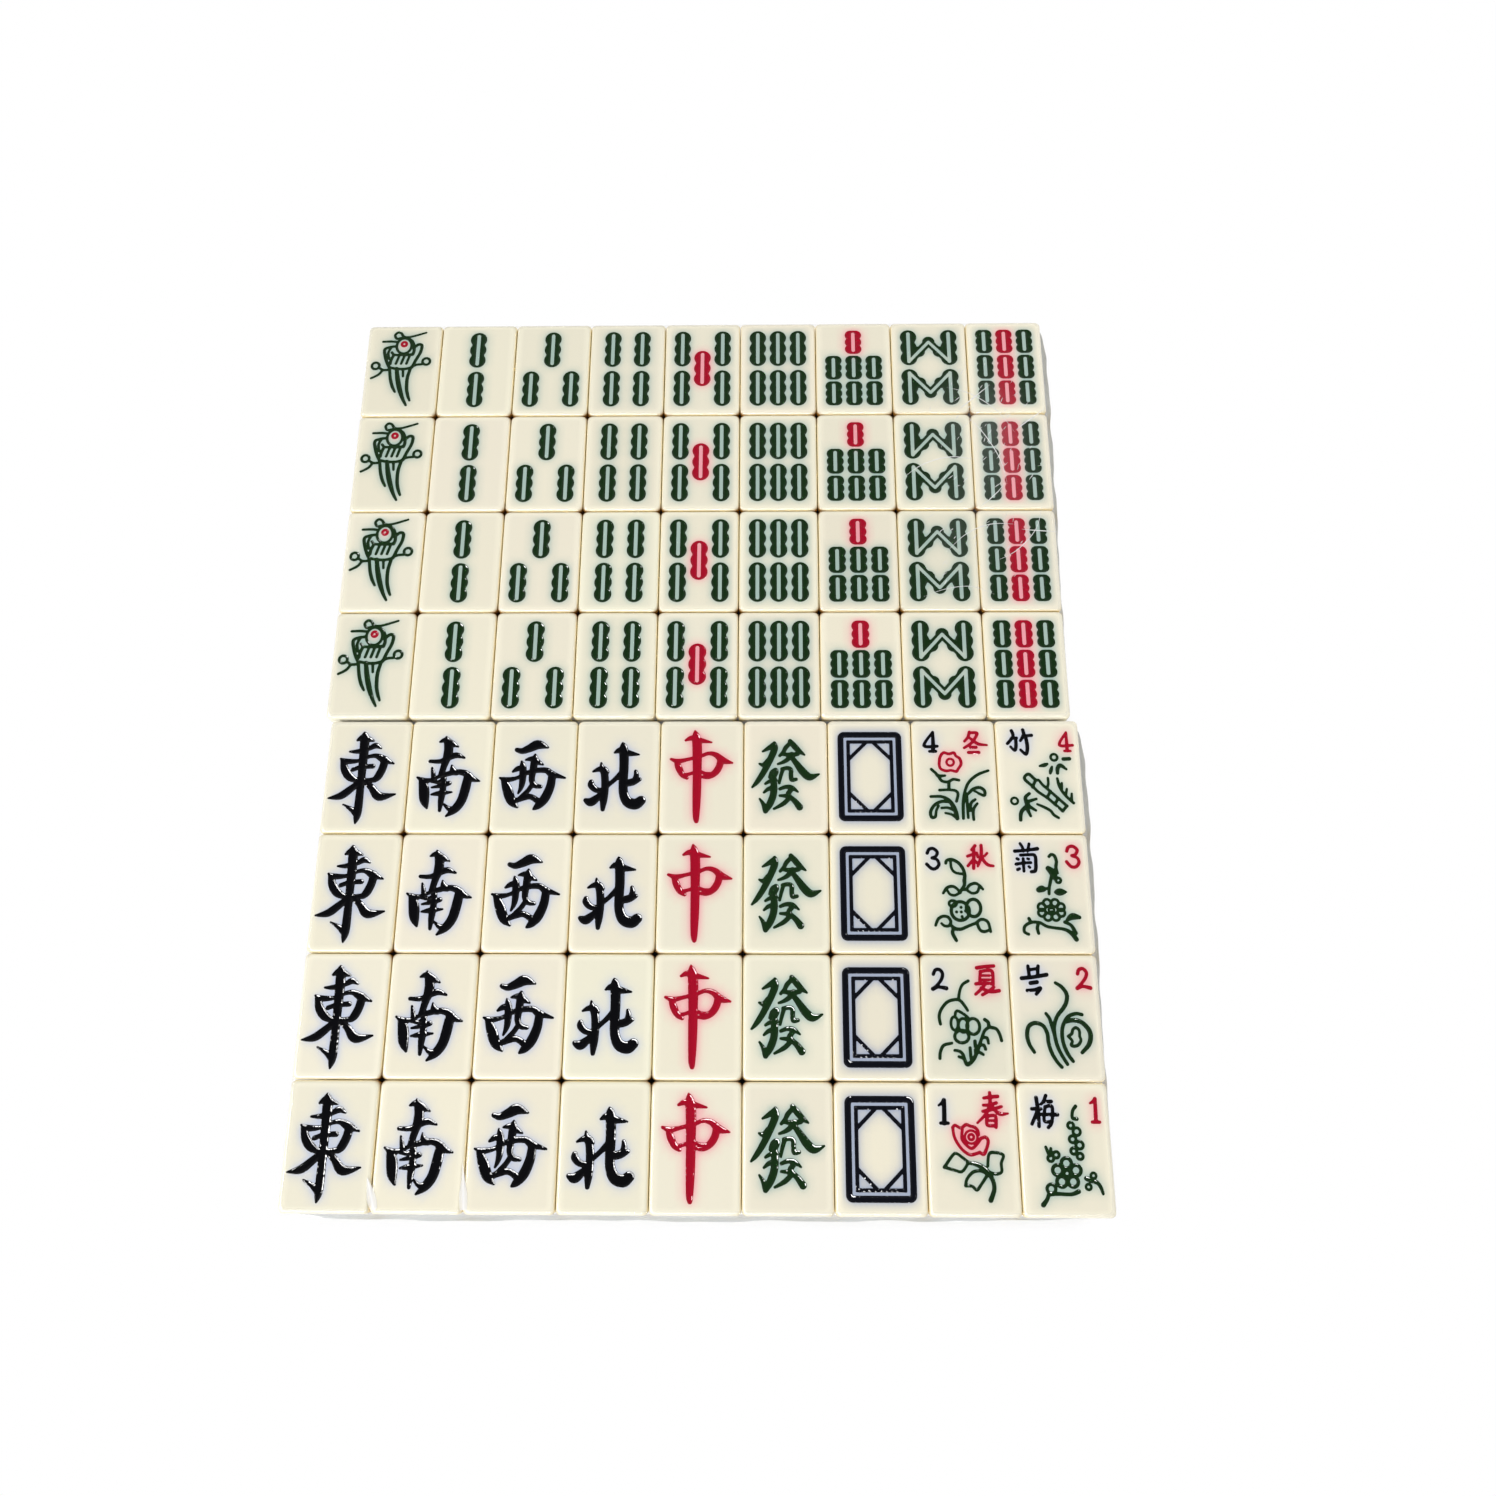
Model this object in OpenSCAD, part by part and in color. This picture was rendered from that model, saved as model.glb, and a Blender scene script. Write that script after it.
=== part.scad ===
/* [Tile] */
// Width of a tile, left to right
tile_w = 28; // [26:0.5:32]
// Length of a tile, near to far
tile_l = 39; // [36:0.5:44]
// Thickness of a tile
tile_h = 20; // [14:0.5:24]
// Rounding of a tile's long edges
edge_r = 1.6; // [0.8:0.1:2.2]
// Rounding of a tile's upright corners
corner_r = 3; // [2.4:0.1:4]

/* [Pack] */
// Running gap between neighbouring tiles
tile_gap = 0.15; // [0.05:0.05:0.4]
// Gap between the two wrapped packs
pack_gap = 0.4; // [0.35:0.05:2]
// How far the rear pack lies to the left of the front pack
rear_shift = 2.1; // [0:0.1:6]

/* [Film] */
// Thickness of the shrink film
film_t = 0.15; // [0.1:0.05:0.3]
// Gap between the outer tiles and the film's upright sides
film_gap = 0.1; // [0.05:0.05:0.5]
// Height of the welded seam above the underside
seam_h = 12; // [6:0.5:12]
// How far the welded seam stands out from the film's side
seam_w = 2.6; // [1:0.1:5]

/* [Engraving] */
// Depth of the engraved marks
engrave_d = 0.5; // [0.35:0.05:1]
// Thickness of the paint in the marks
paint_t = 0.3; // [0.1:0.05:0.3]

/* [Bamboo sticks] */
// Width of a long stick at its lobes
stick_w = 6; // [5:0.1:6.2]
// Length of a long stick
stick_l = 15; // [13:0.1:15.5]
// Length of a short stick
short_stick_l = 10; // [8:0.1:10.4]
// Width of the bare slot along a stick
slot_w = 1.5; // [1:0.1:2]
// Bare slot's distance from the ends of a stick
slot_end = 1.5; // [1:0.1:2.5]
// How far a stick narrows between its lobes, each side
stick_waist = 0.7; // [0.3:0.05:0.9]
// Distance between the middles of sticks side by side
stick_pitch = 7.5; // [6.6:0.1:7.6]
// Gap between the ends of sticks in line
stick_gap = 1.9; // [1.2:0.1:2.2]
// How far the sticks of the four bamboo lie from its middle line
four_spread = 5.5; // [4:0.1:7]
// Width of the slanting sticks of the eight bamboo
slant_w = 4.4; // [3:0.1:5]
// Width of the bare slot along them
slant_slot_w = 1.3; // [0.8:0.1:1.4]
// How far above the uprights' middle the slanting sticks meet
peak_y = 2.4; // [1:0.1:3.5]

/* [White dragon] */
// Width of the frame
frame_w = 21.2; // [18:0.1:22]
// Length of the frame
frame_l = 30.6; // [26:0.1:32]
// Width of the frame's outer band
band_w = 1.8; // [1.2:0.1:2.2]
// Width of the bare line between the two bands
bare_w = 1.1; // [0.6:0.1:1.4]
// Width of the frame's inner band and of its corner bars
inner_w = 1; // [0.6:0.1:1.4]
// Rounding of the frame's outer corners
frame_r = 2; // [1:0.1:3]
// How far the corner bars reach along the frame's inner edge
bar_reach = 5.2; // [3:0.1:6]

/* [Hidden] */

// Tiles across a pack, and rows in it
columns = 9;
rows = 4;
// Steps of the drawing grid over a tile's width and length
grid_w = 28;
grid_l = 39;
step_x = tile_w / grid_w;
step_y = tile_l / grid_l;
step = (step_x + step_y) / 2;
// Overrun of cuts
over = 1;
// Bend, in degrees, under which a brush stroke runs straight on past a point, where its width also
// differs by less than this many steps from the mean of its neighbours'
straight_a = 18;
even_share = 0.4;
// Bend, in degrees, above which a stretch of a brush stroke is drawn in two lengths
bend_a = 70;
// Sides of a stroke's round end, seen as a whole circle, and of an oval
cap_sides = 4;
oval_sides = 8;
// Half the width of the narrowest gap or sliver in a brush mark
hairline = 0.1;
// Width, in steps, above which a stroke ends round
round_share = 0.65;

// Gap between short sticks in line, so that three fill the length of two long ones
short_gap = (2 * stick_l + stick_gap - 3 * short_stick_l) / 2;

pitch_x = tile_w + tile_gap;
pitch_y = tile_l + tile_gap;
pack_w = columns * pitch_x - tile_gap;
pack_l = rows * pitch_y - tile_gap;
wrap_w = pack_w + 2 * (film_gap + film_t);
wrap_l = pack_l + 2 * (film_gap + film_t);
wrap_h = tile_h + 2 * film_t;
face_z = film_t + tile_h;

// Places of the two packs' middles, with the part's own middle at the origin
front_x = (rear_shift - seam_w) / 2;
rear_x = front_x - rear_shift;
whole_l = seam_w + 2 * wrap_l + pack_gap;
front_y = seam_w + wrap_l / 2 - whole_l / 2;
rear_y = front_y + wrap_l + pack_gap;
front_place = [front_x, front_y];
rear_place = [rear_x, rear_y];

ivory = "#EEE8D6";
black = "#0B0B14";
blue_black = "#0D1020";
green = "#1A3319";
red = "#A30D26";
clear = [0.9, 0.9, 0.9, 0.25];

// Marks are drawn in steps of the grid, from the middle of the mark. A stroke is a list of points,
// each with its steps to the right, its steps up and the stroke's width there. A ring has its
// each with its steps to the right, its steps up and the stroke's width there. An oval has its
// middle, its two radii and its line's width, and joins the strokes. A ring is the same, but round
// and on its own.

east_mid_shares = [-1, 0];
east_shares = [
    [[-5.2, 12.6, 0.5], [-3.4, 13.6, 1.9], [-1.6, 13, 1.7], [0.4, 12.4, 0.4]],
    [[-3, 15.4, 0.3], [-2.8, 13.4, 2.6], [-2.6, 9, 2.8], [-2.6, 3, 2.5], [-2.6, -4, 2.3],
        [-2.7, -12.5, 2.4], [-3.2, -16.1, 0.4]],
    [[-7.4, 8.6, 0.4], [-4.5, 8.7, 1.3], [-1, 9.7, 1.3], [1.2, 10.7, 1.7], [3.1, 9.8, 0.4]],
    [[-10.2, 6.1, 0.4], [-8.2, 5.2, 1.6], [-4, 5.4, 1], [-0.8, 6.8, 1], [1.8, 7.1, 1.4],
        [4.4, 5.8, 2.2], [7.9, 4.4, 0.3]],
    [[-9.3, 5.2, 1.6], [-8.4, 2.2, 2.5], [-6.6, -0.2, 2.5], [-4, -1.4, 1.4], [-0.5, -1.4, 1.2],
        [2, -1.2, 1.6]],
    [[4.8, 5.6, 2.4], [4.2, 2.6, 2.4], [2.9, -0.2, 2.3], [1.6, -1.4, 1.2]],
    [[-5.7, 2.3, 1.2], [-3, 3.2, 1.2], [0.9, 3.5, 1.4]],
    [[-3, -1.9, 1.5], [-6, -4.6, 2.2], [-9, -6.8, 2.2], [-13, -7.6, 0.3]],
    [[-1.2, -1.6, 1.4], [1.2, -4, 2], [4, -7, 2.7], [9.3, -6.2, 0.3]],
    [[-7.8, -9.8, 0.3], [-5.2, -11.2, 1.2], [-3.4, -12.6, 2]]
];
south_mid_shares = [-0.6, 0];
south_shares = [
    [[-4.8, 12, 0.4], [-3, 12.6, 1.6], [-0.8, 11.4, 1.9], [1.5, 10.3, 0.3]],
    [[-2.8, 13.8, 0.3], [-2.2, 12, 2.2], [-1.7, 9.6, 2.8], [-1.9, 7, 2.7], [-2.7, 4, 2], [-3.6, 0.4, 1.7]],
    [[-7.6, 5.2, 0.9], [-4.2, 5.2, 1.3], [-1, 6.6, 1.6], [1.2, 7.3, 1.7], [3.9, 6.4, 0.4]],
    [[-6.8, 2.9, 0.4], [-6.3, 1, 1.2], [-6, -1, 1.3]],
    [[-0.2, 3.8, 0.3], [0.4, 1.8, 2], [1.6, 1.2, 1.6]],
    [[-11.5, -0.4, 0.4], [-9, -1.6, 1.7], [-6.6, -1.2, 1], [-3.5, 0.2, 1], [-1, 0.9, 1.5],
        [1.6, 1.5, 1.5], [4.5, 1, 1.9], [6.9, -0.8, 1.8], [9.5, -1.7, 0.3]],
    [[-10, -1.4, 1.6], [-9, -4, 3.1], [-8.5, -8, 2.9], [-7.5, -10.9, 0.6]],
    [[5.6, 0, 2.6], [5, -4, 2.9], [3.9, -8.4, 2.8], [1.9, -11.4, 2.4], [-0.8, -13.7, 0.4]],
    [[-1.9, -9.6, 0.4], [0, -11.2, 1.4], [1.8, -11.2, 1.8]],
    [[-6.4, -1.8, 0.9], [-4.2, -2, 1], [-2.6, -0.8, 1]],
    [[-6.4, -3.9, 0.4], [-3, -3.2, 1.3], [-0.6, -2.4, 1.3]],
    [[-6.3, -6.3, 0.4], [-3.4, -5.9, 1.5], [0.5, -5.5, 0.3]],
    [[-2.4, -0.8, 1.3], [-2.6, -5, 1.9], [-2.9, -8, 1.8], [-3.1, -11.8, 0.8]]
];
west_mid_shares = [0, 0];
west_shares = [
    [[-6.1, 9.2, 1.2], [-4.2, 8.8, 1.8], [-1.5, 9.9, 2.6], [1, 11, 2.9], [4.4, 10, 0.4]],
    [[-2.9, 5.7, 0.4], [-0.8, 6, 1.6], [1, 5, 1.7], [3, 4, 0.3]],
    [[0.2, 7.6, 0.3], [0.1, 5.6, 2.2], [-0.3, 2, 2], [-0.5, -1.4, 1.7], [0.6, -3.2, 1.5], [2.6, -3.6, 1]],
    [[-0.2, -2.8, 1.3], [-1.6, -5, 1.3], [-3.6, -7, 1.2]],
    [[-7, 1.6, 0.5], [-5.4, 2.6, 1.5], [-3.4, 3, 1.2]],
    [[-4.3, 5.2, 0.3], [-3.7, 3, 2], [-3.6, -1.5, 1.9], [-4, -4, 1.3], [-4.8, -5.9, 0.4]],
    [[-11.3, -0.6, 0.4], [-8.8, -1.2, 1.4], [-5.5, -0.6, 1], [-2.6, 1, 1.2], [1, 2, 1.5], [4.2, 2, 1.7],
        [6.2, 0.7, 1.9], [10.6, -0.6, 0.4]],
    [[-10, -1.2, 1.5], [-8.5, -4.6, 3], [-7, -8.4, 2.8], [-4.9, -10.6, 0.6]],
    [[6.3, 0.4, 2.3], [5.8, -3.6, 2.6], [4.2, -7.6, 2.8], [2.2, -10, 2.2], [0.6, -11.3, 0.5]],
    [[-5.6, -8.5, 1.4], [-3, -7.4, 1.8], [-0.5, -7.1, 1.6], [2, -8.6, 1.8]]
];
north_mid_shares = [0.3, 0];
north_shares = [
    [[-0.9, 8.2, 0.4], [1, 9, 1.9], [3.4, 8.1, 2], [7.3, 7.5, 0.3]],
    [[1.7, 11.6, 0.3], [2.1, 9.4, 2.6], [2.4, 4, 2.8], [2.3, -2, 2.7], [2.6, -6, 2.8], [4, -8.8, 3.2],
        [6.6, -9.6, 3.4], [8.4, -8.4, 2.9]],
    [[2.8, -2.6, 1.8], [5.4, -2, 2.2], [7.8, -1.1, 1]],
    [[6.4, 1.7, 0.9], [6.6, 0.2, 1.5], [6.2, -1.6, 1.8]],
    [[-7.9, 1.6, 0.4], [-6, 2.4, 1.4], [-4.2, 2.5, 1.5], [-3.2, 1.4, 1.2]],
    [[-5.3, 4.6, 0.3], [-4.9, 2.6, 1.6], [-4, 0.4, 2.2], [-3.7, -4, 2.2], [-4, -8, 2.2], [-4.2, -11.4, 1.1]],
    [[-8.4, -2, 1.4], [-8.3, -3.2, 2], [-6.6, -4.7, 1.7], [-3.8, -5, 1.2]],
    [[-10, -8.3, 1.2], [-8.2, -8.9, 2.6], [-6, -7.3, 2], [-4, -5.6, 1.4]],
    [[-3.2, -3.4, 1.4], [-1, -1.6, 1.2], [1.8, 1.2, 1.8]]
];
red_dragon_mid_shares = [0.3, 0];
red_dragon_shares = [
    [[-5.2, 12.5, 0.5], [-3.2, 13.3, 1.5], [-0.8, 12.6, 1.7], [3.5, 11.8, 0.3]],
    [[-2.1, 15.8, 0.3], [-1.7, 13.6, 2.4], [-1.3, 10, 2.9], [-1.2, 2, 2.6], [-1.2, -6, 2.5],
        [-1.3, -13.4, 1.9], [-1.2, -15.4, 1.1]],
    [[-10, 5.9, 0.6], [-7.6, 5.2, 1.3], [-4.5, 5.8, 0.9], [-0.5, 6.8, 0.9], [2.5, 7.9, 1],
        [5, 7.4, 1.5], [7.4, 5.5, 2], [10.6, 4.6, 0.3]],
    [[-8.2, 5.2, 1.2], [-7.4, 3, 2], [-6.2, 0.6, 1.6], [-4.6, -0.6, 0.9]],
    [[-5.8, 0.4, 0.9], [-3.6, 0.8, 0.8], [-1.2, 1.7, 0.9]],
    [[6.6, 5.6, 1.9], [6.2, 3.4, 2], [4.8, 1.2, 1.9], [2.6, -0.2, 1.3], [0, -0.2, 0.5]],
    [[-0.6, 1.8, 0.8], [1.6, 0.9, 0.9], [3.8, 0.7, 1.2]]
];
green_dragon_mid_shares = [0.8, 0];
green_dragon_shares = [
    [[-6.9, 8.6, 0.4], [-5, 9.7, 1.2], [-3.1, 11, 1.5]],
    [[-3, 11.6, 0.8], [-2.9, 9.6, 1.9], [-4.3, 6, 1.9], [-6.6, 1.4, 1.7], [-8.8, -2, 1.3],
        [-10.4, -3.8, 0.4]],
    [[-8, 4.3, 0.4], [-6.6, 3.9, 1.2], [-5.2, 5.4, 1.3]],
    [[2.3, 12.2, 1.2], [3.6, 10.6, 1.7], [5.2, 8.8, 1.5], [7.1, 7.4, 0.3]],
    [[2.2, 11.4, 1.1], [0.8, 9.9, 1.2], [0, 8.4, 1], [-1.2, 7.1, 0.7]],
    [[0, 7.6, 0.9], [2.6, 7.4, 1.3], [4.8, 7.7, 1.1]],
    [[2.8, 7.6, 1.4], [1.4, 5.8, 1.3], [-0.2, 4.8, 0.9], [-1.8, 4.2, 0.5]],
    [[2.6, 6.8, 1.2], [4.4, 4.4, 1.7], [6.6, 1.4, 2.3], [8.8, -0.3, 2.1], [11.9, 0.7, 0.3]],
    [[-4.6, -0.4, 0.7], [-3.9, 1.3, 1.1], [-2.6, 2.2, 1.1], [-2.3, 1.2, 1], [-3.4, -0.4, 1.4]],
    [[-6, -2.6, 0.6], [-4.6, -1.8, 1], [-2.6, -1.4, 1]],
    [[-6.5, -5.6, 0.5], [-5, -4.4, 1.1], [-3.4, -4, 1.3]],
    [[-3.2, -0.6, 1.4], [-3.2, -3.4, 2], [-3.4, -6.4, 2], [-4.5, -9.4, 2], [-6, -12, 1.3]],
    [[-7.9, -7.8, 0.4], [-6.8, -9.4, 1], [-6, -11.4, 1.6]],
    [[-1.4, -2.4, 0.6], [-0.9, 0, 0.9], [-0.2, 2.3, 1]],
    [[-0.4, 2.5, 1], [1.4, 2.8, 1.1], [2.5, 2.2, 1.2], [2.5, 0.4, 1.2], [2.8, -1.2, 1.2], [4.2, -1.1, 0.9]],
    [[-1.2, -4.4, 0.8], [0.8, -3.7, 1.1], [2.8, -4, 1.3], [4.8, -5.4, 0.3]],
    [[2.8, -4.4, 1.2], [1.6, -6, 1.4], [2, -7.2, 1.4]],
    [[-1.2, -6.7, 0.6], [0.6, -6.8, 1], [2, -7.2, 1.2]],
    [[2.2, -7.2, 1.2], [0, -9.4, 1.2], [-3.2, -11.2, 0.5]],
    [[2, -7, 1.2], [3.8, -8.6, 1.5], [5.3, -10.6, 2]]
];

bird_mid_shares = [-1, 1.9];
bird_green_shares = [
    [[-2.4, 15.9, 0.8], [-4, 15.6, 0.8], [-4.8, 17.1, 0.8], [-3.8, 18.3, 0.8], [-2.5, 17.9, 0.8],
        [-1.4, 16.4, 0.9], [0.6, 16.3, 0.7], [3, 16.9, 0.7], [6.9, 18.2, 0.6]],
    [[-9.1, 14.3, 0.7], [-6, 14.4, 0.8], [-3.8, 14.2, 0.8]],
    [[-0.4, 16, 0.8], [1.8, 14.6, 0.9], [2.7, 12.4, 1], [2.9, 10, 1], [2.4, 8.6, 1]],
    [[3, 11.8, 0.9], [4.4, 13, 1], [5.7, 12.5, 1], [5.4, 9.6, 1], [3.9, 6.2, 1], [2.8, 3.2, 1]],
    [[-3.8, 12.3, 0.9], [-6.4, 11.9, 0.9], [-8.2, 10.8, 1], [-7.7, 7.6, 1], [-6.7, 4.8, 1], [-5.8, 3.1, 0.9]],
    [[-5.8, 11.8, 0.8], [-6.7, 9.6, 0.8], [-6.2, 6.8, 0.7]],
    [[-5.4, 9.6, 0.8], [-4.4, 8.6, 0.8], [-2, 8.5, 0.9], [0.4, 8.5, 0.9], [2.6, 8.8, 0.9]],
    [[-4.6, 8.4, 0.9], [-5.4, 6.4, 1], [-5.6, 4.6, 0.9]],
    [[-2.5, 8, 0.8], [-3.5, 4.7, 0.8]],
    [[-0.5, 8, 0.8], [-1.5, 4.7, 0.8]],
    [[1.4, 8, 0.8], [0.5, 4.7, 0.8]],
    [[-5.8, 3.1, 0.9], [-3, 2.5, 0.9], [0, 2.4, 0.9], [2.4, 3, 0.9]],
    [[2.6, 3.4, 0.8], [4.4, 4.2, 0.8], [6.4, 4.4, 0.8]],
    [[-9.7, 3, 0.8], [-8, 2, 0.8], [-6, 2.1, 0.8]],
    [[-8.3, 1.8, 0.8], [-9.6, 0, 0.8], [-12.2, -1.5, 0.7]],
    [[-5.6, 2.4, 0.9], [-5, -1.6, 1], [-4, -5, 1], [-2.8, -7.4, 0.7]],
    [[-3, 2.6, 1.2], [-2.2, -2, 1.6], [-1, -6.6, 1.6], [0.4, -10.4, 1.1], [1.8, -13.1, 0.7]],
    [[2.2, 2.6, 1], [1.4, -1.4, 1.1], [1.5, -6, 1.1], [2.2, -9, 1], [3, -11.1, 0.7]],
    [[-0.6, 2.4, 0.8], [-0.3, -0.8, 0.7]]
];
bird_green_oval_shares = [[-1, 12.4, 2.8, 3.3, 0.8], [7.9, 5.6, 1.4, 1.4, 0.8], [-11, 3.8, 1.4, 1.4, 0.8]];
bird_red_ring_shares = [[-1, 13.2, 0.9, 0.9, 0.8]];

spring_mid_shares = [1, 0];
spring_black_shares = [
    [[-8.9, 12.7, 0.5], [-7.9, 13.4, 0.8], [-7.3, 14.3, 0.9]],
    [[-7.2, 14.2, 1.1], [-7.3, 10, 1.2], [-7.4, 7.5, 1.2]],
    [[-8.5, 7.5, 0.8], [-6.2, 7.5, 0.8]]
];
spring_red_shares = [
    [[5, 14.9, 0.7], [7, 15.2, 0.9], [9.3, 15.4, 0.9]],
    [[4.8, 12.8, 0.7], [6.8, 12.9, 0.8], [8.8, 13.5, 0.8]],
    [[4.5, 11, 0.7], [7, 11.5, 0.9], [10.3, 12.4, 0.7]],
    [[6.9, 16.5, 0.8], [6.8, 13, 0.9], [5.4, 10.2, 0.8], [2.7, 7.6, 0.5]],
    [[7.6, 12.2, 0.8], [8.8, 10.8, 0.9], [10.2, 10.2, 1], [12.2, 10.4, 0.4]],
    [[5.7, 9.4, 0.8], [5.7, 7, 0.8], [8.3, 6.8, 0.8]],
    [[5.7, 9.5, 0.8], [7.2, 9.8, 0.8], [8.4, 9.4, 0.8], [8.3, 6.4, 0.9]],
    [[5.9, 8.3, 0.6], [8.2, 8.3, 0.6]],
    [[-4.9, 6.2, 0.7], [-4.2, 6.9, 0.7], [-2.8, 6.2, 0.7], [-2, 6, 0.7], [-2.2, 4.4, 0.7], [-2.2, 2.8, 0.7],
        [-1, 1.2, 0.7], [0.6, 0.2, 0.7], [2.2, 1.4, 0.7], [3.6, 3.2, 0.7]],
    [[-4.9, 6.3, 0.7], [-4.6, 3.8, 0.7], [-3.6, 1.6, 0.7], [-2, -0.4, 0.7], [0, -1.6, 0.8], [1.8, -1.3, 0.8],
        [3, -0.9, 0.7]],
    [[-2, 6.2, 0.7], [-0.8, 7.1, 0.8], [0.4, 6.7, 0.7], [1.8, 6.3, 0.8], [2.7, 5.4, 0.7], [2.9, 4.2, 0.7]],
    [[3.4, 3, 0.7], [4.9, 3.5, 0.8], [5.7, 2.4, 0.8], [5.2, 0.4, 0.8], [4.2, -1.4, 0.9], [3, -0.9, 0.7]]
];
spring_red_ring_shares = [[0.6, 3.5, 0.8, 0.8, 0.6], [0.6, 3.5, 1.9, 1.9, 0.5]];
spring_green_shares = [
    [[-7.9, -5.2, 0.8], [-5.2, -1.7, 0.7], [-3.8, -1.4, 0.7], [-0.6, -3.8, 0.7]],
    [[-7.9, -5.2, 0.8], [-5, -6, 0.7], [-2.6, -6.4, 0.7], [-0.6, -3.8, 0.7]],
    [[5.2, -4.8, 0.7], [5.6, -1.8, 0.7], [6.8, -0.9, 0.8], [10, -1.6, 0.7], [9.3, -4, 0.7], [9.3, -6.4, 0.7],
        [7.6, -7.1, 0.7], [5.8, -6.6, 0.7]],
    [[-1.7, -10.4, 0.8], [-1.3, -8.6, 0.7], [0.6, -6.6, 0.8], [3, -6.2, 0.8], [4.8, -7, 0.8]],
    [[-1.7, -10.4, 0.8], [0.2, -10.6, 0.7], [1.6, -11.6, 0.8], [3, -10, 0.7], [4.8, -7.6, 0.8]],
    [[-0.8, -3.9, 0.8], [2, -4.4, 1.2], [4.6, -6, 1.4], [6.4, -8.6, 1.1], [6.8, -11.4, 1.1],
        [5.6, -14.5, 1.3]]
];

summer_mid_shares = [1, 0.3];
summer_black_shares = [
    [[-8.9, 13.6, 0.9], [-8.2, 14.9, 0.9], [-6.9, 15, 0.9], [-6, 13.8, 0.9], [-6.4, 12, 0.9],
        [-7.8, 10.2, 0.8], [-9.2, 9, 0.9]],
    [[-9.2, 9, 1.1], [-7.4, 9.6, 0.8], [-5, 9.2, 1.2]]
];
summer_red_shares = [
    [[4.9, 15.6, 1], [7.5, 16, 0.9], [10.3, 16.2, 0.9]],
    [[6, 14.4, 0.8], [5.7, 12.4, 0.7], [5.6, 10.6, 0.7]],
    [[6, 14.4, 0.8], [8.4, 14.8, 0.8], [9.8, 14.3, 0.9], [9.8, 10.5, 0.9]],
    [[6.2, 13.2, 0.6], [8.8, 13.2, 0.6]],
    [[6, 11.9, 0.6], [8.8, 11.9, 0.6]],
    [[4.4, 10.6, 0.9], [7.4, 10.8, 0.8], [9.8, 10.6, 0.8]],
    [[4.2, 7.4, 0.8], [6, 9, 0.8], [7.4, 10.6, 0.8]],
    [[6.3, 7.2, 0.8], [8.4, 8.4, 0.8], [10, 9.6, 0.8]],
    [[6, 9.3, 0.8], [8.8, 8.2, 0.9], [11.6, 8.5, 1]]
];
summer_green_shares = [
    [[2, 11.5, 0.8], [0.2, 10.4, 0.7], [-0.8, 8.4, 0.7], [-1.3, 5.8, 0.8]],
    [[-7.3, -1.8, 0.8], [-7.6, 0.6, 0.8], [-6.8, 2.8, 0.8], [-4.8, 5, 0.8], [-2.4, 5.7, 0.8],
        [-0.8, 5.4, 0.8], [0.4, 4, 0.8], [1.4, 2.4, 0.7]],
    [[-2.6, 0.4, 0.7], [-2.4, 1.8, 0.7], [-1.6, 2.2, 0.7], [0.2, 1.2, 0.7], [1.4, 0.2, 0.7]],
    [[6.6, -0.4, 0.9], [7.6, -1.2, 0.9], [8, -2.6, 0.9], [10, -3.2, 0.8], [11, -4.8, 0.8], [11.5, -6.8, 0.8]],
    [[8, -2.6, 0.8], [6.4, -3.8, 0.8], [5.4, -6, 0.8], [4.6, -8, 0.9], [3.6, -10.4, 1], [2.4, -12.6, 1],
        [0.6, -14, 1.1], [-0.2, -12.8, 0.9], [-0.7, -11, 0.8], [-1.8, -10, 0.8], [-3.2, -9.8, 0.7]],
    [[5.6, -5.9, 0.7], [7, -6, 0.8], [7.4, -7.6, 0.7]],
    [[4.8, -8.2, 0.7], [5.9, -8.2, 0.8], [6.4, -9.4, 0.8]],
    [[3.6, -10.2, 0.7], [4.6, -10.4, 0.8], [5.6, -11, 0.7]],
    [[3.2, -7, 0.9], [3.3, -10.4, 0.9]],
    [[1.6, -9, 0.8], [1.7, -12.2, 0.8]],
    [[-2, -11.7, 0.7], [-0.4, -12.2, 0.8]],
    [[-7.9, -12.2, 0.8], [-7.7, -10.4, 0.8], [-6.6, -8.3, 0.8], [-4, -7.6, 0.7]]
];
summer_green_oval_shares = [
    [2.9, -2.5, 2, 2.4, 0.8], [-0.2, -2.2, 1.5, 2.1, 0.7], [-2.9, -1.6, 1.1, 2, 0.7],
        [-0.8, -5.6, 2.2, 1.9, 0.8]
];

autumn_mid_shares = [1, 0.8];
autumn_black_shares = [
    [[-9.3, 13.9, 0.9], [-8.6, 15.2, 0.9], [-7.2, 15.4, 0.9], [-6, 14.2, 0.9], [-6.6, 12.8, 0.8],
        [-7.8, 12.3, 0.8], [-6.2, 11.8, 0.8], [-5.6, 10.2, 0.9], [-6.6, 8.9, 0.9], [-8, 8.8, 0.9],
        [-9.6, 10.3, 0.9]]
];
autumn_red_shares = [
    [[6.4, 16.4, 0.9], [5.2, 15, 0.7]],
    [[3.8, 12.9, 0.8], [6.8, 14, 0.7]],
    [[5.9, 15.4, 0.9], [5.8, 12, 0.9], [5.6, 8.9, 0.9]],
    [[3.8, 9.7, 0.8], [5.4, 11.6, 0.7]],
    [[5.8, 11.8, 0.7], [6.9, 10.6, 0.7]],
    [[8.4, 16.5, 0.9], [8.3, 13.4, 0.9], [7.6, 11, 0.8], [7, 9.6, 0.6]],
    [[8.3, 13.2, 0.8], [9, 11.4, 0.9], [10.4, 10, 0.9], [12, 9.7, 0.7]],
    [[7, 13.8, 0.7], [7.1, 12.6, 0.6]],
    [[10.2, 13.9, 0.7], [9.4, 13, 0.6]]
];
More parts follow.
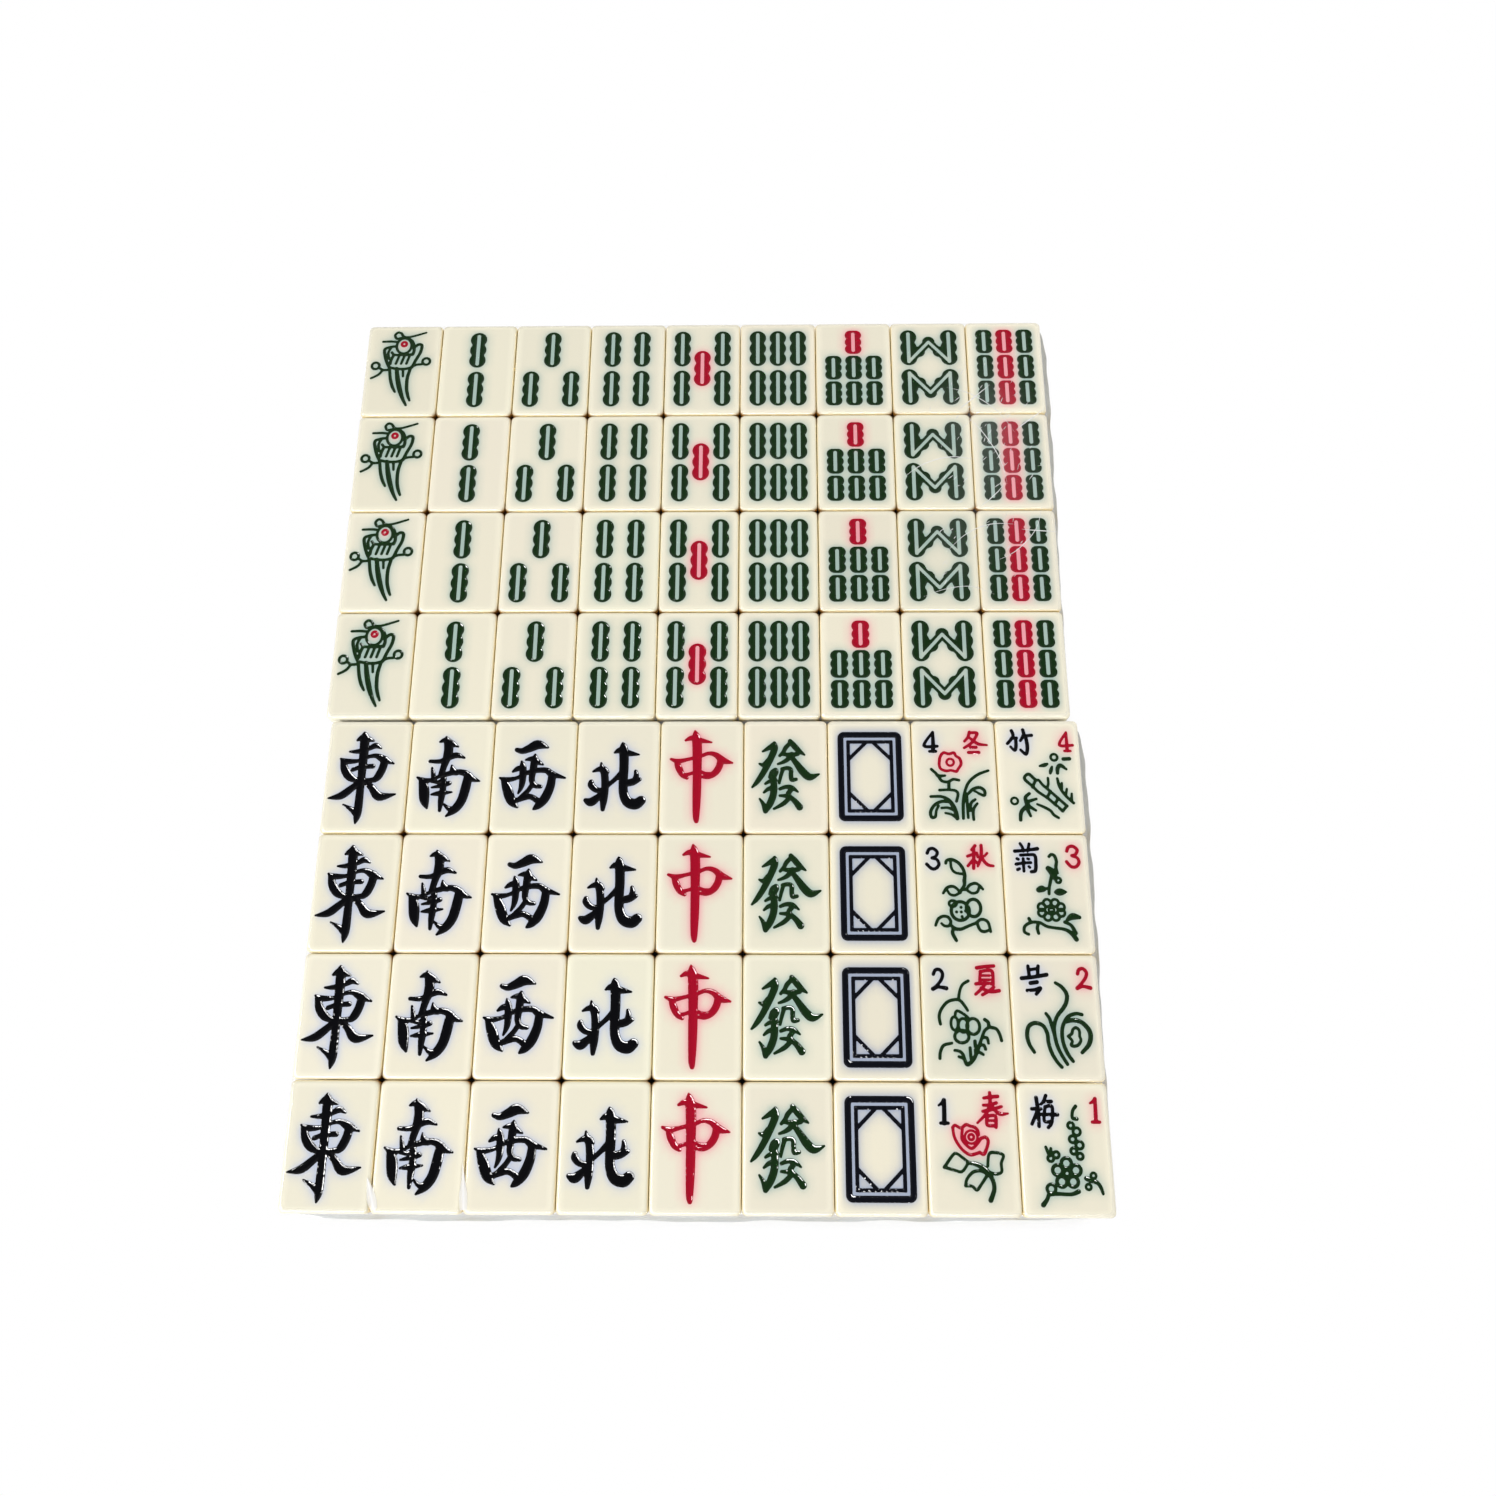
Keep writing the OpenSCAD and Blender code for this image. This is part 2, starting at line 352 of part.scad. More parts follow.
autumn_green_shares = [
    [[-3.4, 10.6, 0.8], [-3, 11.5, 0.8], [-1.4, 11.8, 0.9], [0.6, 10.8, 0.9], [2, 9, 0.9], [2.6, 7, 0.9],
        [2.4, 5, 1.1], [2.3, 3.4, 0.9], [1.4, 2, 0.8], [0.8, 0.9, 0.8]],
    [[-1.8, 11.4, 0.7], [-1.6, 9, 0.7], [-0.4, 7.5, 0.7], [2.2, 7, 0.7]],
    [[-4.6, 0.8, 0.7], [-3.4, 2.5, 0.8], [-1.6, 3, 0.8], [-0.2, 2.3, 0.7], [0.8, 1, 0.7]],
    [[-3.4, 1.9, 0.6], [-2.4, 0.4, 0.7], [-0.8, 0.1, 0.7], [0.8, 1, 0.7]],
    [[1.4, 2, 0.7], [2.8, 2, 0.7], [4, 3.4, 0.8], [5.8, 4, 0.8], [7.2, 3.3, 0.7], [8.2, 2.1, 0.7]],
    [[2.8, 2, 0.7], [4.6, 0.8, 0.7], [6.4, 1.2, 0.7], [7.2, 3.2, 0.7]],
    [[-2.4, -9.6, 0.8], [-1.6, -10.6, 1], [0.6, -10.8, 0.9], [3, -9.8, 0.8], [5.6, -8.8, 0.8]],
    [[-1.6, -10.4, 0.9], [-2.2, -12, 1], [-1.1, -14.4, 0.9]],
    [[-7.5, -9.6, 0.7], [-6.6, -7.6, 0.8], [-5, -6.7, 0.8], [-3.4, -7, 0.8], [-2.6, -8.4, 0.8],
        [-3.2, -9.7, 0.8], [-4.6, -9.8, 0.7], [-5.6, -9, 0.6]],
    [[5.6, -8.8, 0.8], [6.8, -7.8, 0.8], [8.2, -7.8, 0.8], [9.4, -8.8, 0.8], [10, -11.6, 0.7]],
    [[5.8, -9, 0.8], [6.6, -11, 0.8], [8, -11.6, 0.8], [9.8, -11, 0.7]]
];
autumn_green_oval_shares = [[0.6, -5, 2.9, 3, 0.9], [4.9, -4, 2.3, 2.8, 0.9], [-1.7, -2.6, 1.2, 1, 0.7]];
autumn_green_ring_shares = [
    [0.9, -3.8, 0.2, 0.2, 0.4], [-0.6, -5.3, 0.2, 0.2, 0.4], [0.9, -5.3, 0.2, 0.2, 0.4],
    [2.3, -5, 0.2, 0.2, 0.4], [1.1, -6.8, 0.2, 0.2, 0.4]
];

winter_mid_shares = [0.9, 1.2];
winter_black_shares = [
    [[-5.9, 16.6, 0.6], [-9, 11.8, 0.9], [-4.6, 11.6, 0.9]],
    [[-5.9, 16.4, 0.8], [-5.9, 13, 1.1], [-6, 9.9, 1.1]],
    [[-7.2, 9.8, 0.8], [-5.1, 9.8, 0.8]]
];
winter_red_shares = [
    [[6.4, 16.6, 0.8], [5.8, 14.7, 0.8], [4.6, 13.3, 0.7]],
    [[6.4, 16.3, 0.8], [8.9, 16.2, 0.9], [8.2, 14.4, 0.8], [6.8, 12.6, 0.8], [4.4, 11, 0.7]],
    [[6.1, 14.8, 0.6], [7.8, 13.3, 0.9], [9.4, 12.3, 0.9], [12, 12, 0.6]],
    [[6.6, 11.2, 0.9], [8.4, 11.2, 0.9]],
    [[5.8, 9.4, 0.9], [9.2, 9.4, 1]],
    [[-4.2, 5.4, 0.8], [-3.8, 7.8, 0.8], [-2.6, 9.3, 0.8], [-0.8, 8.9, 0.8], [0.9, 9.3, 0.8], [1.5, 8.2, 0.7],
        [2.7, 7.3, 0.8], [3.1, 5.4, 0.8], [2, 3.6, 0.7], [1.4, 2.8, 0.8], [-0.4, 3.2, 0.7], [-2, 3, 0.8],
        [-3.8, 3.8, 0.7], [-4.2, 5.4, 0.8]]
];
winter_red_ring_shares = [[-0.5, 6, 1.2, 1.2, 0.6]];
winter_green_shares = [
    [[-6.9, 3.6, 0.8], [-5.6, 2.4, 0.8], [-4.6, 1.3, 1], [-2.4, 1.4, 0.6]],
    [[-4.6, 1.2, 0.9], [-3.6, -0.4, 0.8], [-1.6, -0.8, 0.8], [0.2, 0.1, 0.8], [2.1, -0.2, 0.8]],
    [[-1.2, -0.8, 0.8], [-1.3, -2.6, 0.9], [-1.2, -3.4, 0.8]],
    [[-4.4, -3.6, 0.8], [-1.6, -3.5, 0.7], [0.8, -3.8, 0.8], [1.6, -5, 0.8], [1, -7.4, 0.8]],
    [[12, 3.1, 0.7], [8.6, 1.8, 0.8], [5.6, -0.6, 0.8], [4, -3.8, 0.8], [3.2, -8, 0.9], [3, -13.2, 0.8]],
    [[-7.4, -5.8, 0.8], [-4, -5.8, 0.8], [-1.8, -6.8, 1], [-0.4, -8.6, 1.3], [0.6, -11, 1.3],
        [1, -13.2, 1.2]],
    [[-1, -7.6, 0.9], [-4, -7.5, 0.9], [-6.4, -8.8, 0.9], [-7.7, -11, 0.9], [-7.4, -12.8, 0.9],
        [-6.2, -12.6, 0.8], [-5.8, -10.6, 0.7], [-5, -9, 0.7]],
    [[-4, -9.7, 0.7], [-2, -9.6, 0.7], [0, -10.4, 0.8]],
    [[-2.8, -11.4, 0.6], [-1, -11.8, 0.7], [0.6, -12.8, 0.9]],
    [[3.8, -5.2, 0.9], [5, -4.8, 0.8], [6.6, -3.3, 0.9], [8.8, -2.7, 0.9], [10.4, -3.8, 0.9],
        [10.3, -5.4, 0.8], [8.8, -4.9, 0.7], [6.8, -3.7, 0.6]],
    [[4.4, -5, 0.9], [4.5, -8, 0.8], [4.6, -13, 0.7]],
    [[7.2, -6.8, 0.7], [5.8, -8, 0.8], [5.4, -10.6, 0.7]],
    [[7.8, -8.2, 0.7], [6.6, -9.8, 0.8], [6.3, -11.6, 0.8], [6.4, -13.6, 0.8]]
];

plum_mid_shares = [1.3, 0];
plum_black_shares = [
    [[-8.3, 11.8, 0.9], [-5.6, 11.8, 0.9]],
    [[-6.8, 15.1, 1], [-6.4, 11, 1], [-6.4, 6.7, 0.9]],
    [[-6.6, 11.2, 0.9], [-8.5, 7.4, 0.9]],
    [[-3.8, 15.7, 0.9], [-4.6, 14, 0.8], [-5.4, 13.2, 0.7]],
    [[-4.6, 13.9, 0.8], [-2.2, 14, 0.9]],
    [[-4.2, 12.4, 0.8], [-4.7, 8.3, 0.8], [-2.4, 8.2, 0.8]],
    [[-4.2, 12.4, 0.8], [-2.1, 12.4, 0.9], [-2.4, 8, 0.8], [-3.6, 6.4, 0.9]],
    [[-5.4, 10.2, 0.8], [-0.6, 10.1, 1]]
];
plum_red_shares = [
    [[9.6, 13.5, 0.5], [10.6, 14.1, 0.8], [11.2, 14.9, 0.8]],
    [[11.2, 14.7, 0.9], [11.1, 11, 1], [11, 8.3, 1]],
    [[9.9, 8, 0.8], [12.1, 8, 0.8]]
];
plum_green_shares = [
    [[5.1, 12.6, 0.9], [4.1, 11.2, 0.8], [3.9, 9.2, 0.8], [5.2, 8.9, 1]],
    [[-4.8, 0.7, 0.7], [-4.2, -0.9, 0.8], [-3.8, -1.8, 0.7]],
    [[-3.3, 0.3, 0.7], [-3.3, -1.6, 0.8]],
    [[6.8, -8.2, 1.2], [8.2, -8.7, 1.4], [10, -9.4, 1], [11, -10.8, 0.9], [11.5, -12.5, 0.7]],
    [[-4.3, -12.7, 1], [-2, -12.6, 0.9], [2, -12.7, 0.9], [4.2, -11.9, 1.2]],
    [[-4.7, -12.5, 0.9], [-5.4, -14.2, 1], [-6.6, -15.7, 1.3]]
];
plum_green_ring_shares = [
    [3.2, 7, 0.9, 0.9, 0.7], [4.9, 5.2, 1.1, 1.1, 0.7], [3.5, 3, 1, 1, 0.7], [5.5, 1.3, 1.1, 1.1, 0.7],
    [3.6, -0.4, 0.9, 0.9, 0.7], [5.4, -1.9, 0.9, 0.9, 0.7], [-3.5, -2.5, 0.9, 0.9, 0.7],
    [-1.8, -1.5, 0.9, 0.9, 0.7], [9, -7.4, 0.8, 0.8, 0.6], [7.3, -10.6, 0.8, 0.8, 0.6],
    [-3.9, -11.2, 1.3, 1.3, 0.8], [1.1, -6.8, 0.8, 0.8, 0.5]
];
// The blossom: its middle, the two radii to its petals' middles, a petal's radius and its line's width
blossom_shares = [1.1, -6.8, 2.9, 2.9, 1.5, 0.9];
blossom_petals = 5;

orchid_mid_shares = [1.3, 0.3];
orchid_black_shares = [
    [[-8.9, 12.4, 1.1], [-5, 12.8, 1], [-1, 13.5, 1.1]],
    [[-6.7, 16.2, 0.9], [-6.5, 13.4, 0.9]],
    [[-6.6, 15, 0.8], [-3.8, 15.4, 0.8]],
    [[-3.5, 16.2, 0.9], [-3.8, 13.6, 0.9]],
    [[-6.2, 10.9, 1.1], [-4.2, 11.2, 1.1]],
    [[-7.4, 8.6, 0.9], [-5, 8.8, 0.9], [-3.2, 9.3, 1], [-4.6, 7.5, 0.9]]
];
orchid_red_shares = [
    [[8.8, 13.8, 0.9], [9.3, 15.1, 0.9], [10.6, 15.4, 0.9], [11.6, 14.2, 0.9], [11.2, 12.6, 0.9],
        [9.8, 10.8, 0.8], [8.4, 9.4, 0.9]],
    [[8.4, 9.3, 1], [10.2, 9.9, 0.8], [12.5, 9.4, 1.1]]
];
orchid_green_shares = [
    [[1.6, 11, 0.8], [3.6, 9.6, 1], [4.9, 7.4, 1.1], [4.6, 5, 1.1], [3.4, 3, 1.1], [1.8, 1.2, 1],
        [0.6, -1.2, 1], [0.2, -4, 1], [0.8, -8, 1], [2, -11, 0.9], [3.6, -13.8, 0.9]],
    [[-2, 1.5, 0.8], [-1, 0, 0.9], [-0.5, -2, 0.9], [0.1, -4.4, 0.9]],
    [[-6.4, -10.2, 0.9], [-7.8, -7.8, 1], [-8.3, -5, 1.1], [-7.6, -2.4, 1.1], [-5.6, -1.4, 1.1],
        [-3.2, -2.2, 1],
        [-2, -4.6, 1], [-1.8, -7.4, 1], [-1, -10.4, 1], [0.4, -13, 0.9], [1.8, -14.7, 0.9]],
    [[9.2, 1.2, 0.9], [7.4, 1.5, 0.9], [5.2, 0.8, 1], [3.7, -0.9, 1], [2.7, -3.4, 1], [2.7, -7, 1],
        [3.8, -10.4, 1], [5.4, -12.9, 0.9]],
    [[4.2, -1, 0.9], [6.4, -0.5, 1.2], [9, -1.2, 1.2], [11, -3.4, 1.3], [11.4, -5.6, 1.3], [10.6, -8, 1.2],
        [8.4, -10.3, 0.9]],
    [[4.4, -5.4, 0.7], [5.6, -4.6, 0.8], [6, -3.4, 0.7], [7, -2.8, 0.8], [8, -3.6, 0.7], [8, -5.4, 0.7],
        [8.3, -6.6, 0.7], [7.4, -8, 0.8], [6, -8.4, 0.8], [5.2, -8, 0.8], [5.6, -6.8, 0.7], [4.4, -5.4, 0.7]]
];

chrysanthemum_mid_shares = [1.3, 0.8];
chrysanthemum_black_shares = [
    [[-8.6, 14.6, 1], [-4.8, 14.9, 0.8], [-1.2, 15.4, 1.1]],
    [[-6.7, 17.1, 0.8], [-6, 15.8, 0.8], [-5.8, 14.6, 0.7]],
    [[-3.8, 17, 0.8], [-4.4, 14.6, 0.7]],
    [[-6.8, 13.3, 0.8], [-4.4, 13.4, 0.8], [-2.2, 13.2, 0.9], [-2, 10.6, 1], [-2.3, 8.2, 1],
        [-3.6, 7.8, 0.9]],
    [[-8.4, 10.3, 0.9], [-5.8, 10.7, 0.8], [-3.6, 10.8, 0.8]],
    [[-6, 12.1, 0.8], [-6, 8, 0.8]],
    [[-8, 12.1, 0.8], [-7.6, 11.9, 0.8]],
    [[-4.6, 12.1, 0.7], [-4.2, 12, 0.7]],
    [[-8, 8.5, 0.9], [-7.4, 8.8, 0.8]],
    [[-4.3, 9.5, 0.7], [-4, 9.2, 0.7]]
];
chrysanthemum_red_shares = [
    [[8.3, 14.6, 0.9], [8.9, 15.9, 0.9], [10.4, 16.2, 0.9], [11.7, 15, 0.9], [11, 13.5, 0.8],
        [9.8, 13.1, 0.8],
        [11.5, 12.4, 0.8], [12, 10.9, 0.9], [11, 9.5, 0.9], [9.4, 9.5, 0.9], [8, 11.1, 0.9]]
];
chrysanthemum_green_shares = [
    [[2.4, 12.8, 0.8], [3.2, 13.5, 0.8], [4.2, 13, 0.9], [4.7, 11.2, 0.9], [4.4, 9.2, 0.9], [4.8, 7.4, 0.7]],
    [[1.9, 8.9, 1.5], [3.2, 7.6, 2.2], [4, 5.6, 1.4]],
    [[2.9, 6.8, 0.8], [2.3, 4.6, 0.9], [1.8, 2.6, 0.8], [1.6, 0.6, 0.8]],
    [[-1.6, 1.9, 1.6], [-0.6, 2.2, 2], [0.2, 2, 1]],
    [[0, 2.3, 0.7], [1.8, 2.4, 0.6]],
    [[3.6, 1.1, 0.6], [5.1, 1.2, 2.2], [7.2, 1.2, 0.4]],
    [[-5.8, -12.4, 0.8], [-7.1, -11.6, 0.8], [-6.8, -9.8, 0.8], [-4.6, -8.6, 0.8], [-2, -8.7, 0.8],
        [0.2, -9.9, 0.8], [3, -10.4, 0.8], [6, -10.9, 0.9], [8, -12.2, 1.2], [9.3, -14, 1.3]],
    [[-5.4, -7.4, 0.9], [-4.8, -8.6, 0.8]],
    [[-2.4, -8.8, 0.8], [-2.9, -10.4, 0.9], [-2.6, -12.1, 0.8]],
    [[6.8, -7.8, 0.8], [8.6, -6.7, 2], [10.8, -7, 1]],
    [[6, -8.5, 0.9], [8, -9.6, 0.9], [9.2, -12, 1.2]]
];
chrysanthemum_green_oval_shares = [[2, -4.6, 2.2, 1.3, 0.6], [2, -4.6, 0.9, 0.5, 0.5]];
chrysanthemum_green_ring_shares = [[4.9, 5, 0.8, 0.8, 0.7]];
// The crown of petals round the flower, in the same order
crown_shares = [2, -4.6, 3.3, 2.4, 1.2, 0.7];
crown_petals = 8;

bamboo_plant_mid_shares = [1.3, 1.2];
bamboo_plant_black_shares = [
    [[-7.2, 17, 1], [-6.8, 15, 0.9], [-8.8, 12.5, 0.9]],
    [[-7.4, 14.3, 0.8], [-5.6, 14.5, 0.8]],
    [[-5.9, 14.2, 0.9], [-6, 11.4, 1], [-6.5, 10.1, 0.8], [-7.8, 11.4, 0.7]],
    [[-3.4, 17.3, 1], [-3.2, 15.6, 1], [-4.4, 13.5, 0.8]],
    [[-3.2, 15.2, 0.8], [-0.6, 15.4, 1]],
    [[-2.6, 15, 1], [-2.2, 11.4, 1.1], [-2.8, 8.8, 0.9], [-4.5, 10.3, 0.8]]
];
bamboo_plant_red_shares = [
    [[11, 16.4, 0.6], [8.5, 12, 0.8], [12.9, 11.9, 0.8]],
    [[11, 16.2, 0.7], [11, 13, 0.9], [11, 10, 0.9]],
    [[10.1, 9.9, 0.7], [12, 9.9, 0.7]]
];
bamboo_plant_green_shares = [
    [[9.5, 7.1, 1.1], [11.5, 7.2, 1.1]],
    [[1.5, 4.7, 0.6], [3, 5, 1.2], [4, 5.4, 0.7]],
    [[4.8, 2.2, 0.7], [5.1, 3.2, 1.1], [5.5, 4.4, 0.6]],
    [[7.2, 2.2, 0.9], [7.4, 4, 1.2], [8.4, 4.9, 1.2], [10.2, 3.6, 0.7]],
    [[-1.2, -2.4, 0.8], [-3.7, 0, 0.9], [-3.5, 1.3, 0.8], [-2.2, 1.8, 0.9], [-0.2, -0.1, 0.8],
        [0.8, -0.2, 0.7], [2, -1.8, 0.8], [3.4, -3.1, 0.8], [5.6, -5.2, 0.8], [9.5, -9, 0.8]],
    [[-1.2, -2.4, 0.8], [0.4, -4.2, 0.8], [3.2, -6.2, 0.8], [5.6, -8.4, 0.8], [8, -10.7, 0.8]],
    [[9.5, -9, 0.8], [8, -10.7, 0.8]],
    [[-1.4, -2.6, 0.8], [-0.2, -0.1, 0.8]],
    [[4.4, -4, 0.8], [3.2, -6.2, 0.8]],
    [[6.8, -6.4, 0.8], [5.6, -8.4, 0.8]],
    [[3.9, 0.5, 0.7], [3.9, -1.4, 0.7], [3.4, -3, 0.7]],
    [[7, 0.4, 0.7], [7.4, -1.8, 0.9], [8.2, -3.8, 0.8], [9.6, -5.8, 0.8], [11.8, -8, 0.8]],
    [[8.4, -1.2, 0.6], [8.2, -3.2, 0.8]],
    [[9.9, -3.2, 0.6], [9.4, -5.2, 0.8]],
    [[11.4, -4.8, 0.6], [11.2, -7, 0.8]],
    [[-0.2, -8.4, 0.6], [2, -9.4, 0.8], [4, -10.6, 0.8], [5, -12, 0.8], [6.5, -13, 0.7]],
    [[-2.6, -4.8, 0.9], [-4, -6.2, 1], [-3.4, -8.6, 1.4]],
    [[-0.4, -6.6, 0.7], [-3.2, -7.5, 1]],
    [[-6, -13.7, 1], [-5.6, -11, 1.1], [-3.6, -9, 1.2]],
    [[-2.6, -12.4, 0.7], [-3.4, -10.4, 1.1], [-3.4, -8.6, 1.5]],
    [[-0.8, -10.5, 0.7], [-2.8, -9.2, 1]]
];
bamboo_plant_green_ring_shares = [[6.4, 7.7, 1.1, 1.1, 0.7], [-7.6, -7.3, 1.1, 1.1, 0.6]];

// Petals as rings, set round a middle
function petals(c, count, turn) = [
    for (k = [0 : count - 1])
        let (a = 360 * (k + turn) / count)
            [c[0] + c[2] * sin(a), c[1] + c[3] * cos(a), c[4], c[4], c[5]]
];

// Designs with three colours: the middle, then strokes, ovals and rings of black, red and green
spring = [
    spring_mid_shares,
    [spring_black_shares, [], []],
    [spring_red_shares, [], spring_red_ring_shares],
    [spring_green_shares, [], []]
];
summer = [
    summer_mid_shares,
    [summer_black_shares, [], []],
    [summer_red_shares, [], []],
    [summer_green_shares, summer_green_oval_shares, []]
];
autumn = [
    autumn_mid_shares,
    [autumn_black_shares, [], []],
    [autumn_red_shares, [], []],
    [autumn_green_shares, autumn_green_oval_shares, autumn_green_ring_shares]
];
winter = [
    winter_mid_shares,
    [winter_black_shares, [], []],
    [winter_red_shares, [], winter_red_ring_shares],
    [winter_green_shares, [], []]
];
plum = [
    plum_mid_shares,
    [plum_black_shares, [], []],
    [plum_red_shares, [], []],
    [plum_green_shares, [], concat(plum_green_ring_shares, petals(blossom_shares, blossom_petals, 0))]
];
orchid = [
    orchid_mid_shares,
    [orchid_black_shares, [], []],
    [orchid_red_shares, [], []],
    [orchid_green_shares, [], []]
];
chrysanthemum = [
    chrysanthemum_mid_shares,
    [chrysanthemum_black_shares, [], []],
    [chrysanthemum_red_shares, [], []],
    [
        chrysanthemum_green_shares,
        chrysanthemum_green_oval_shares,
        concat(chrysanthemum_green_ring_shares, petals(crown_shares, crown_petals, 0.5))
    ]
];
bamboo_plant = [
    bamboo_plant_mid_shares,
    [bamboo_plant_black_shares, [], []],
    [bamboo_plant_red_shares, [], []],
    [bamboo_plant_green_shares, [], bamboo_plant_green_ring_shares]
];
black_layer = 1;
red_layer = 2;
green_layer = 3;

// Columns of the front pack, from the left, and the designs of its last two, from near to far
east_column = 0;
south_column = 1;
west_column = 2;
north_column = 3;
red_dragon_column = 4;
green_dragon_column = 5;
white_dragon_column = 6;
season_column = 7;
plant_column = 8;
seasons = [spring, summer, autumn, winter];
plants = [plum, orchid, chrysanthemum, bamboo_plant];

// Block with every long edge rounded and its upright corners rounded more: two crossed bars and a
// turned corner post at each of their four inner corners
module rounded_block(w, l, h, upright_r, edge) {
    union() {
        rounded_bar(w, l - 2 * upright_r, h, edge);
        rotate(90)
            rounded_bar(l, w - 2 * upright_r, h, edge);
        for (x = [-1, 1], y = [-1, 1])
            translate([x * (w / 2 - upright_r), y * (l / 2 - upright_r), 0])
                corner_post(h, upright_r, edge);
    }
}

// Bar along the y axis, with the four edges along it rounded
module rounded_bar(w, l, h, edge) {
    translate([0, l / 2, h / 2])
        rotate([90, 0, 0])
            linear_extrude(l)
                rounded_plan(w, h, edge);
}

module corner_post(h, r, edge) {
    translate([0, 0, h / 2])
        rotate_extrude($fn = 64)
            intersection() {
                rounded_plan(2 * r, h, edge);
                translate([0, -h / 2])
                    square([r, h]);
            }
}

// Rectangle about the origin with round corners
module rounded_plan(w, l, r) {
    union() {
        square([w - 2 * r, l], center = true);
        square([w, l - 2 * r], center = true);
        for (x = [-1, 1], y = [-1, 1])
            translate([x * (w / 2 - r), y * (l / 2 - r)])
                circle(r, $fn = 64);
    }
}

// Smooth curve through a stroke's points: its slope at point i, and its point at t along a stretch
function slope(p, i) = (p[min(i + 1, len(p) - 1)] - p[max(i - 1, 0)]) / 2;
function on_curve(p, i, t) =
    p[i] * (1 + 2 * t) * (1 - t) * (1 - t) + slope(p, i) * t * (1 - t) * (1 - t)
    + p[i + 1] * t * t * (3 - 2 * t) + slope(p, i + 1) * t * t * (t - 1);
function heading(a, b) = atan2(b[1] - a[1], b[0] - a[0]);
function bend(p, i) =
    i < 1 || i > len(p) - 2 ? 0 : abs(sin((heading(p[i], p[i + 1]) - heading(p[i - 1], p[i])) / 2));
function lengths(p, i) = max(bend(p, i), bend(p, i + 1)) > sin(bend_a / 2) ? 2 : 1;
function plain(p, i) =
    bend(p, i) < sin(straight_a / 2) && abs(2 * p[i][2] - p[i - 1][2] - p[i + 1][2]) < 2 * even_share;
function without_plain(p) = [
    for (i = [0 : len(p) - 1])
        if (i == 0 || i == len(p) - 1 || !plain(p, i))
            p[i]
];
function curve(p) =
    let (q = without_plain(p))
        [
            for (i = [0 : len(q) - 2], k = [0 : lengths(q, i) - 1])
                on_curve(q, i, k / lengths(q, i)),
            q[len(q) - 1]
        ];

// Direction across the curve at point i, and the stroke's edge there, on the side s
function across(q, i) =
    let (a = q[max(i - 1, 0)], b = q[min(i + 1, len(q) - 1)], along = [b[0] - a[0], b[1] - a[1]])
        [-along[1], along[0]] / norm(along);
function edge_point(q, i, s) = [q[i][0], q[i][1]] + s * across(q, i) * q[i][2] / 2;

// One brush stroke, swept along its points with its own width at each
module stroke(p) {
    q = curve(p);
    last = len(q) - 1;
    for (i = [0 : last - 1])
        polygon([
            edge_point(q, i, 1),
            edge_point(q, i + 1, 1),
            edge_point(q, i + 1, -1),
            edge_point(q, i, -1)
        ]);
    for (i = [0, last])
        if (q[i][2] > round_share)
            translate([q[i][0], q[i][1]])
                rotate(heading([0, 0], across(q, i)))
                    circle(q[i][2] / 2, $fn = cap_sides);
}

// Oval line, with its middle on the two radii
module oval(r) {
    translate([r[0], r[1]])
        difference() {
            scale([r[2] + r[4] / 2, r[3] + r[4] / 2])
                circle(1, $fn = oval_sides);
            scale([r[2] - r[4] / 2, r[3] - r[4] / 2])
                circle(1, $fn = oval_sides);
        }
}

// Round line about a middle, or a dot where the line is as wide as the circle
module ring(middle_r, line_w) {
    difference() {
        circle(middle_r + line_w / 2, $fn = 48);
        if (middle_r > line_w / 2)
            circle(middle_r - line_w / 2, $fn = 48);
    }
}

// Strokes and ovals joined into one outline and set over the tile's middle, and the round rings
module drawn(mid, strokes, ovals = [], rings = []) {
    if (len(strokes) > 0)
        cleaned()
            scale([step_x, step_y])
                translate([-mid[0], -mid[1]])
                    union() {
                        for (s = strokes)
                            stroke(s);
                        for (r = ovals)
                            oval(r);
                    }
    for (r = rings)
        translate([(r[0] - mid[0]) * step_x, (r[1] - mid[1]) * step_y])
            ring(r[2] * step, r[4] * step);
}

// Outline without hairline gaps and slivers, grown and shrunk back both ways
module cleaned() {
    offset(delta = hairline)
        offset(delta = -2 * hairline)
            offset(delta = hairline)
                children();
}

module layer(design, which) {
    drawn(design[0], design[which][0], design[which][1], design[which][2]);
}

// Upright stick with three lobes each side, bare along its middle
module stick(l) {
    difference() {
        stick_body(l);
        bare_line([0, slot_end - l / 2], [0, l / 2 - slot_end]);
    }
}

module stick_body(l) {
    lobe_r = min(stick_w / 2, l / 5);
    lobe_x = stick_w / 2 - lobe_r;
    lobe_y = l / 2 - lobe_r;
    union() {
        square([stick_w - 2 * stick_waist, 2 * lobe_y], center = true);
        for (y = [-lobe_y, 0, lobe_y])
            translate([0, y])
                lobe(lobe_r, lobe_x);
    }
}

module lobe(r, half_w) {
    circles = half_w > 0 ? [-half_w, half_w] : [0];
    for (x = circles)
        translate([x, 0])
            circle(r, $fn = 48);
    if (half_w > 0)
        square([2 * half_w, 2 * r], center = true);
}

// Band of one width between two points, and the bare line along a stick, with round ends
module band(a, b, w) {
    translate(a)
        rotate(atan2(b[1] - a[1], b[0] - a[0]))
            translate([0, -w / 2])
                square([norm(b - a), w]);
}

module bare_line(a, b) {
    union() {
        band(a, b, slot_w);
        for (end = [a, b])
            translate(end)
                circle(slot_w / 2, $fn = 32);
    }
}

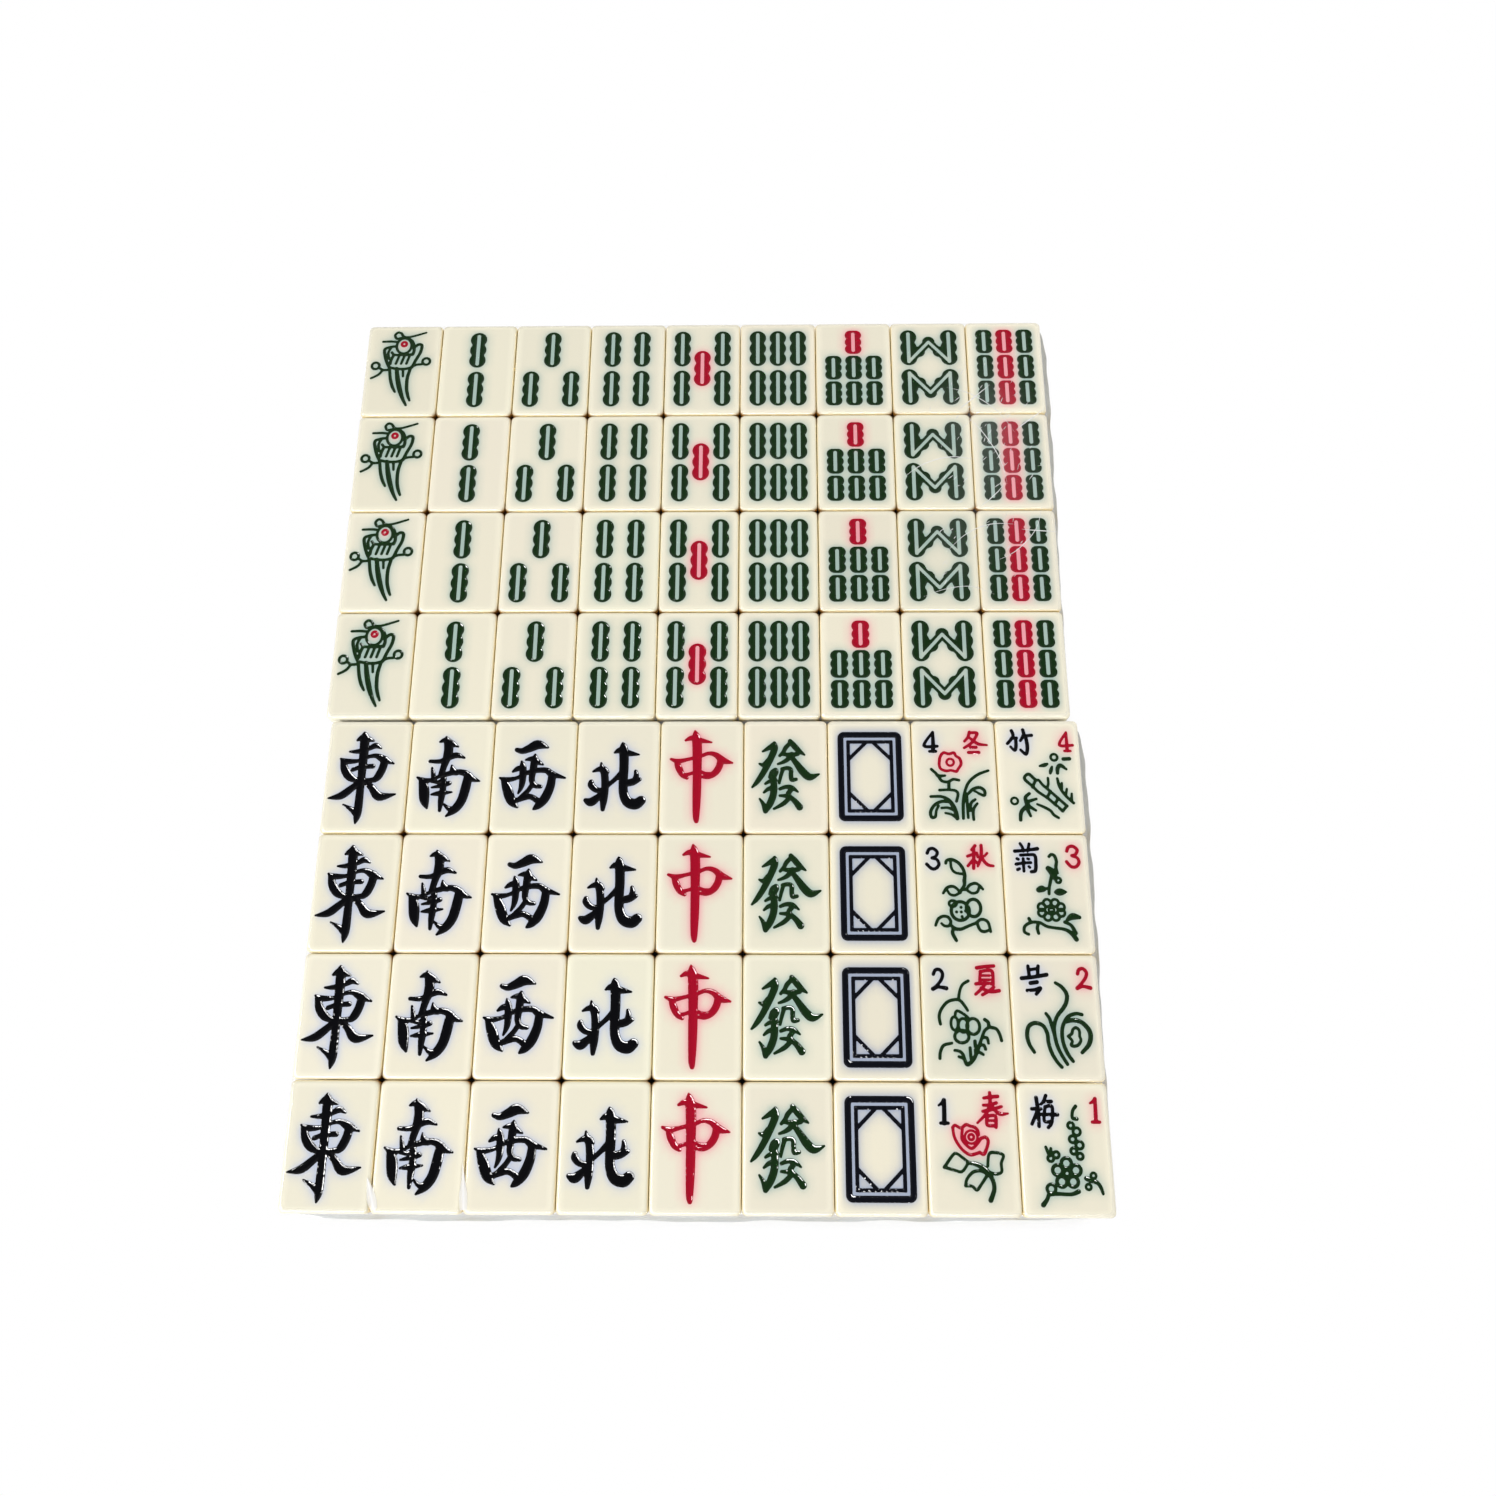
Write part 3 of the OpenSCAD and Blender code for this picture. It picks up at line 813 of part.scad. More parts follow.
// Two uprights joined by two slanting sticks that meet in the middle
module joined_sticks() {
    foot = slot_end - stick_l / 2;
    difference() {
        union() {
            for (x = [-stick_pitch, stick_pitch]) {
                translate([x, 0])
                    stick_body(stick_l);
                band([x, foot], [0, peak_y], slant_w - 2 * stick_waist);
                translate([x / 2, (foot + peak_y) / 2])
                    circle(slant_w / 2, $fn = 48);
            }
            translate([0, peak_y])
                circle(slant_w / 2, $fn = 48);
        }
        union() {
            for (x = [-stick_pitch, stick_pitch]) {
                bare_line([x, foot], [x, -foot]);
                band([x, foot], [0, peak_y], slant_slot_w);
            }
            translate([0, peak_y])
                circle(slot_w / 2, $fn = 32);
        }
    }
}

// Sticks at places given by the distance across and the number of rows above the tile's middle
module long_sticks(places) {
    for (p = places)
        translate([p[0], p[1] * (stick_l + stick_gap)])
            stick(stick_l);
}

module short_sticks(places) {
    for (p = places)
        translate([p[0], p[1] * (short_stick_l + short_gap)])
            stick(short_stick_l);
}

module bamboo_green_mark(n) {
    two_rows = [-1 / 2, 1 / 2];
    if (n == 1)
        drawn(bird_mid_shares, bird_green_shares, bird_green_oval_shares);
    if (n == 2)
        long_sticks([for (y = two_rows) [0, y]]);
    if (n == 3)
        long_sticks([[0, 1 / 2], [-stick_pitch, -1 / 2], [stick_pitch, -1 / 2]]);
    if (n == 4)
        long_sticks([for (x = [-four_spread, four_spread], y = two_rows) [x, y]]);
    if (n == 5)
        long_sticks([for (x = [-stick_pitch, stick_pitch], y = two_rows) [x, y]]);
    if (n == 6)
        long_sticks([for (x = [-stick_pitch, 0, stick_pitch], y = two_rows) [x, y]]);
    if (n == 7)
        short_sticks([for (x = [-stick_pitch, 0, stick_pitch], y = [-1, 0]) [x, y]]);
    if (n == 8)
        for (turn = [0, 1])
            mirror([0, turn])
                translate([0, (stick_l + stick_gap) / 2])
                    joined_sticks();
    if (n == 9)
        short_sticks([for (x = [-stick_pitch, stick_pitch], y = [-1, 0, 1]) [x, y]]);
}

module bamboo_red_mark(n) {
    if (n == 1)
        drawn(bird_mid_shares, [], [], bird_red_ring_shares);
    if (n == 5)
        long_sticks([[0, 0]]);
    if (n == 7)
        short_sticks([[0, 1]]);
    if (n == 9)
        short_sticks([for (y = [-1, 0, 1]) [0, y]]);
}

// White dragon's double frame with a bar across each corner
module frame_mark() {
    inset = band_w + bare_w;
    window_w = frame_w - 2 * (inset + inner_w);
    window_l = frame_l - 2 * (inset + inner_w);
    difference() {
        rounded_plan(frame_w, frame_l, frame_r);
        square([frame_w - 2 * band_w, frame_l - 2 * band_w], center = true);
    }
    difference() {
        square([frame_w - 2 * inset, frame_l - 2 * inset], center = true);
        square([window_w, window_l], center = true);
    }
    for (x = [-1, 1], y = [-1, 1])
        intersection() {
            square([window_w, window_l], center = true);
            band(
                [x * (window_w / 2 - bar_reach - over), y * (window_l / 2 + over)],
                [x * (window_w / 2 + over), y * (window_l / 2 - bar_reach - over)],
                inner_w
            );
        }
}

// Place of a tile in a pack
module at_cell(place, column, row) {
    translate([
        place[0] + (column - (columns - 1) / 2) * pitch_x,
        place[1] + (row - (rows - 1) / 2) * pitch_y,
        0
    ])
        children();
}

// Moulded tile with its mark cut into the face, and the paint that lies in such a mark
module tile() {
    difference() {
        translate([0, 0, film_t])
            rounded_block(tile_w, tile_l, tile_h, corner_r, edge_r);
        translate([0, 0, face_z - engrave_d])
            linear_extrude(engrave_d + over)
                children();
    }
}

module paint() {
    translate([0, 0, face_z - engrave_d])
        linear_extrude(paint_t)
            children();
}

// The four like tiles of a column, and the paint in them
module like_tiles(place, column) {
    color(ivory)
        for (row = [0 : rows - 1])
            at_cell(place, column, row)
                tile()
                    children();
}

module like_paint(place, column, tint) {
    color(tint)
        for (row = [0 : rows - 1])
            at_cell(place, column, row)
                paint()
                    children();
}

module bamboo_tiles(n) {
    like_tiles(rear_place, n - 1)
        union() {
            bamboo_green_mark(n);
            bamboo_red_mark(n);
        }
}

module bamboo_green(n) {
    like_paint(rear_place, n - 1, green)
        bamboo_green_mark(n);
}

module bamboo_red(n) {
    like_paint(rear_place, n - 1, red)
        bamboo_red_mark(n);
}

// Wind and dragon tiles, and their paint
module lettered_tiles(column, mid, strokes) {
    like_tiles(front_place, column)
        drawn(mid, strokes);
}

module lettered_paint(column, tint, mid, strokes) {
    like_paint(front_place, column, tint)
        drawn(mid, strokes);
}

module white_dragon_tiles() {
    like_tiles(front_place, white_dragon_column)
        frame_mark();
}

module white_dragon_paint() {
    like_paint(front_place, white_dragon_column, blue_black)
        frame_mark();
}

// One season or plant tile, and one colour of paint on all four of its kind
module flower_tile(designs, column, row) {
    color(ivory)
        at_cell(front_place, column, row)
            tile()
                for (which = [black_layer, red_layer, green_layer])
                    layer(designs[row], which);
}

module flower_paint(designs, column, which, tint) {
    color(tint)
        for (row = [0 : rows - 1])
            at_cell(front_place, column, row)
                paint()
                    layer(designs[row], which);
}

// Film round a pack: a thin shell that fits the tiles, and the outline of its welded seam, which
// stands out on the right and, by front_w, on the near side
module wrap_shell() {
    difference() {
        rounded_block(wrap_w, wrap_l, wrap_h, corner_r + film_t, edge_r + film_t);
        translate([0, 0, film_t])
            rounded_block(wrap_w - 2 * film_t, wrap_l - 2 * film_t, tile_h, corner_r, edge_r);
    }
}

module seam_plan(front_w) {
    difference() {
        translate([seam_w / 2, -front_w / 2])
            rounded_plan(wrap_w + seam_w, wrap_l + front_w, corner_r);
        rounded_plan(wrap_w - 2 * film_t, wrap_l - 2 * film_t, corner_r);
    }
}

module above_seam() {
    translate([-wrap_w, -wrap_l, seam_h])
        cube([2 * wrap_w, 2 * wrap_l, wrap_h]);
}

module film_upper(place, front_w) {
    color(clear)
        translate([place[0], place[1], 0])
            union() {
                intersection() {
                    wrap_shell();
                    above_seam();
                }
                translate([0, 0, seam_h])
                    linear_extrude(film_t)
                        seam_plan(front_w);
            }
}

module film_lower(place, front_w) {
    color(clear)
        translate([place[0], place[1], 0])
            union() {
                difference() {
                    wrap_shell();
                    above_seam();
                }
                translate([0, 0, seam_h - film_t])
                    linear_extrude(film_t)
                        seam_plan(front_w);
            }
}

bamboo_tiles(1);  // bamboo_1_tiles
bamboo_tiles(2);  // bamboo_2_tiles
bamboo_tiles(3);  // bamboo_3_tiles
bamboo_tiles(4);  // bamboo_4_tiles
bamboo_tiles(5);  // bamboo_5_tiles
bamboo_tiles(6);  // bamboo_6_tiles
bamboo_tiles(7);  // bamboo_7_tiles
bamboo_tiles(8);  // bamboo_8_tiles
bamboo_tiles(9);  // bamboo_9_tiles
bamboo_green(1);  // bamboo_1_green
bamboo_green(2);  // bamboo_2_green
bamboo_green(3);  // bamboo_3_green
bamboo_green(4);  // bamboo_4_green
bamboo_green(5);  // bamboo_5_green
bamboo_green(6);  // bamboo_6_green
bamboo_green(7);  // bamboo_7_green
bamboo_green(8);  // bamboo_8_green
bamboo_green(9);  // bamboo_9_green
bamboo_red(1);  // bamboo_1_red
bamboo_red(5);  // bamboo_5_red
bamboo_red(7);  // bamboo_7_red
bamboo_red(9);  // bamboo_9_red
lettered_tiles(east_column, east_mid_shares, east_shares);  // east_tiles
lettered_tiles(south_column, south_mid_shares, south_shares);  // south_tiles
lettered_tiles(west_column, west_mid_shares, west_shares);  // west_tiles
lettered_tiles(north_column, north_mid_shares, north_shares);  // north_tiles
lettered_paint(east_column, black, east_mid_shares, east_shares);  // east_black
lettered_paint(south_column, black, south_mid_shares, south_shares);  // south_black
lettered_paint(west_column, black, west_mid_shares, west_shares);  // west_black
lettered_paint(north_column, black, north_mid_shares, north_shares);  // north_black
lettered_tiles(red_dragon_column, red_dragon_mid_shares, red_dragon_shares);  // red_dragon_tiles
lettered_tiles(green_dragon_column, green_dragon_mid_shares, green_dragon_shares);  // green_dragon_tiles
white_dragon_tiles();
lettered_paint(red_dragon_column, red, red_dragon_mid_shares, red_dragon_shares);  // red_dragon_red
lettered_paint(green_dragon_column, green, green_dragon_mid_shares, green_dragon_shares);  // green_dragon_green
white_dragon_paint();  // white_dragon_blue_black
flower_tile(seasons, season_column, 0);  // spring_tile
flower_tile(seasons, season_column, 1);  // summer_tile
flower_tile(seasons, season_column, 2);  // autumn_tile
flower_tile(seasons, season_column, 3);  // winter_tile
flower_paint(seasons, season_column, black_layer, black);  // season_black
flower_paint(seasons, season_column, red_layer, red);  // season_red
flower_paint(seasons, season_column, green_layer, green);  // season_green
flower_tile(plants, plant_column, 0);  // plum_tile
flower_tile(plants, plant_column, 1);  // orchid_tile
flower_tile(plants, plant_column, 2);  // chrysanthemum_tile
flower_tile(plants, plant_column, 3);  // bamboo_plant_tile
flower_paint(plants, plant_column, black_layer, black);  // plant_black
flower_paint(plants, plant_column, red_layer, red);  // plant_red
flower_paint(plants, plant_column, green_layer, green);  // plant_green
film_upper(rear_place, 0);  // rear_film_upper
film_lower(rear_place, 0);  // rear_film_lower
film_upper(front_place, seam_w);  // front_film_upper
film_lower(front_place, seam_w);  // front_film_lower
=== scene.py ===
"""Looks of two packs of mahjong tiles in clear shrink film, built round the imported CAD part.

Each tile's face is cut open along its engraved marks, whose outlines come from a distance field
on a grid. The paint fills each mark as a glossy, hollow surface. Lengths are in millimetres until
a mesh is made, and a mark is drawn from the middle of its tile: x to the right, y away.
"""

import logging
import math
from dataclasses import dataclass, field
from enum import Enum
from functools import cached_property
from typing import Iterator, Sequence

import bpy
import numpy as np
from mathutils import Matrix, Vector
from mathutils.geometry import delaunay_2d_cdt


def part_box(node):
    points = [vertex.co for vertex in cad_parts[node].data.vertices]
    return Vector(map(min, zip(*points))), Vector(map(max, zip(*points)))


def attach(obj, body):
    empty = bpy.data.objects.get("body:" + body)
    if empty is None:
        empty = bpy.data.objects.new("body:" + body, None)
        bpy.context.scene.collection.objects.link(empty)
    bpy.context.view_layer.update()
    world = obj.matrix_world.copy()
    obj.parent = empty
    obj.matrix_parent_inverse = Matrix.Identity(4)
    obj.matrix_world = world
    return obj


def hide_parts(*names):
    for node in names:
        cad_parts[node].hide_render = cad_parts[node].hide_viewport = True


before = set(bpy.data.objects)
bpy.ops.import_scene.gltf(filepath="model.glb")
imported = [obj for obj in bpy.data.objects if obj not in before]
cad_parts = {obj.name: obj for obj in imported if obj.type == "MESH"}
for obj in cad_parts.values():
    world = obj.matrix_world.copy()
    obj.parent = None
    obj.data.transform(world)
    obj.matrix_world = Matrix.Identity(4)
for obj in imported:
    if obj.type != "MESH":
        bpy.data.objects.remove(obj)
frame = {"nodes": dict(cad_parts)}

log = logging.getLogger("mahjong_packs")
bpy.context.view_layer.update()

MM = 0.001
TENTHS = 10
FRONT_BODY = "front_pack"
REAR_BODY = "rear_pack"
TILE_SEED = 72
FILM_SEED = 73

Point = Sequence[float]
Rows = Sequence[Sequence[float]]
Sides = tuple[bool, bool, bool, bool]


class Paint(Enum):
    """Paints in the marks, by the name of their slot in the record."""

    BLACK = "black_paint"
    BLUE_BLACK = "blue_black_paint"
    GREEN = "green_paint"
    RED = "red_paint"


def linear(hex_colour: str) -> tuple[float, float, float]:
    """Turns an sRGB hex colour into linear red, green and blue.

    Args:
        hex_colour: six hex digits, with or without a leading hash.

    Returns:
        The three linear values, from 0 to 1.
    """
    digits = hex_colour.lstrip("#")
    srgb = [int(digits[i : i + 2], 16) / 255 for i in (0, 2, 4)]
    return tuple(v / 12.92 if v <= 0.04045 else ((v + 0.055) / 1.055) ** 2.4 for v in srgb)


def rgba(hex_colour: str, alpha: float = 1.0) -> np.ndarray:
    """Linear colour with alpha as an array."""
    return np.array([*linear(hex_colour), alpha])


@dataclass(frozen=True)
class TileSize:
    """Sizes of one moulded tile and of the marks cut into it, in millimetres.

    The paint starts paint_edge below the face and sinks by paint_hollow over wall_run. Its
    underside is at paint_floor, just above the pocket's floor.
    """

    width: float = 28.0
    length: float = 39.0
    height: float = 20.0
    edge: float = 1.3
    corner: float = 1.6
    face_corner: float = 2.4
    floor: float = 0.49
    paint_edge: float = 0.02
    paint_hollow: float = 0.3
    paint_floor: float = 0.46
    wall_run: float = 0.75

    def corner_at(self, inset: float) -> float:
        """Radius of the tile's corners seen from above, where its outline is this far inside."""
        return self.corner + (self.face_corner - self.corner) * inset / self.edge


TILE = TileSize()


@dataclass(frozen=True)
class Spread:
    """How far each kind of mark's paint runs past its drawn strokes on each side, in millimetres.

    A thin dark line on ivory looks thinner in a render than in a photo, which this makes up for.
    """

    lettered: float = 0.2
    flowers: float = 0.13
    bird: float = 0.14
    sticks: float = 0.1
    frame: float = 0.12


SPREAD = Spread()


@dataclass(frozen=True)
class Layer:
    """One colour of paint in a mark, drawn in tenths of a millimetre.

    A stroke is a row of numbers: x, y and the stroke's width at each of its points in turn. A ring
    has its middle's x and y, its two radii and its line. A crown of petals has its middle's x and
    y, the two radii to the petals' middles, a petal's radius and line, the number of petals, and
    the half steps by which the first one is turned.
    """

    strokes: Rows
    rings: Rows = ()
    crowns: Rows = ()

    @property
    def lines(self) -> list[np.ndarray]:
        """Strokes in millimetres."""
        return [np.array(stroke) / TENTHS for stroke in self.strokes]

    @property
    def ellipses(self) -> list[np.ndarray]:
        """Rings and petals in millimetres.

        A petal's middle goes round its crown's by the sine and the cosine of its angle.

        Returns:
            Middle's x and y, two radii and line of each.
        """
        found = [np.array(ring) / TENTHS for ring in self.rings]
        for *crown, count, half_steps in self.crowns:
            x, y, rx, ry, r, line = np.array(crown) / TENTHS
            angles = [2 * math.pi * (k + half_steps / 2) / count for k in range(count)]
            middles = [(x + rx * math.sin(a), y + ry * math.cos(a)) for a in angles]
            found += [np.array([*middle, r, r, line]) for middle in middles]
        return found


@dataclass(frozen=True)
class Mark:
    """A brushed mark: the point of its drawing that lies on the tile's middle, and its paints."""

    middle: tuple[int, int]
    layers: dict[Paint, Layer]


# The game's traditional marks: strokes, rings and crowns, by paint
EAST = Mark((-10, 0), {
    Paint.BLACK: Layer([
        (-52, 126, 5, -34, 136, 19, -16, 130, 17, 4, 124, 4),
        (-30, 154, 3, -28, 134, 26, -26, 90, 28, -26, 30, 25, -26, -40, 23, -27, -125, 24,
         -32, -161, 4),
        (-74, 86, 4, -45, 87, 13, -10, 97, 13, 12, 107, 17, 31, 98, 4),
        (-102, 61, 4, -82, 52, 16, -40, 54, 10, -8, 68, 10, 18, 71, 14, 44, 58, 22, 79, 44, 3),
        (-93, 52, 16, -84, 22, 25, -66, -2, 25, -40, -14, 14, -5, -14, 12, 20, -12, 16),
        (48, 56, 24, 42, 26, 24, 29, -2, 23, 16, -14, 12), (-57, 23, 12, -30, 32, 12, 9, 35, 14),
        (-30, -19, 15, -60, -46, 22, -90, -68, 22, -130, -76, 3),
        (-12, -16, 14, 12, -40, 20, 40, -70, 27, 93, -62, 3),
        (-78, -98, 3, -52, -112, 12, -34, -126, 20),
    ]),
})
SOUTH = Mark((-6, 0), {
    Paint.BLACK: Layer([
        (-48, 120, 4, -30, 126, 16, -8, 114, 19, 15, 103, 3),
        (-28, 138, 3, -22, 120, 22, -17, 96, 28, -19, 70, 27, -27, 40, 20, -36, 4, 17),
        (-76, 52, 9, -42, 52, 13, -10, 66, 16, 12, 73, 17, 39, 64, 4),
        (-68, 29, 4, -63, 10, 12, -60, -10, 13), (-2, 38, 3, 4, 18, 20, 16, 12, 16),
        (-115, -4, 4, -90, -16, 17, -66, -12, 10, -35, 2, 10, -10, 9, 15, 16, 15, 15, 45, 10, 19,
         69, -8, 18, 95, -17, 3),
        (-100, -14, 16, -90, -40, 31, -85, -80, 29, -75, -109, 6),
        (56, 0, 26, 50, -40, 29, 39, -84, 28, 19, -114, 24, -8, -137, 4),
        (-19, -96, 4, 0, -112, 14, 18, -112, 18), (-64, -18, 9, -42, -20, 10, -26, -8, 10),
        (-64, -39, 4, -30, -32, 13, -6, -24, 13), (-63, -63, 4, -34, -59, 15, 5, -55, 3),
        (-24, -8, 13, -26, -50, 19, -29, -80, 18, -31, -118, 8),
    ]),
})
WEST = Mark((0, 0), {
    Paint.BLACK: Layer([
        (-61, 92, 12, -42, 88, 18, -15, 99, 26, 10, 110, 29, 44, 100, 4),
        (-29, 57, 4, -8, 60, 16, 10, 50, 17, 30, 40, 3),
        (2, 76, 3, 1, 56, 22, -3, 20, 20, -5, -14, 17, 6, -32, 15, 26, -36, 10),
        (-2, -28, 13, -16, -50, 13, -36, -70, 12), (-70, 16, 5, -54, 26, 15, -34, 30, 12),
        (-43, 52, 3, -37, 30, 20, -36, -15, 19, -40, -40, 13, -48, -59, 4),
        (-113, -6, 4, -88, -12, 14, -55, -6, 10, -26, 10, 12, 10, 20, 15, 42, 20, 17, 62, 7, 19,
         106, -6, 4),
        (-100, -12, 15, -85, -46, 30, -70, -84, 28, -49, -106, 6),
        (63, 4, 23, 58, -36, 26, 42, -76, 28, 22, -100, 22, 6, -113, 5),
        (-56, -85, 14, -30, -74, 18, -5, -71, 16, 20, -86, 18),
    ]),
})
NORTH = Mark((3, 0), {
    Paint.BLACK: Layer([
        (-9, 82, 4, 10, 90, 19, 34, 81, 20, 73, 75, 3),
        (17, 116, 3, 21, 94, 26, 24, 40, 28, 23, -20, 27, 26, -60, 28, 40, -88, 32, 66, -96, 34,
         84, -84, 29),
        (28, -26, 18, 54, -20, 22, 78, -11, 10), (64, 17, 9, 66, 2, 15, 62, -16, 18),
        (-79, 16, 4, -60, 24, 14, -42, 25, 15, -32, 14, 12),
        (-53, 46, 3, -49, 26, 16, -40, 4, 22, -37, -40, 22, -40, -80, 22, -42, -114, 11),
        (-84, -20, 14, -83, -32, 20, -66, -47, 17, -38, -50, 12),
        (-100, -83, 12, -82, -89, 26, -60, -73, 20, -40, -56, 14),
        (-32, -34, 14, -10, -16, 12, 18, 12, 18),
    ]),
})
RED_DRAGON = Mark((3, 0), {
    Paint.RED: Layer([
        (-52, 125, 5, -32, 133, 15, -8, 126, 17, 35, 118, 3),
        (-21, 158, 3, -17, 136, 24, -13, 100, 29, -12, 20, 26, -12, -60, 25, -13, -134, 19,
         -12, -154, 11),
        (-100, 59, 6, -76, 52, 13, -45, 58, 9, -5, 68, 9, 25, 79, 10, 50, 74, 15, 74, 55, 20,
         106, 46, 3),
        (-82, 52, 12, -74, 30, 20, -62, 6, 16, -46, -6, 9), (-58, 4, 9, -36, 8, 8, -12, 17, 9),
        (66, 56, 19, 62, 34, 20, 48, 12, 19, 26, -2, 13, 0, -2, 5),
        (-6, 18, 8, 16, 9, 9, 38, 7, 12),
    ]),
})
GREEN_DRAGON = Mark((8, 0), {
    Paint.GREEN: Layer([
        (-69, 86, 4, -50, 97, 12, -31, 110, 15),
        (-30, 116, 8, -29, 96, 19, -43, 60, 19, -66, 14, 17, -88, -20, 13, -104, -38, 4),
        (-80, 43, 4, -66, 39, 12, -52, 54, 13), (23, 122, 12, 36, 106, 17, 52, 88, 15, 71, 74, 3),
        (22, 114, 11, 8, 99, 12, 0, 84, 10, -12, 71, 7), (0, 76, 9, 26, 74, 13, 48, 77, 11),
        (28, 76, 14, 14, 58, 13, -2, 48, 9, -18, 42, 5),
        (26, 68, 12, 44, 44, 17, 66, 14, 23, 88, -3, 21, 119, 7, 3),
        (-46, -4, 7, -39, 13, 11, -26, 22, 11, -23, 12, 10, -34, -4, 14),
        (-60, -26, 6, -46, -18, 10, -26, -14, 10), (-65, -56, 5, -50, -44, 11, -34, -40, 13),
        (-32, -6, 14, -32, -34, 20, -34, -64, 20, -45, -94, 20, -60, -120, 13),
        (-79, -78, 4, -68, -94, 10, -60, -114, 16), (-14, -24, 6, -9, 0, 9, -2, 23, 10),
        (-4, 25, 10, 14, 28, 11, 25, 22, 12, 25, 4, 12, 28, -12, 12, 42, -11, 9),
        (-12, -44, 8, 8, -37, 11, 28, -40, 13, 48, -54, 3),
        (28, -44, 12, 16, -60, 14, 20, -72, 14), (-12, -67, 6, 6, -68, 10, 20, -72, 12),
        (22, -72, 12, 0, -94, 12, -32, -112, 5), (20, -70, 12, 38, -86, 15, 53, -106, 20),
    ]),
})
BIRD = Mark((-10, 19), {
    Paint.RED: Layer([
    ], [
        (-10, 132, 9, 9, 8),
    ]),
    Paint.GREEN: Layer([
        (-24, 159, 8, -40, 156, 8, -48, 171, 8, -38, 183, 8, -25, 179, 8, -14, 164, 9, 6, 163, 7,
         30, 169, 7, 69, 182, 6),
        (-91, 143, 7, -60, 144, 8, -38, 142, 8),
        (-4, 160, 8, 18, 146, 9, 27, 124, 10, 29, 100, 10, 24, 86, 10),
        (30, 118, 9, 44, 130, 10, 57, 125, 10, 54, 96, 10, 39, 62, 10, 28, 32, 10),
        (-38, 123, 9, -64, 119, 9, -82, 108, 10, -77, 76, 10, -67, 48, 10, -58, 31, 9),
        (-58, 118, 8, -67, 96, 8, -62, 68, 7),
        (-54, 96, 8, -44, 86, 8, -20, 85, 9, 4, 85, 9, 26, 88, 9),
        (-46, 84, 9, -54, 64, 10, -56, 46, 9), (-25, 80, 8, -35, 47, 8), (-5, 80, 8, -15, 47, 8),
        (14, 80, 8, 5, 47, 8), (-58, 31, 9, -30, 25, 9, 0, 24, 9, 24, 30, 9),
        (26, 34, 8, 44, 42, 8, 64, 44, 8), (-97, 30, 8, -80, 20, 8, -60, 21, 8),
        (-83, 18, 8, -96, 0, 8, -122, -15, 7),
        (-56, 24, 9, -50, -16, 10, -40, -50, 10, -28, -74, 7),
        (-30, 26, 12, -22, -20, 16, -10, -66, 16, 4, -104, 11, 18, -131, 7),
        (22, 26, 10, 14, -14, 11, 15, -60, 11, 22, -90, 10, 30, -111, 7), (-6, 24, 8, -3, -8, 7),
    ], [
        (-10, 124, 28, 33, 8), (79, 56, 14, 14, 8), (-110, 38, 14, 14, 8),
    ]),
})
SPRING = Mark((10, 0), {
    Paint.BLACK: Layer([
        (-89, 127, 5, -79, 134, 8, -73, 143, 9), (-72, 142, 11, -73, 100, 12, -74, 75, 12),
        (-85, 75, 8, -62, 75, 8),
    ]),
    Paint.RED: Layer([
        (50, 149, 7, 70, 152, 9, 93, 154, 9), (48, 128, 7, 68, 129, 8, 88, 135, 8),
        (45, 110, 7, 70, 115, 9, 103, 124, 7), (69, 165, 8, 68, 130, 9, 54, 102, 8, 27, 76, 5),
        (76, 122, 8, 88, 108, 9, 102, 102, 10, 122, 104, 4), (57, 94, 8, 57, 70, 8, 83, 68, 8),
        (57, 95, 8, 72, 98, 8, 84, 94, 8, 83, 64, 9), (59, 83, 6, 82, 83, 6),
        (-49, 62, 7, -42, 69, 7, -28, 62, 7, -20, 60, 7, -22, 44, 7, -22, 28, 7, -10, 12, 7,
         6, 2, 7, 22, 14, 7, 36, 32, 7),
        (-49, 63, 7, -46, 38, 7, -36, 16, 7, -20, -4, 7, 0, -16, 8, 18, -13, 8, 30, -9, 7),
        (-20, 62, 7, -8, 71, 8, 4, 67, 7, 18, 63, 8, 27, 54, 7, 29, 42, 7),
        (34, 30, 7, 49, 35, 8, 57, 24, 8, 52, 4, 8, 42, -14, 9, 30, -9, 7),
    ], [
        (6, 35, 8, 8, 6), (6, 35, 19, 19, 5),
    ]),
    Paint.GREEN: Layer([
        (-79, -52, 8, -52, -17, 7, -38, -14, 7, -6, -38, 7),
        (-79, -52, 8, -50, -60, 7, -26, -64, 7, -6, -38, 7),
        (52, -48, 7, 56, -18, 7, 68, -9, 8, 100, -16, 7, 93, -40, 7, 93, -64, 7, 76, -71, 7,
         58, -66, 7),
        (-17, -104, 8, -13, -86, 7, 6, -66, 8, 30, -62, 8, 48, -70, 8),
        (-17, -104, 8, 2, -106, 7, 16, -116, 8, 30, -100, 7, 48, -76, 8),
        (-8, -39, 8, 20, -44, 12, 46, -60, 14, 64, -86, 11, 68, -114, 11, 56, -145, 13),
    ]),
})
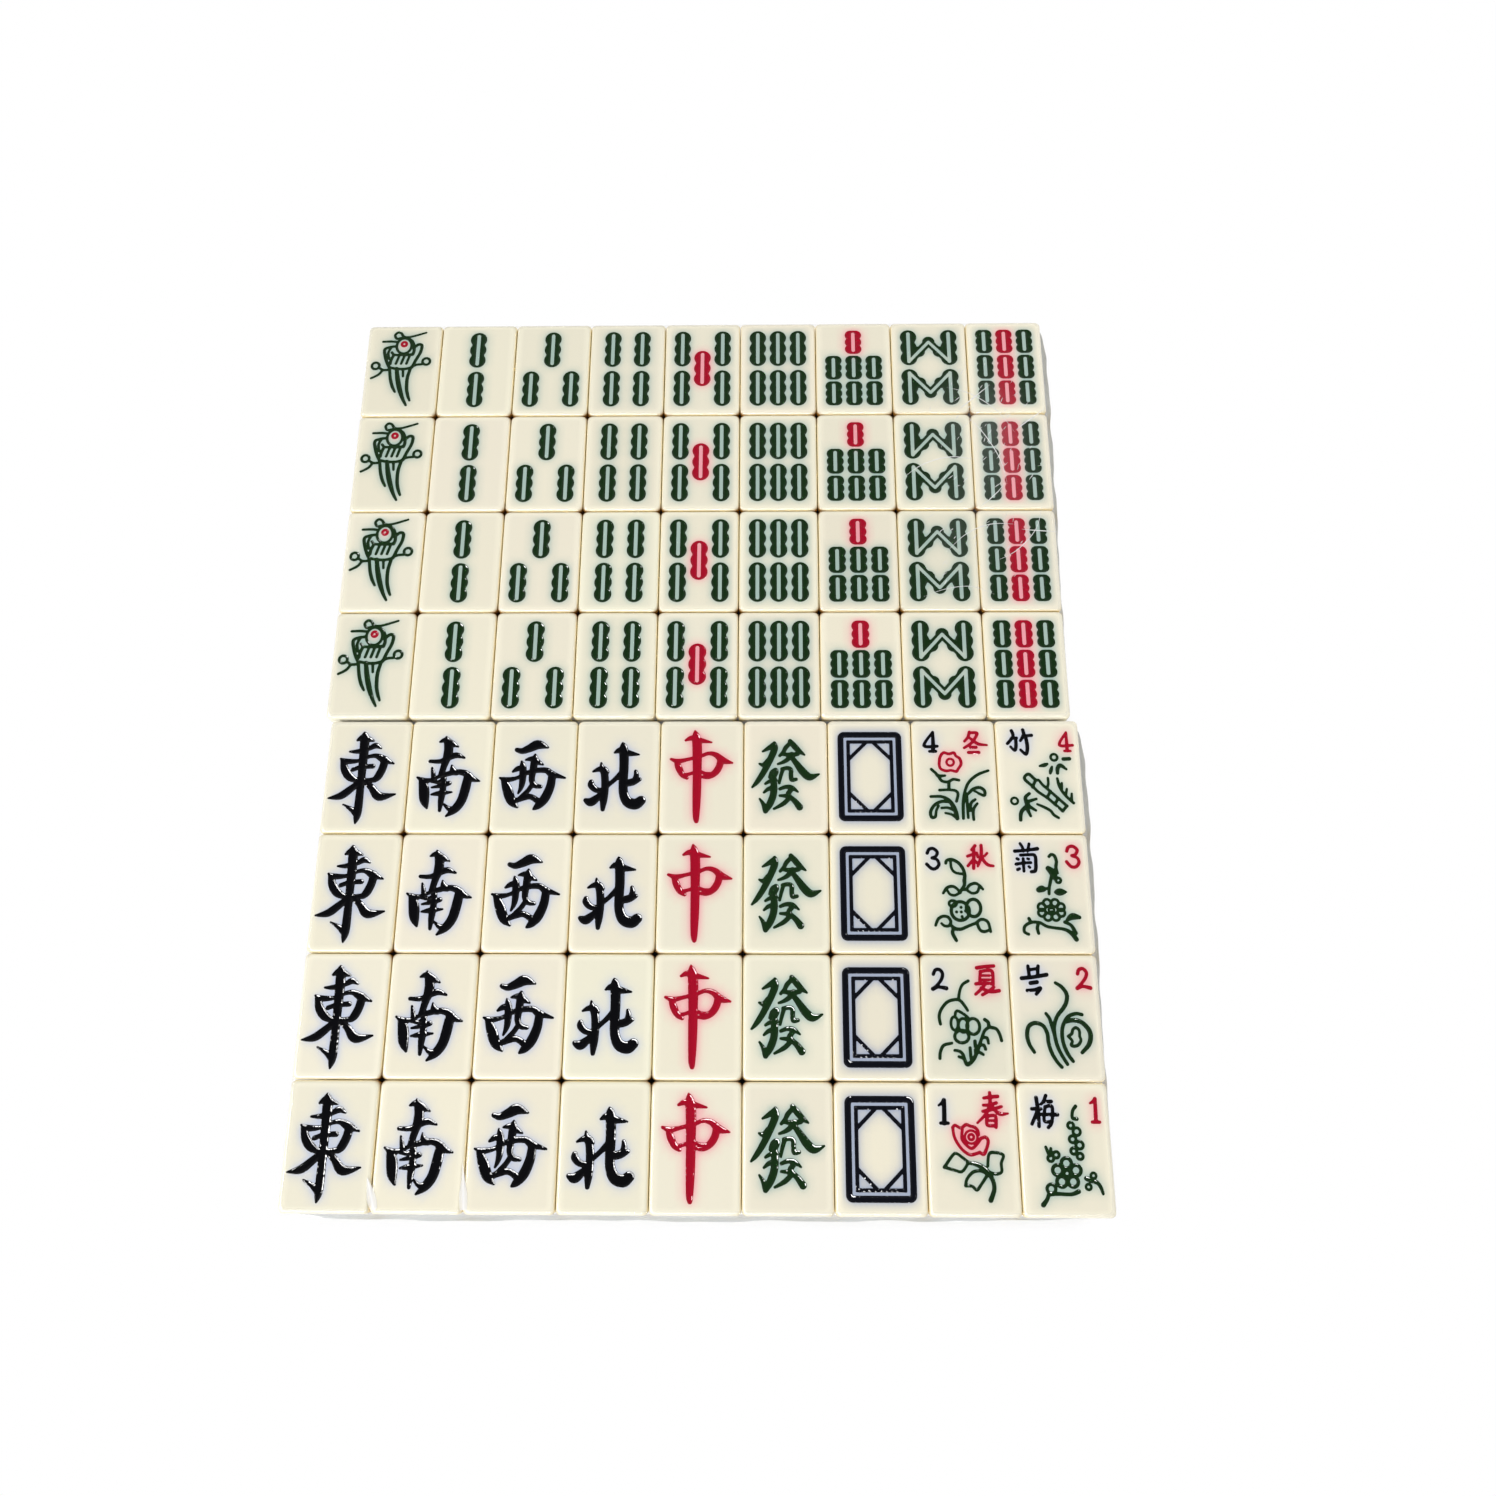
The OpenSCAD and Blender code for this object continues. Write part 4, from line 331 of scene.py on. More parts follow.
SUMMER = Mark((10, 3), {
    Paint.BLACK: Layer([
        (-89, 136, 9, -82, 149, 9, -69, 150, 9, -60, 138, 9, -64, 120, 9, -78, 102, 8, -92, 90, 9),
        (-92, 90, 11, -74, 96, 8, -50, 92, 12),
    ]),
    Paint.RED: Layer([
        (49, 156, 10, 75, 160, 9, 103, 162, 9), (60, 144, 8, 57, 124, 7, 56, 106, 7),
        (60, 144, 8, 84, 148, 8, 98, 143, 9, 98, 105, 9), (62, 132, 6, 88, 132, 6),
        (60, 119, 6, 88, 119, 6), (44, 106, 9, 74, 108, 8, 98, 106, 8),
        (42, 74, 8, 60, 90, 8, 74, 106, 8), (63, 72, 8, 84, 84, 8, 100, 96, 8),
        (60, 93, 8, 88, 82, 9, 116, 85, 10),
    ]),
    Paint.GREEN: Layer([
        (20, 115, 8, 2, 104, 7, -8, 84, 7, -13, 58, 8),
        (-73, -18, 8, -76, 6, 8, -68, 28, 8, -48, 50, 8, -24, 57, 8, -8, 54, 8, 4, 40, 8,
         14, 24, 7),
        (-26, 4, 7, -24, 18, 7, -16, 22, 7, 2, 12, 7, 14, 2, 7),
        (66, -4, 9, 76, -12, 9, 80, -26, 9, 100, -32, 8, 110, -48, 8, 115, -68, 8),
        (80, -26, 8, 64, -38, 8, 54, -60, 8, 46, -80, 9, 36, -104, 10, 24, -126, 10, 6, -140, 11,
         -2, -128, 9, -7, -110, 8, -18, -100, 8, -32, -98, 7),
        (56, -59, 7, 70, -60, 8, 74, -76, 7), (48, -82, 7, 59, -82, 8, 64, -94, 8),
        (36, -102, 7, 46, -104, 8, 56, -110, 7), (32, -70, 9, 33, -104, 9),
        (16, -90, 8, 17, -122, 8), (-20, -117, 7, -4, -122, 8),
        (-79, -122, 8, -77, -104, 8, -66, -83, 8, -40, -76, 7),
    ], [
        (29, -25, 20, 24, 8), (-2, -22, 15, 21, 7), (-29, -16, 11, 20, 7), (-8, -56, 22, 19, 8),
    ]),
})
AUTUMN = Mark((10, 8), {
    Paint.BLACK: Layer([
        (-93, 139, 9, -86, 152, 9, -72, 154, 9, -60, 142, 9, -66, 128, 8, -78, 123, 8, -62, 118, 8,
         -56, 102, 9, -66, 89, 9, -80, 88, 9, -96, 103, 9),
    ]),
    Paint.RED: Layer([
        (64, 164, 9, 52, 150, 7), (38, 129, 8, 68, 140, 7), (59, 154, 9, 58, 120, 9, 56, 89, 9),
        (38, 97, 8, 54, 116, 7), (58, 118, 7, 69, 106, 7),
        (84, 165, 9, 83, 134, 9, 76, 110, 8, 70, 96, 6),
        (83, 132, 8, 90, 114, 9, 104, 100, 9, 120, 97, 7), (70, 138, 7, 71, 126, 6),
        (102, 139, 7, 94, 130, 6),
    ]),
    Paint.GREEN: Layer([
        (-34, 106, 8, -30, 115, 8, -14, 118, 9, 6, 108, 9, 20, 90, 9, 26, 70, 9, 24, 50, 11,
         23, 34, 9, 14, 20, 8, 8, 9, 8),
        (-18, 114, 7, -16, 90, 7, -4, 75, 7, 22, 70, 7),
        (-46, 8, 7, -34, 25, 8, -16, 30, 8, -2, 23, 7, 8, 10, 7),
        (-34, 19, 6, -24, 4, 7, -8, 1, 7, 8, 10, 7),
        (14, 20, 7, 28, 20, 7, 40, 34, 8, 58, 40, 8, 72, 33, 7, 82, 21, 7),
        (28, 20, 7, 46, 8, 7, 64, 12, 7, 72, 32, 7),
        (-24, -96, 8, -16, -106, 10, 6, -108, 9, 30, -98, 8, 56, -88, 8),
        (-16, -104, 9, -22, -120, 10, -11, -144, 9),
        (-75, -96, 7, -66, -76, 8, -50, -67, 8, -34, -70, 8, -26, -84, 8, -32, -97, 8, -46, -98, 7,
         -56, -90, 6),
        (56, -88, 8, 68, -78, 8, 82, -78, 8, 94, -88, 8, 100, -116, 7),
        (58, -90, 8, 66, -110, 8, 80, -116, 8, 98, -110, 7),
    ], [
        (6, -50, 29, 30, 9), (49, -40, 23, 28, 9), (-17, -26, 12, 10, 7), (9, -38, 2, 2, 4),
        (-6, -53, 2, 2, 4), (9, -53, 2, 2, 4), (23, -50, 2, 2, 4), (11, -68, 2, 2, 4),
    ]),
})
WINTER = Mark((9, 12), {
    Paint.BLACK: Layer([
        (-59, 166, 6, -90, 118, 9, -46, 116, 9), (-59, 164, 8, -59, 130, 11, -60, 99, 11),
        (-72, 98, 8, -51, 98, 8),
    ]),
    Paint.RED: Layer([
        (64, 166, 8, 58, 147, 8, 46, 133, 7),
        (64, 163, 8, 89, 162, 9, 82, 144, 8, 68, 126, 8, 44, 110, 7),
        (61, 148, 6, 78, 133, 9, 94, 123, 9, 120, 120, 6), (66, 112, 9, 84, 112, 9),
        (58, 94, 9, 92, 94, 10),
        (-42, 54, 8, -38, 78, 8, -26, 93, 8, -8, 89, 8, 9, 93, 8, 15, 82, 7, 27, 73, 8, 31, 54, 8,
         20, 36, 7, 14, 28, 8, -4, 32, 7, -20, 30, 8, -38, 38, 7, -42, 54, 8),
    ], [
        (-5, 60, 12, 12, 6),
    ]),
    Paint.GREEN: Layer([
        (-69, 36, 8, -56, 24, 8, -46, 13, 10, -24, 14, 6),
        (-46, 12, 9, -36, -4, 8, -16, -8, 8, 2, 1, 8, 21, -2, 8),
        (-12, -8, 8, -13, -26, 9, -12, -34, 8),
        (-44, -36, 8, -16, -35, 7, 8, -38, 8, 16, -50, 8, 10, -74, 8),
        (120, 31, 7, 86, 18, 8, 56, -6, 8, 40, -38, 8, 32, -80, 9, 30, -132, 8),
        (-74, -58, 8, -40, -58, 8, -18, -68, 10, -4, -86, 13, 6, -110, 13, 10, -132, 12),
        (-10, -76, 9, -40, -75, 9, -64, -88, 9, -77, -110, 9, -74, -128, 9, -62, -126, 8,
         -58, -106, 7, -50, -90, 7),
        (-40, -97, 7, -20, -96, 7, 0, -104, 8), (-28, -114, 6, -10, -118, 7, 6, -128, 9),
        (38, -52, 9, 50, -48, 8, 66, -33, 9, 88, -27, 9, 104, -38, 9, 103, -54, 8, 88, -49, 7,
         68, -37, 6),
        (44, -50, 9, 45, -80, 8, 46, -130, 7), (72, -68, 7, 58, -80, 8, 54, -106, 7),
        (78, -82, 7, 66, -98, 8, 63, -116, 8, 64, -136, 8),
    ]),
})
PLUM = Mark((13, 0), {
    Paint.BLACK: Layer([
        (-83, 118, 9, -56, 118, 9), (-68, 151, 10, -64, 110, 10, -64, 67, 9),
        (-66, 112, 9, -85, 74, 9), (-38, 157, 9, -46, 140, 8, -54, 132, 7),
        (-46, 139, 8, -22, 140, 9), (-42, 124, 8, -47, 83, 8, -24, 82, 8),
        (-42, 124, 8, -21, 124, 9, -24, 80, 8, -36, 64, 9), (-54, 102, 8, -6, 101, 10),
    ]),
    Paint.RED: Layer([
        (96, 135, 5, 106, 141, 8, 112, 149, 8), (112, 147, 9, 111, 110, 10, 110, 83, 10),
        (99, 80, 8, 121, 80, 8),
    ]),
    Paint.GREEN: Layer([
        (51, 126, 9, 41, 112, 8, 39, 92, 8, 52, 89, 10), (-48, 7, 7, -42, -9, 8, -38, -18, 7),
        (-33, 3, 7, -33, -16, 8),
        (68, -82, 12, 82, -87, 14, 100, -94, 10, 110, -108, 9, 115, -125, 7),
        (-43, -127, 10, -20, -126, 9, 20, -127, 9, 42, -119, 12),
        (-47, -125, 9, -54, -142, 10, -66, -157, 13),
    ], [
        (32, 70, 9, 9, 7), (49, 52, 11, 11, 7), (35, 30, 10, 10, 7), (55, 13, 11, 11, 7),
        (36, -4, 9, 9, 7), (54, -19, 9, 9, 7), (-35, -25, 9, 9, 7), (-18, -15, 9, 9, 7),
        (90, -74, 8, 8, 6), (73, -106, 8, 8, 6), (-39, -112, 13, 13, 8), (11, -68, 8, 8, 5),
    ], [(11, -68, 29, 29, 15, 9, 5, 0)]),
})
ORCHID = Mark((13, 3), {
    Paint.BLACK: Layer([
        (-89, 124, 11, -50, 128, 10, -10, 135, 11), (-67, 162, 9, -65, 134, 9),
        (-66, 150, 8, -38, 154, 8), (-35, 162, 9, -38, 136, 9), (-62, 109, 11, -42, 112, 11),
        (-74, 86, 9, -50, 88, 9, -32, 93, 10, -46, 75, 9),
    ]),
    Paint.RED: Layer([
        (88, 138, 9, 93, 151, 9, 106, 154, 9, 116, 142, 9, 112, 126, 9, 98, 108, 8, 84, 94, 9),
        (84, 93, 10, 102, 99, 8, 125, 94, 11),
    ]),
    Paint.GREEN: Layer([
        (16, 110, 8, 36, 96, 10, 49, 74, 11, 46, 50, 11, 34, 30, 11, 18, 12, 10, 6, -12, 10,
         2, -40, 10, 8, -80, 10, 20, -110, 9, 36, -138, 9),
        (-20, 15, 8, -10, 0, 9, -5, -20, 9, 1, -44, 9),
        (-64, -102, 9, -78, -78, 10, -83, -50, 11, -76, -24, 11, -56, -14, 11, -32, -22, 10,
         -20, -46, 10, -18, -74, 10, -10, -104, 10, 4, -130, 9, 18, -147, 9),
        (92, 12, 9, 74, 15, 9, 52, 8, 10, 37, -9, 10, 27, -34, 10, 27, -70, 10, 38, -104, 10,
         54, -129, 9),
        (42, -10, 9, 64, -5, 12, 90, -12, 12, 110, -34, 13, 114, -56, 13, 106, -80, 12,
         84, -103, 9),
        (44, -54, 7, 56, -46, 8, 60, -34, 7, 70, -28, 8, 80, -36, 7, 80, -54, 7, 83, -66, 7,
         74, -80, 8, 60, -84, 8, 52, -80, 8, 56, -68, 7, 44, -54, 7),
    ]),
})
CHRYSANTHEMUM = Mark((13, 8), {
    Paint.BLACK: Layer([
        (-86, 146, 10, -48, 149, 8, -12, 154, 11), (-67, 171, 8, -60, 158, 8, -58, 146, 7),
        (-38, 170, 8, -44, 146, 7),
        (-68, 133, 8, -44, 134, 8, -22, 132, 9, -20, 106, 10, -23, 82, 10, -36, 78, 9),
        (-84, 103, 9, -58, 107, 8, -36, 108, 8), (-60, 121, 8, -60, 80, 8),
        (-80, 121, 8, -76, 119, 8), (-46, 121, 7, -42, 120, 7), (-80, 85, 9, -74, 88, 8),
        (-43, 95, 7, -40, 92, 7),
    ]),
    Paint.RED: Layer([
        (83, 146, 9, 89, 159, 9, 104, 162, 9, 117, 150, 9, 110, 135, 8, 98, 131, 8, 115, 124, 8,
         120, 109, 9, 110, 95, 9, 94, 95, 9, 80, 111, 9),
    ]),
    Paint.GREEN: Layer([
        (24, 128, 8, 32, 135, 8, 42, 130, 9, 47, 112, 9, 44, 92, 9, 48, 74, 7),
        (19, 89, 15, 32, 76, 22, 40, 56, 14), (29, 68, 8, 23, 46, 9, 18, 26, 8, 16, 6, 8),
        (-16, 19, 16, -6, 22, 20, 2, 20, 10), (0, 23, 7, 18, 24, 6),
        (36, 11, 6, 51, 12, 22, 72, 12, 4),
        (-58, -124, 8, -71, -116, 8, -68, -98, 8, -46, -86, 8, -20, -87, 8, 2, -99, 8, 30, -104, 8,
         60, -109, 9, 80, -122, 12, 93, -140, 13),
        (-54, -74, 9, -48, -86, 8), (-24, -88, 8, -29, -104, 9, -26, -121, 8),
        (68, -78, 8, 86, -67, 20, 108, -70, 10), (60, -85, 9, 80, -96, 9, 92, -120, 12),
    ], [
        (20, -46, 22, 13, 6), (20, -46, 9, 5, 5), (49, 50, 8, 8, 7),
    ], [(20, -46, 33, 24, 12, 7, 8, 1)]),
})
BAMBOO_PLANT = Mark((13, 12), {
    Paint.BLACK: Layer([
        (-72, 170, 10, -68, 150, 9, -88, 125, 9), (-74, 143, 8, -56, 145, 8),
        (-59, 142, 9, -60, 114, 10, -65, 101, 8, -78, 114, 7),
        (-34, 173, 10, -32, 156, 10, -44, 135, 8), (-32, 152, 8, -6, 154, 10),
        (-26, 150, 10, -22, 114, 11, -28, 88, 9, -45, 103, 8),
    ]),
    Paint.RED: Layer([
        (110, 164, 6, 85, 120, 8, 129, 119, 8), (110, 162, 7, 110, 130, 9, 110, 100, 9),
        (101, 99, 7, 120, 99, 7),
    ]),
    Paint.GREEN: Layer([
        (95, 71, 11, 115, 72, 11), (15, 47, 6, 30, 50, 12, 40, 54, 7),
        (48, 22, 7, 51, 32, 11, 55, 44, 6), (72, 22, 9, 74, 40, 12, 84, 49, 12, 102, 36, 7),
        (-12, -24, 8, -37, 0, 9, -35, 13, 8, -22, 18, 9, -2, -1, 8, 8, -2, 7, 20, -18, 8,
         34, -31, 8, 56, -52, 8, 95, -90, 8),
        (-12, -24, 8, 4, -42, 8, 32, -62, 8, 56, -84, 8, 80, -107, 8), (95, -90, 8, 80, -107, 8),
        (-14, -26, 8, -2, -1, 8), (44, -40, 8, 32, -62, 8), (68, -64, 8, 56, -84, 8),
        (39, 5, 7, 39, -14, 7, 34, -30, 7),
        (70, 4, 7, 74, -18, 9, 82, -38, 8, 96, -58, 8, 118, -80, 8), (84, -12, 6, 82, -32, 8),
        (99, -32, 6, 94, -52, 8), (114, -48, 6, 112, -70, 8),
        (-2, -84, 6, 20, -94, 8, 40, -106, 8, 50, -120, 8, 65, -130, 7),
        (-26, -48, 9, -40, -62, 10, -34, -86, 14), (-4, -66, 7, -32, -75, 10),
        (-60, -137, 10, -56, -110, 11, -36, -90, 12), (-26, -124, 7, -34, -104, 11, -34, -86, 15),
        (-8, -105, 7, -28, -92, 10),
    ], [
        (64, 77, 11, 11, 7), (-76, -73, 11, 11, 6),
    ]),
})
LETTERED = {
    "east": EAST, "south": SOUTH, "west": WEST, "north": NORTH,
    "red_dragon": RED_DRAGON, "green_dragon": GREEN_DRAGON,
}
FLOWERS = {
    "season": {"spring": SPRING, "summer": SUMMER, "autumn": AUTUMN, "winter": WINTER},
    "plant": {
        "plum": PLUM, "orchid": ORCHID,
        "chrysanthemum": CHRYSANTHEMUM, "bamboo_plant": BAMBOO_PLANT,
    },
}


class Field:
    """Signed distance to a mark's outline over a grid, negative inside the mark."""

    STEP = 0.21

    def __init__(self, size: TileSize = TILE) -> None:
        """Lays the grid over a tile's face.

        Args:
            size: sizes of the tile.
        """
        counts = [int(side / self.STEP) + 1 for side in (size.width, size.length)]
        self.x, self.y = ((np.arange(n) - (n - 1) / 2) * self.STEP for n in counts)
        self.gx, self.gy = np.meshgrid(self.x, self.y)

    def capsule(self, a: Point, b: Point, ra: float, rb: float | None = None) -> np.ndarray:
        """Distance to a straight length with round ends.

        It is the distance to the nearest point of the middle line, less the half width there.

        Args:
            a: x and y of its start.
            b: x and y of its end.
            ra: half width at its start.
            rb: half width at its end, or None where it stays the same.

        Returns:
            The distance over the grid.
        """
        ax, ay = self.gx - a[0], self.gy - a[1]
        dx, dy = b[0] - a[0], b[1] - a[1]
        t = np.clip((ax * dx + ay * dy) / max(dx * dx + dy * dy, TINY), 0, 1)
        widening = 0.0 if rb is None else rb - ra
        return np.hypot(ax - t * dx, ay - t * dy) - (ra + t * widening)

    def box(self, width: float, length: float, corner: float = 0.0) -> np.ndarray:
        """Distance to a rectangle about the middle.

        Outside it is the distance to the rectangle without its round corners, less their radius.

        Args:
            width: its side along x.
            length: its side along y.
            corner: radius of its corners.

        Returns:
            The distance over the grid.
        """
        qx = np.abs(self.gx) - width / 2 + corner
        qy = np.abs(self.gy) - length / 2 + corner
        outside = np.hypot(np.maximum(qx, 0), np.maximum(qy, 0))
        return outside + np.minimum(np.maximum(qx, qy), 0) - corner

    def at(self, values: np.ndarray, points: np.ndarray) -> np.ndarray:
        """Values of a grid at points: each its four neighbours', weighted by nearness.

        Args:
            values: values over the grid.
            points: x and y of each point.

        Returns:
            One value for each point.
        """
        u = np.clip((points[:, 0] - self.x[0]) / self.STEP, 0, len(self.x) - 1.001)
        v = np.clip((points[:, 1] - self.y[0]) / self.STEP, 0, len(self.y) - 1.001)
        i, j = u.astype(int), v.astype(int)
        fu, fv = u - i, v - j
        low = values[j, i] * (1 - fu) + values[j, i + 1] * fu
        high = values[j + 1, i] * (1 - fu) + values[j + 1, i + 1] * fu
        return low * (1 - fv) + high * fv


GRID = Field()
# A field with nothing near, and the value that stands outside the grid
FAR, BEYOND = np.full(GRID.gx.shape, 9.0), 5.0
# Least lengths and values, which keep a division or a sign from failing
TINY, LEAST = 1e-9, 1e-6
# Reach of the smooth joins between strokes, rings and a stick's lobes, in millimetres
STROKE_JOIN, RING_JOIN, LOBE_JOIN = 0.22, 0.1, 0.15
# Bare line between two paints that meet
PAINT_GAP = 0.1
# Share of a ring's radii within which its distance is taken as that from its middle
RING_HEART = 0.05


def smooth_min(a: np.ndarray, b: np.ndarray, reach: float) -> np.ndarray:
    """Smaller of two distances, blended where they differ by less than reach.

    The share h runs from 0 to 1 over that difference. The result is the mean of the two by h,
    less reach times h times one less h.

    Args:
        a: first distance.
        b: second distance.
        reach: difference over which they blend.

    Returns:
        The blended distance.
    """
    h = np.clip(0.5 + 0.5 * (b - a) / reach, 0, 1)
    return b + (a - b) * h - reach * h * (1 - h)


def curve(stroke: Sequence[float], count: int = 6) -> np.ndarray:
    """Smooth curve through a stroke's points, its width included.

    Each stretch is a cubic that leaves and meets its points along half the step between their
    neighbours.

    Args:
        stroke: x, y and width of each point in turn.
        count: steps in each stretch.

    Returns:
        The curve's points, with their widths.
    """
    p = np.reshape(stroke, (-1, 3)).astype(float)
    slope = np.array([(p[min(i + 1, len(p) - 1)] - p[max(i - 1, 0)]) / 2 for i in range(len(p))])
    t = np.linspace(0, 1, count, endpoint=False)[:, None]
    spans = [
        p[i] * (1 + 2 * t) * (1 - t) ** 2
        + slope[i] * t * (1 - t) ** 2
        + p[i + 1] * t * t * (3 - 2 * t)
        + slope[i + 1] * t * t * (t - 1)
        for i in range(len(p) - 1)
    ]
    return np.vstack(spans + [p[-1:]])


def brushed(layer: Layer, middle: np.ndarray) -> np.ndarray:
    """Field of one paint's strokes and rings, with the mark's middle on the tile's.

    A ring's distance is that to its ellipse, from the ellipse's equation over its slope.

    Args:
        layer: the strokes and the rings.
        middle: x and y of the mark's middle.

    Returns:
        The distance over the grid.
    """
    ink = FAR
    for stroke in layer.lines:
        q = curve(stroke)
        q[:, :2] -= middle
        lengths = [GRID.capsule(a, b, a[2] / 2, b[2] / 2) for a, b in zip(q[:-1], q[1:])]
        ink = smooth_min(ink, np.minimum.reduce([FAR, *lengths]), STROKE_JOIN)
    for x, y, rx, ry, line in layer.ellipses:
        dx, dy = GRID.gx - x + middle[0], GRID.gy - y + middle[1]
        e = np.hypot(dx / rx, dy / ry)
        away = e * (e - 1) / np.maximum(np.hypot(dx / rx**2, dy / ry**2), LEAST)
        away = np.where(e < RING_HEART, -min(rx, ry), away)
        ink = smooth_min(ink, np.abs(away) - line / 2, RING_JOIN)
    return ink


def brushed_fields(mark: Mark, spread: float) -> dict[Paint, np.ndarray]:
    """Fields of a brushed mark, where a later paint gives way to an earlier one.

    Args:
        mark: the mark.
        spread: how far the paint runs past its strokes on each side.

    Returns:
        A field for each paint in the mark.
    """
    fields: dict[Paint, np.ndarray] = {}
    middle = np.array(mark.middle) / TENTHS
    for paint, layer in mark.layers.items():
        own = brushed(layer, middle) - spread
        for earlier in fields.values():
            own = np.maximum(own, PAINT_GAP - earlier)
        fields[paint] = own
    return fields


@dataclass(frozen=True)
class Sticks:
    """The bamboo suit's sticks, with their sizes in millimetres.

    The four's sticks stand four_spread from the middle. The eight's slanting ones are slant wide
    and meet peak above the middle of their row.
    """

    width: float = 6.0
    long: float = 15.0
    short: float = 10.0
    slot: float = 1.5
    slant_slot: float = 1.3
    slot_end: float = 1.5
    waist: float = 0.7
    pitch: float = 7.5
    gap: float = 1.9
    four_spread: float = 5.5
    slant: float = 4.4
    peak: float = 2.4

    def lobe(self, length: float) -> float:
        """Radius of the lobes of a stick of this length."""
        return min(self.width / 2, length / 5)

    def stick(self, x: float, y: float, length: float) -> np.ndarray:
        """Upright stick with three lobes each side, bare along its middle.

        Args:
            x: place of its middle across the tile.
            y: place of its middle along the tile.
            length: its length.

        Returns:
            The distance over the grid.
        """
        r = self.lobe(length)
        half, reach = self.width / 2 - r, length / 2 - r
        body = GRID.capsule((x, y - reach), (x, y + reach), self.width / 2 - self.waist)
        body = np.maximum(body, np.abs(GRID.gy - y) - reach)
        for lobe in (-reach, 0, reach):
            knot = GRID.capsule((x - half, y + lobe), (x + half, y + lobe), r)
            body = smooth_min(body, knot, LOBE_JOIN)
        end = length / 2 - self.slot_end
        bare = GRID.capsule((x, y - end), (x, y + end), self.slot / 2)
        return np.maximum(body, -bare)

    def joined(self, flip: float) -> np.ndarray:
        """Two uprights joined by two slanting sticks that meet in the middle.

        Args:
            flip: 1 above the tile's middle, and -1 for the mirror image below it.

        Returns:
            The distance over the grid.
        """
        rise = (self.long + self.gap) / 2
        foot = self.slot_end - self.long / 2
        r, half = self.lobe(self.long), self.slant / 2
        reach = self.long / 2 - r
        body, bare = FAR, FAR

        def place(x: float, y: float) -> tuple[float, float]:
            """A point of the upper half, or its mirror image."""
            return (x, flip * (y + rise))

        for x in (-self.pitch, self.pitch):
            shaft = GRID.capsule(place(x, -reach), place(x, reach), self.width / 2 - self.waist)
            body = np.minimum(body, np.maximum(shaft, np.abs(GRID.gy - flip * rise) - reach))
            for lobe in (-reach, 0, reach):
                knot = GRID.capsule(place(x, lobe), place(x, lobe), r)
                body = smooth_min(body, knot, LOBE_JOIN)
            lean = GRID.capsule(place(x, foot), place(0, self.peak), half - self.waist)
            body = smooth_min(body, lean, LOBE_JOIN)
            for share in (0.5, 1.0):
                knot = place(x * (1 - share), foot + share * (self.peak - foot))
                body = smooth_min(body, GRID.capsule(knot, knot, half), LOBE_JOIN)
            upright = GRID.capsule(place(x, foot), place(x, -foot), self.slot / 2)
            slanting = GRID.capsule(place(x, foot), place(0, self.peak), self.slant_slot / 2)
            bare = np.minimum(bare, np.minimum(upright, slanting))
        return np.maximum(body, -bare)

    def fields(self, count: int) -> dict[Paint, np.ndarray]:
        """Fields of the bamboo tile of this number, from two to nine.

        Args:
            count: number of sticks on the tile.

        Returns:
            A field for each paint on the tile.
        """
        if count == 8:
            both = np.minimum(self.joined(1), self.joined(-1))
            return {Paint.GREEN: both - SPREAD.sticks}
        p, s = self.pitch, self.four_spread
        tall = self.long + self.gap
        low = self.short + (2 * self.long + self.gap - 3 * self.short) / 2
        pair, three = (-tall / 2, tall / 2), (-low, 0, low)
        # Middles of the sticks: green and red long ones, then green and red short ones
        long_green = {
            2: [(0, y) for y in pair],
            3: [(0, tall / 2), (-p, -tall / 2), (p, -tall / 2)],
            4: [(x, y) for x in (-s, s) for y in pair],
            5: [(x, y) for x in (-p, p) for y in pair],
            6: [(x, y) for x in (-p, 0, p) for y in pair],
        }
        long_red = {5: [(0, 0)]}
        short_green = {
            7: [(x, y) for x in (-p, 0, p) for y in (-low, 0)],
            9: [(x, y) for x in (-p, p) for y in three],
        }
        short_red = {7: [(0, low)], 9: [(0, y) for y in three]}
        by_paint = {Paint.GREEN: (long_green, short_green), Paint.RED: (long_red, short_red)}
        fields = {}
        for paint, (long, short) in by_paint.items():
            sticks = [self.stick(x, y, self.long) for x, y in long.get(count, [])]
            sticks += [self.stick(x, y, self.short) for x, y in short.get(count, [])]
            if sticks:
                fields[paint] = np.minimum.reduce(sticks) - SPREAD.sticks
        return fields


@dataclass(frozen=True)
class DoubleFrame:
    """The white dragon's double frame, with its sizes in millimetres."""

    width: float = 21.2
    length: float = 30.6
    band: float = 1.8
    bare: float = 1.1
    inner: float = 1.0
    corner: float = 2.0
    band_corner: float = 0.4
    inner_corner: float = 0.3
    reach: float = 5.2

    def fields(self) -> dict[Paint, np.ndarray]:
        """Field of a wide frame round a thin one, with a bar across each inner corner.

        Returns:
            The field of its paint.
        """
        inset = 2 * (self.band + self.bare)
        outer = np.maximum(
            GRID.box(self.width, self.length, self.corner),
            -GRID.box(self.width - 2 * self.band, self.length - 2 * self.band, self.band_corner),
        )
        width, length = self.width - inset, self.length - inset
        window = GRID.box(width - 2 * self.inner, length - 2 * self.inner)
        inner = np.maximum(GRID.box(width, length, self.inner_corner), -window)
        x, y = width / 2 - self.inner, length / 2 - self.inner
        across = np.abs(GRID.gx) - x + np.abs(GRID.gy) - y + self.reach
        bar = np.maximum(np.abs(across / math.sqrt(2)) - self.inner / 2, window - PAINT_GAP)
        return {Paint.BLUE_BLACK: np.minimum(outer, np.minimum(inner, bar)) - SPREAD.frame}


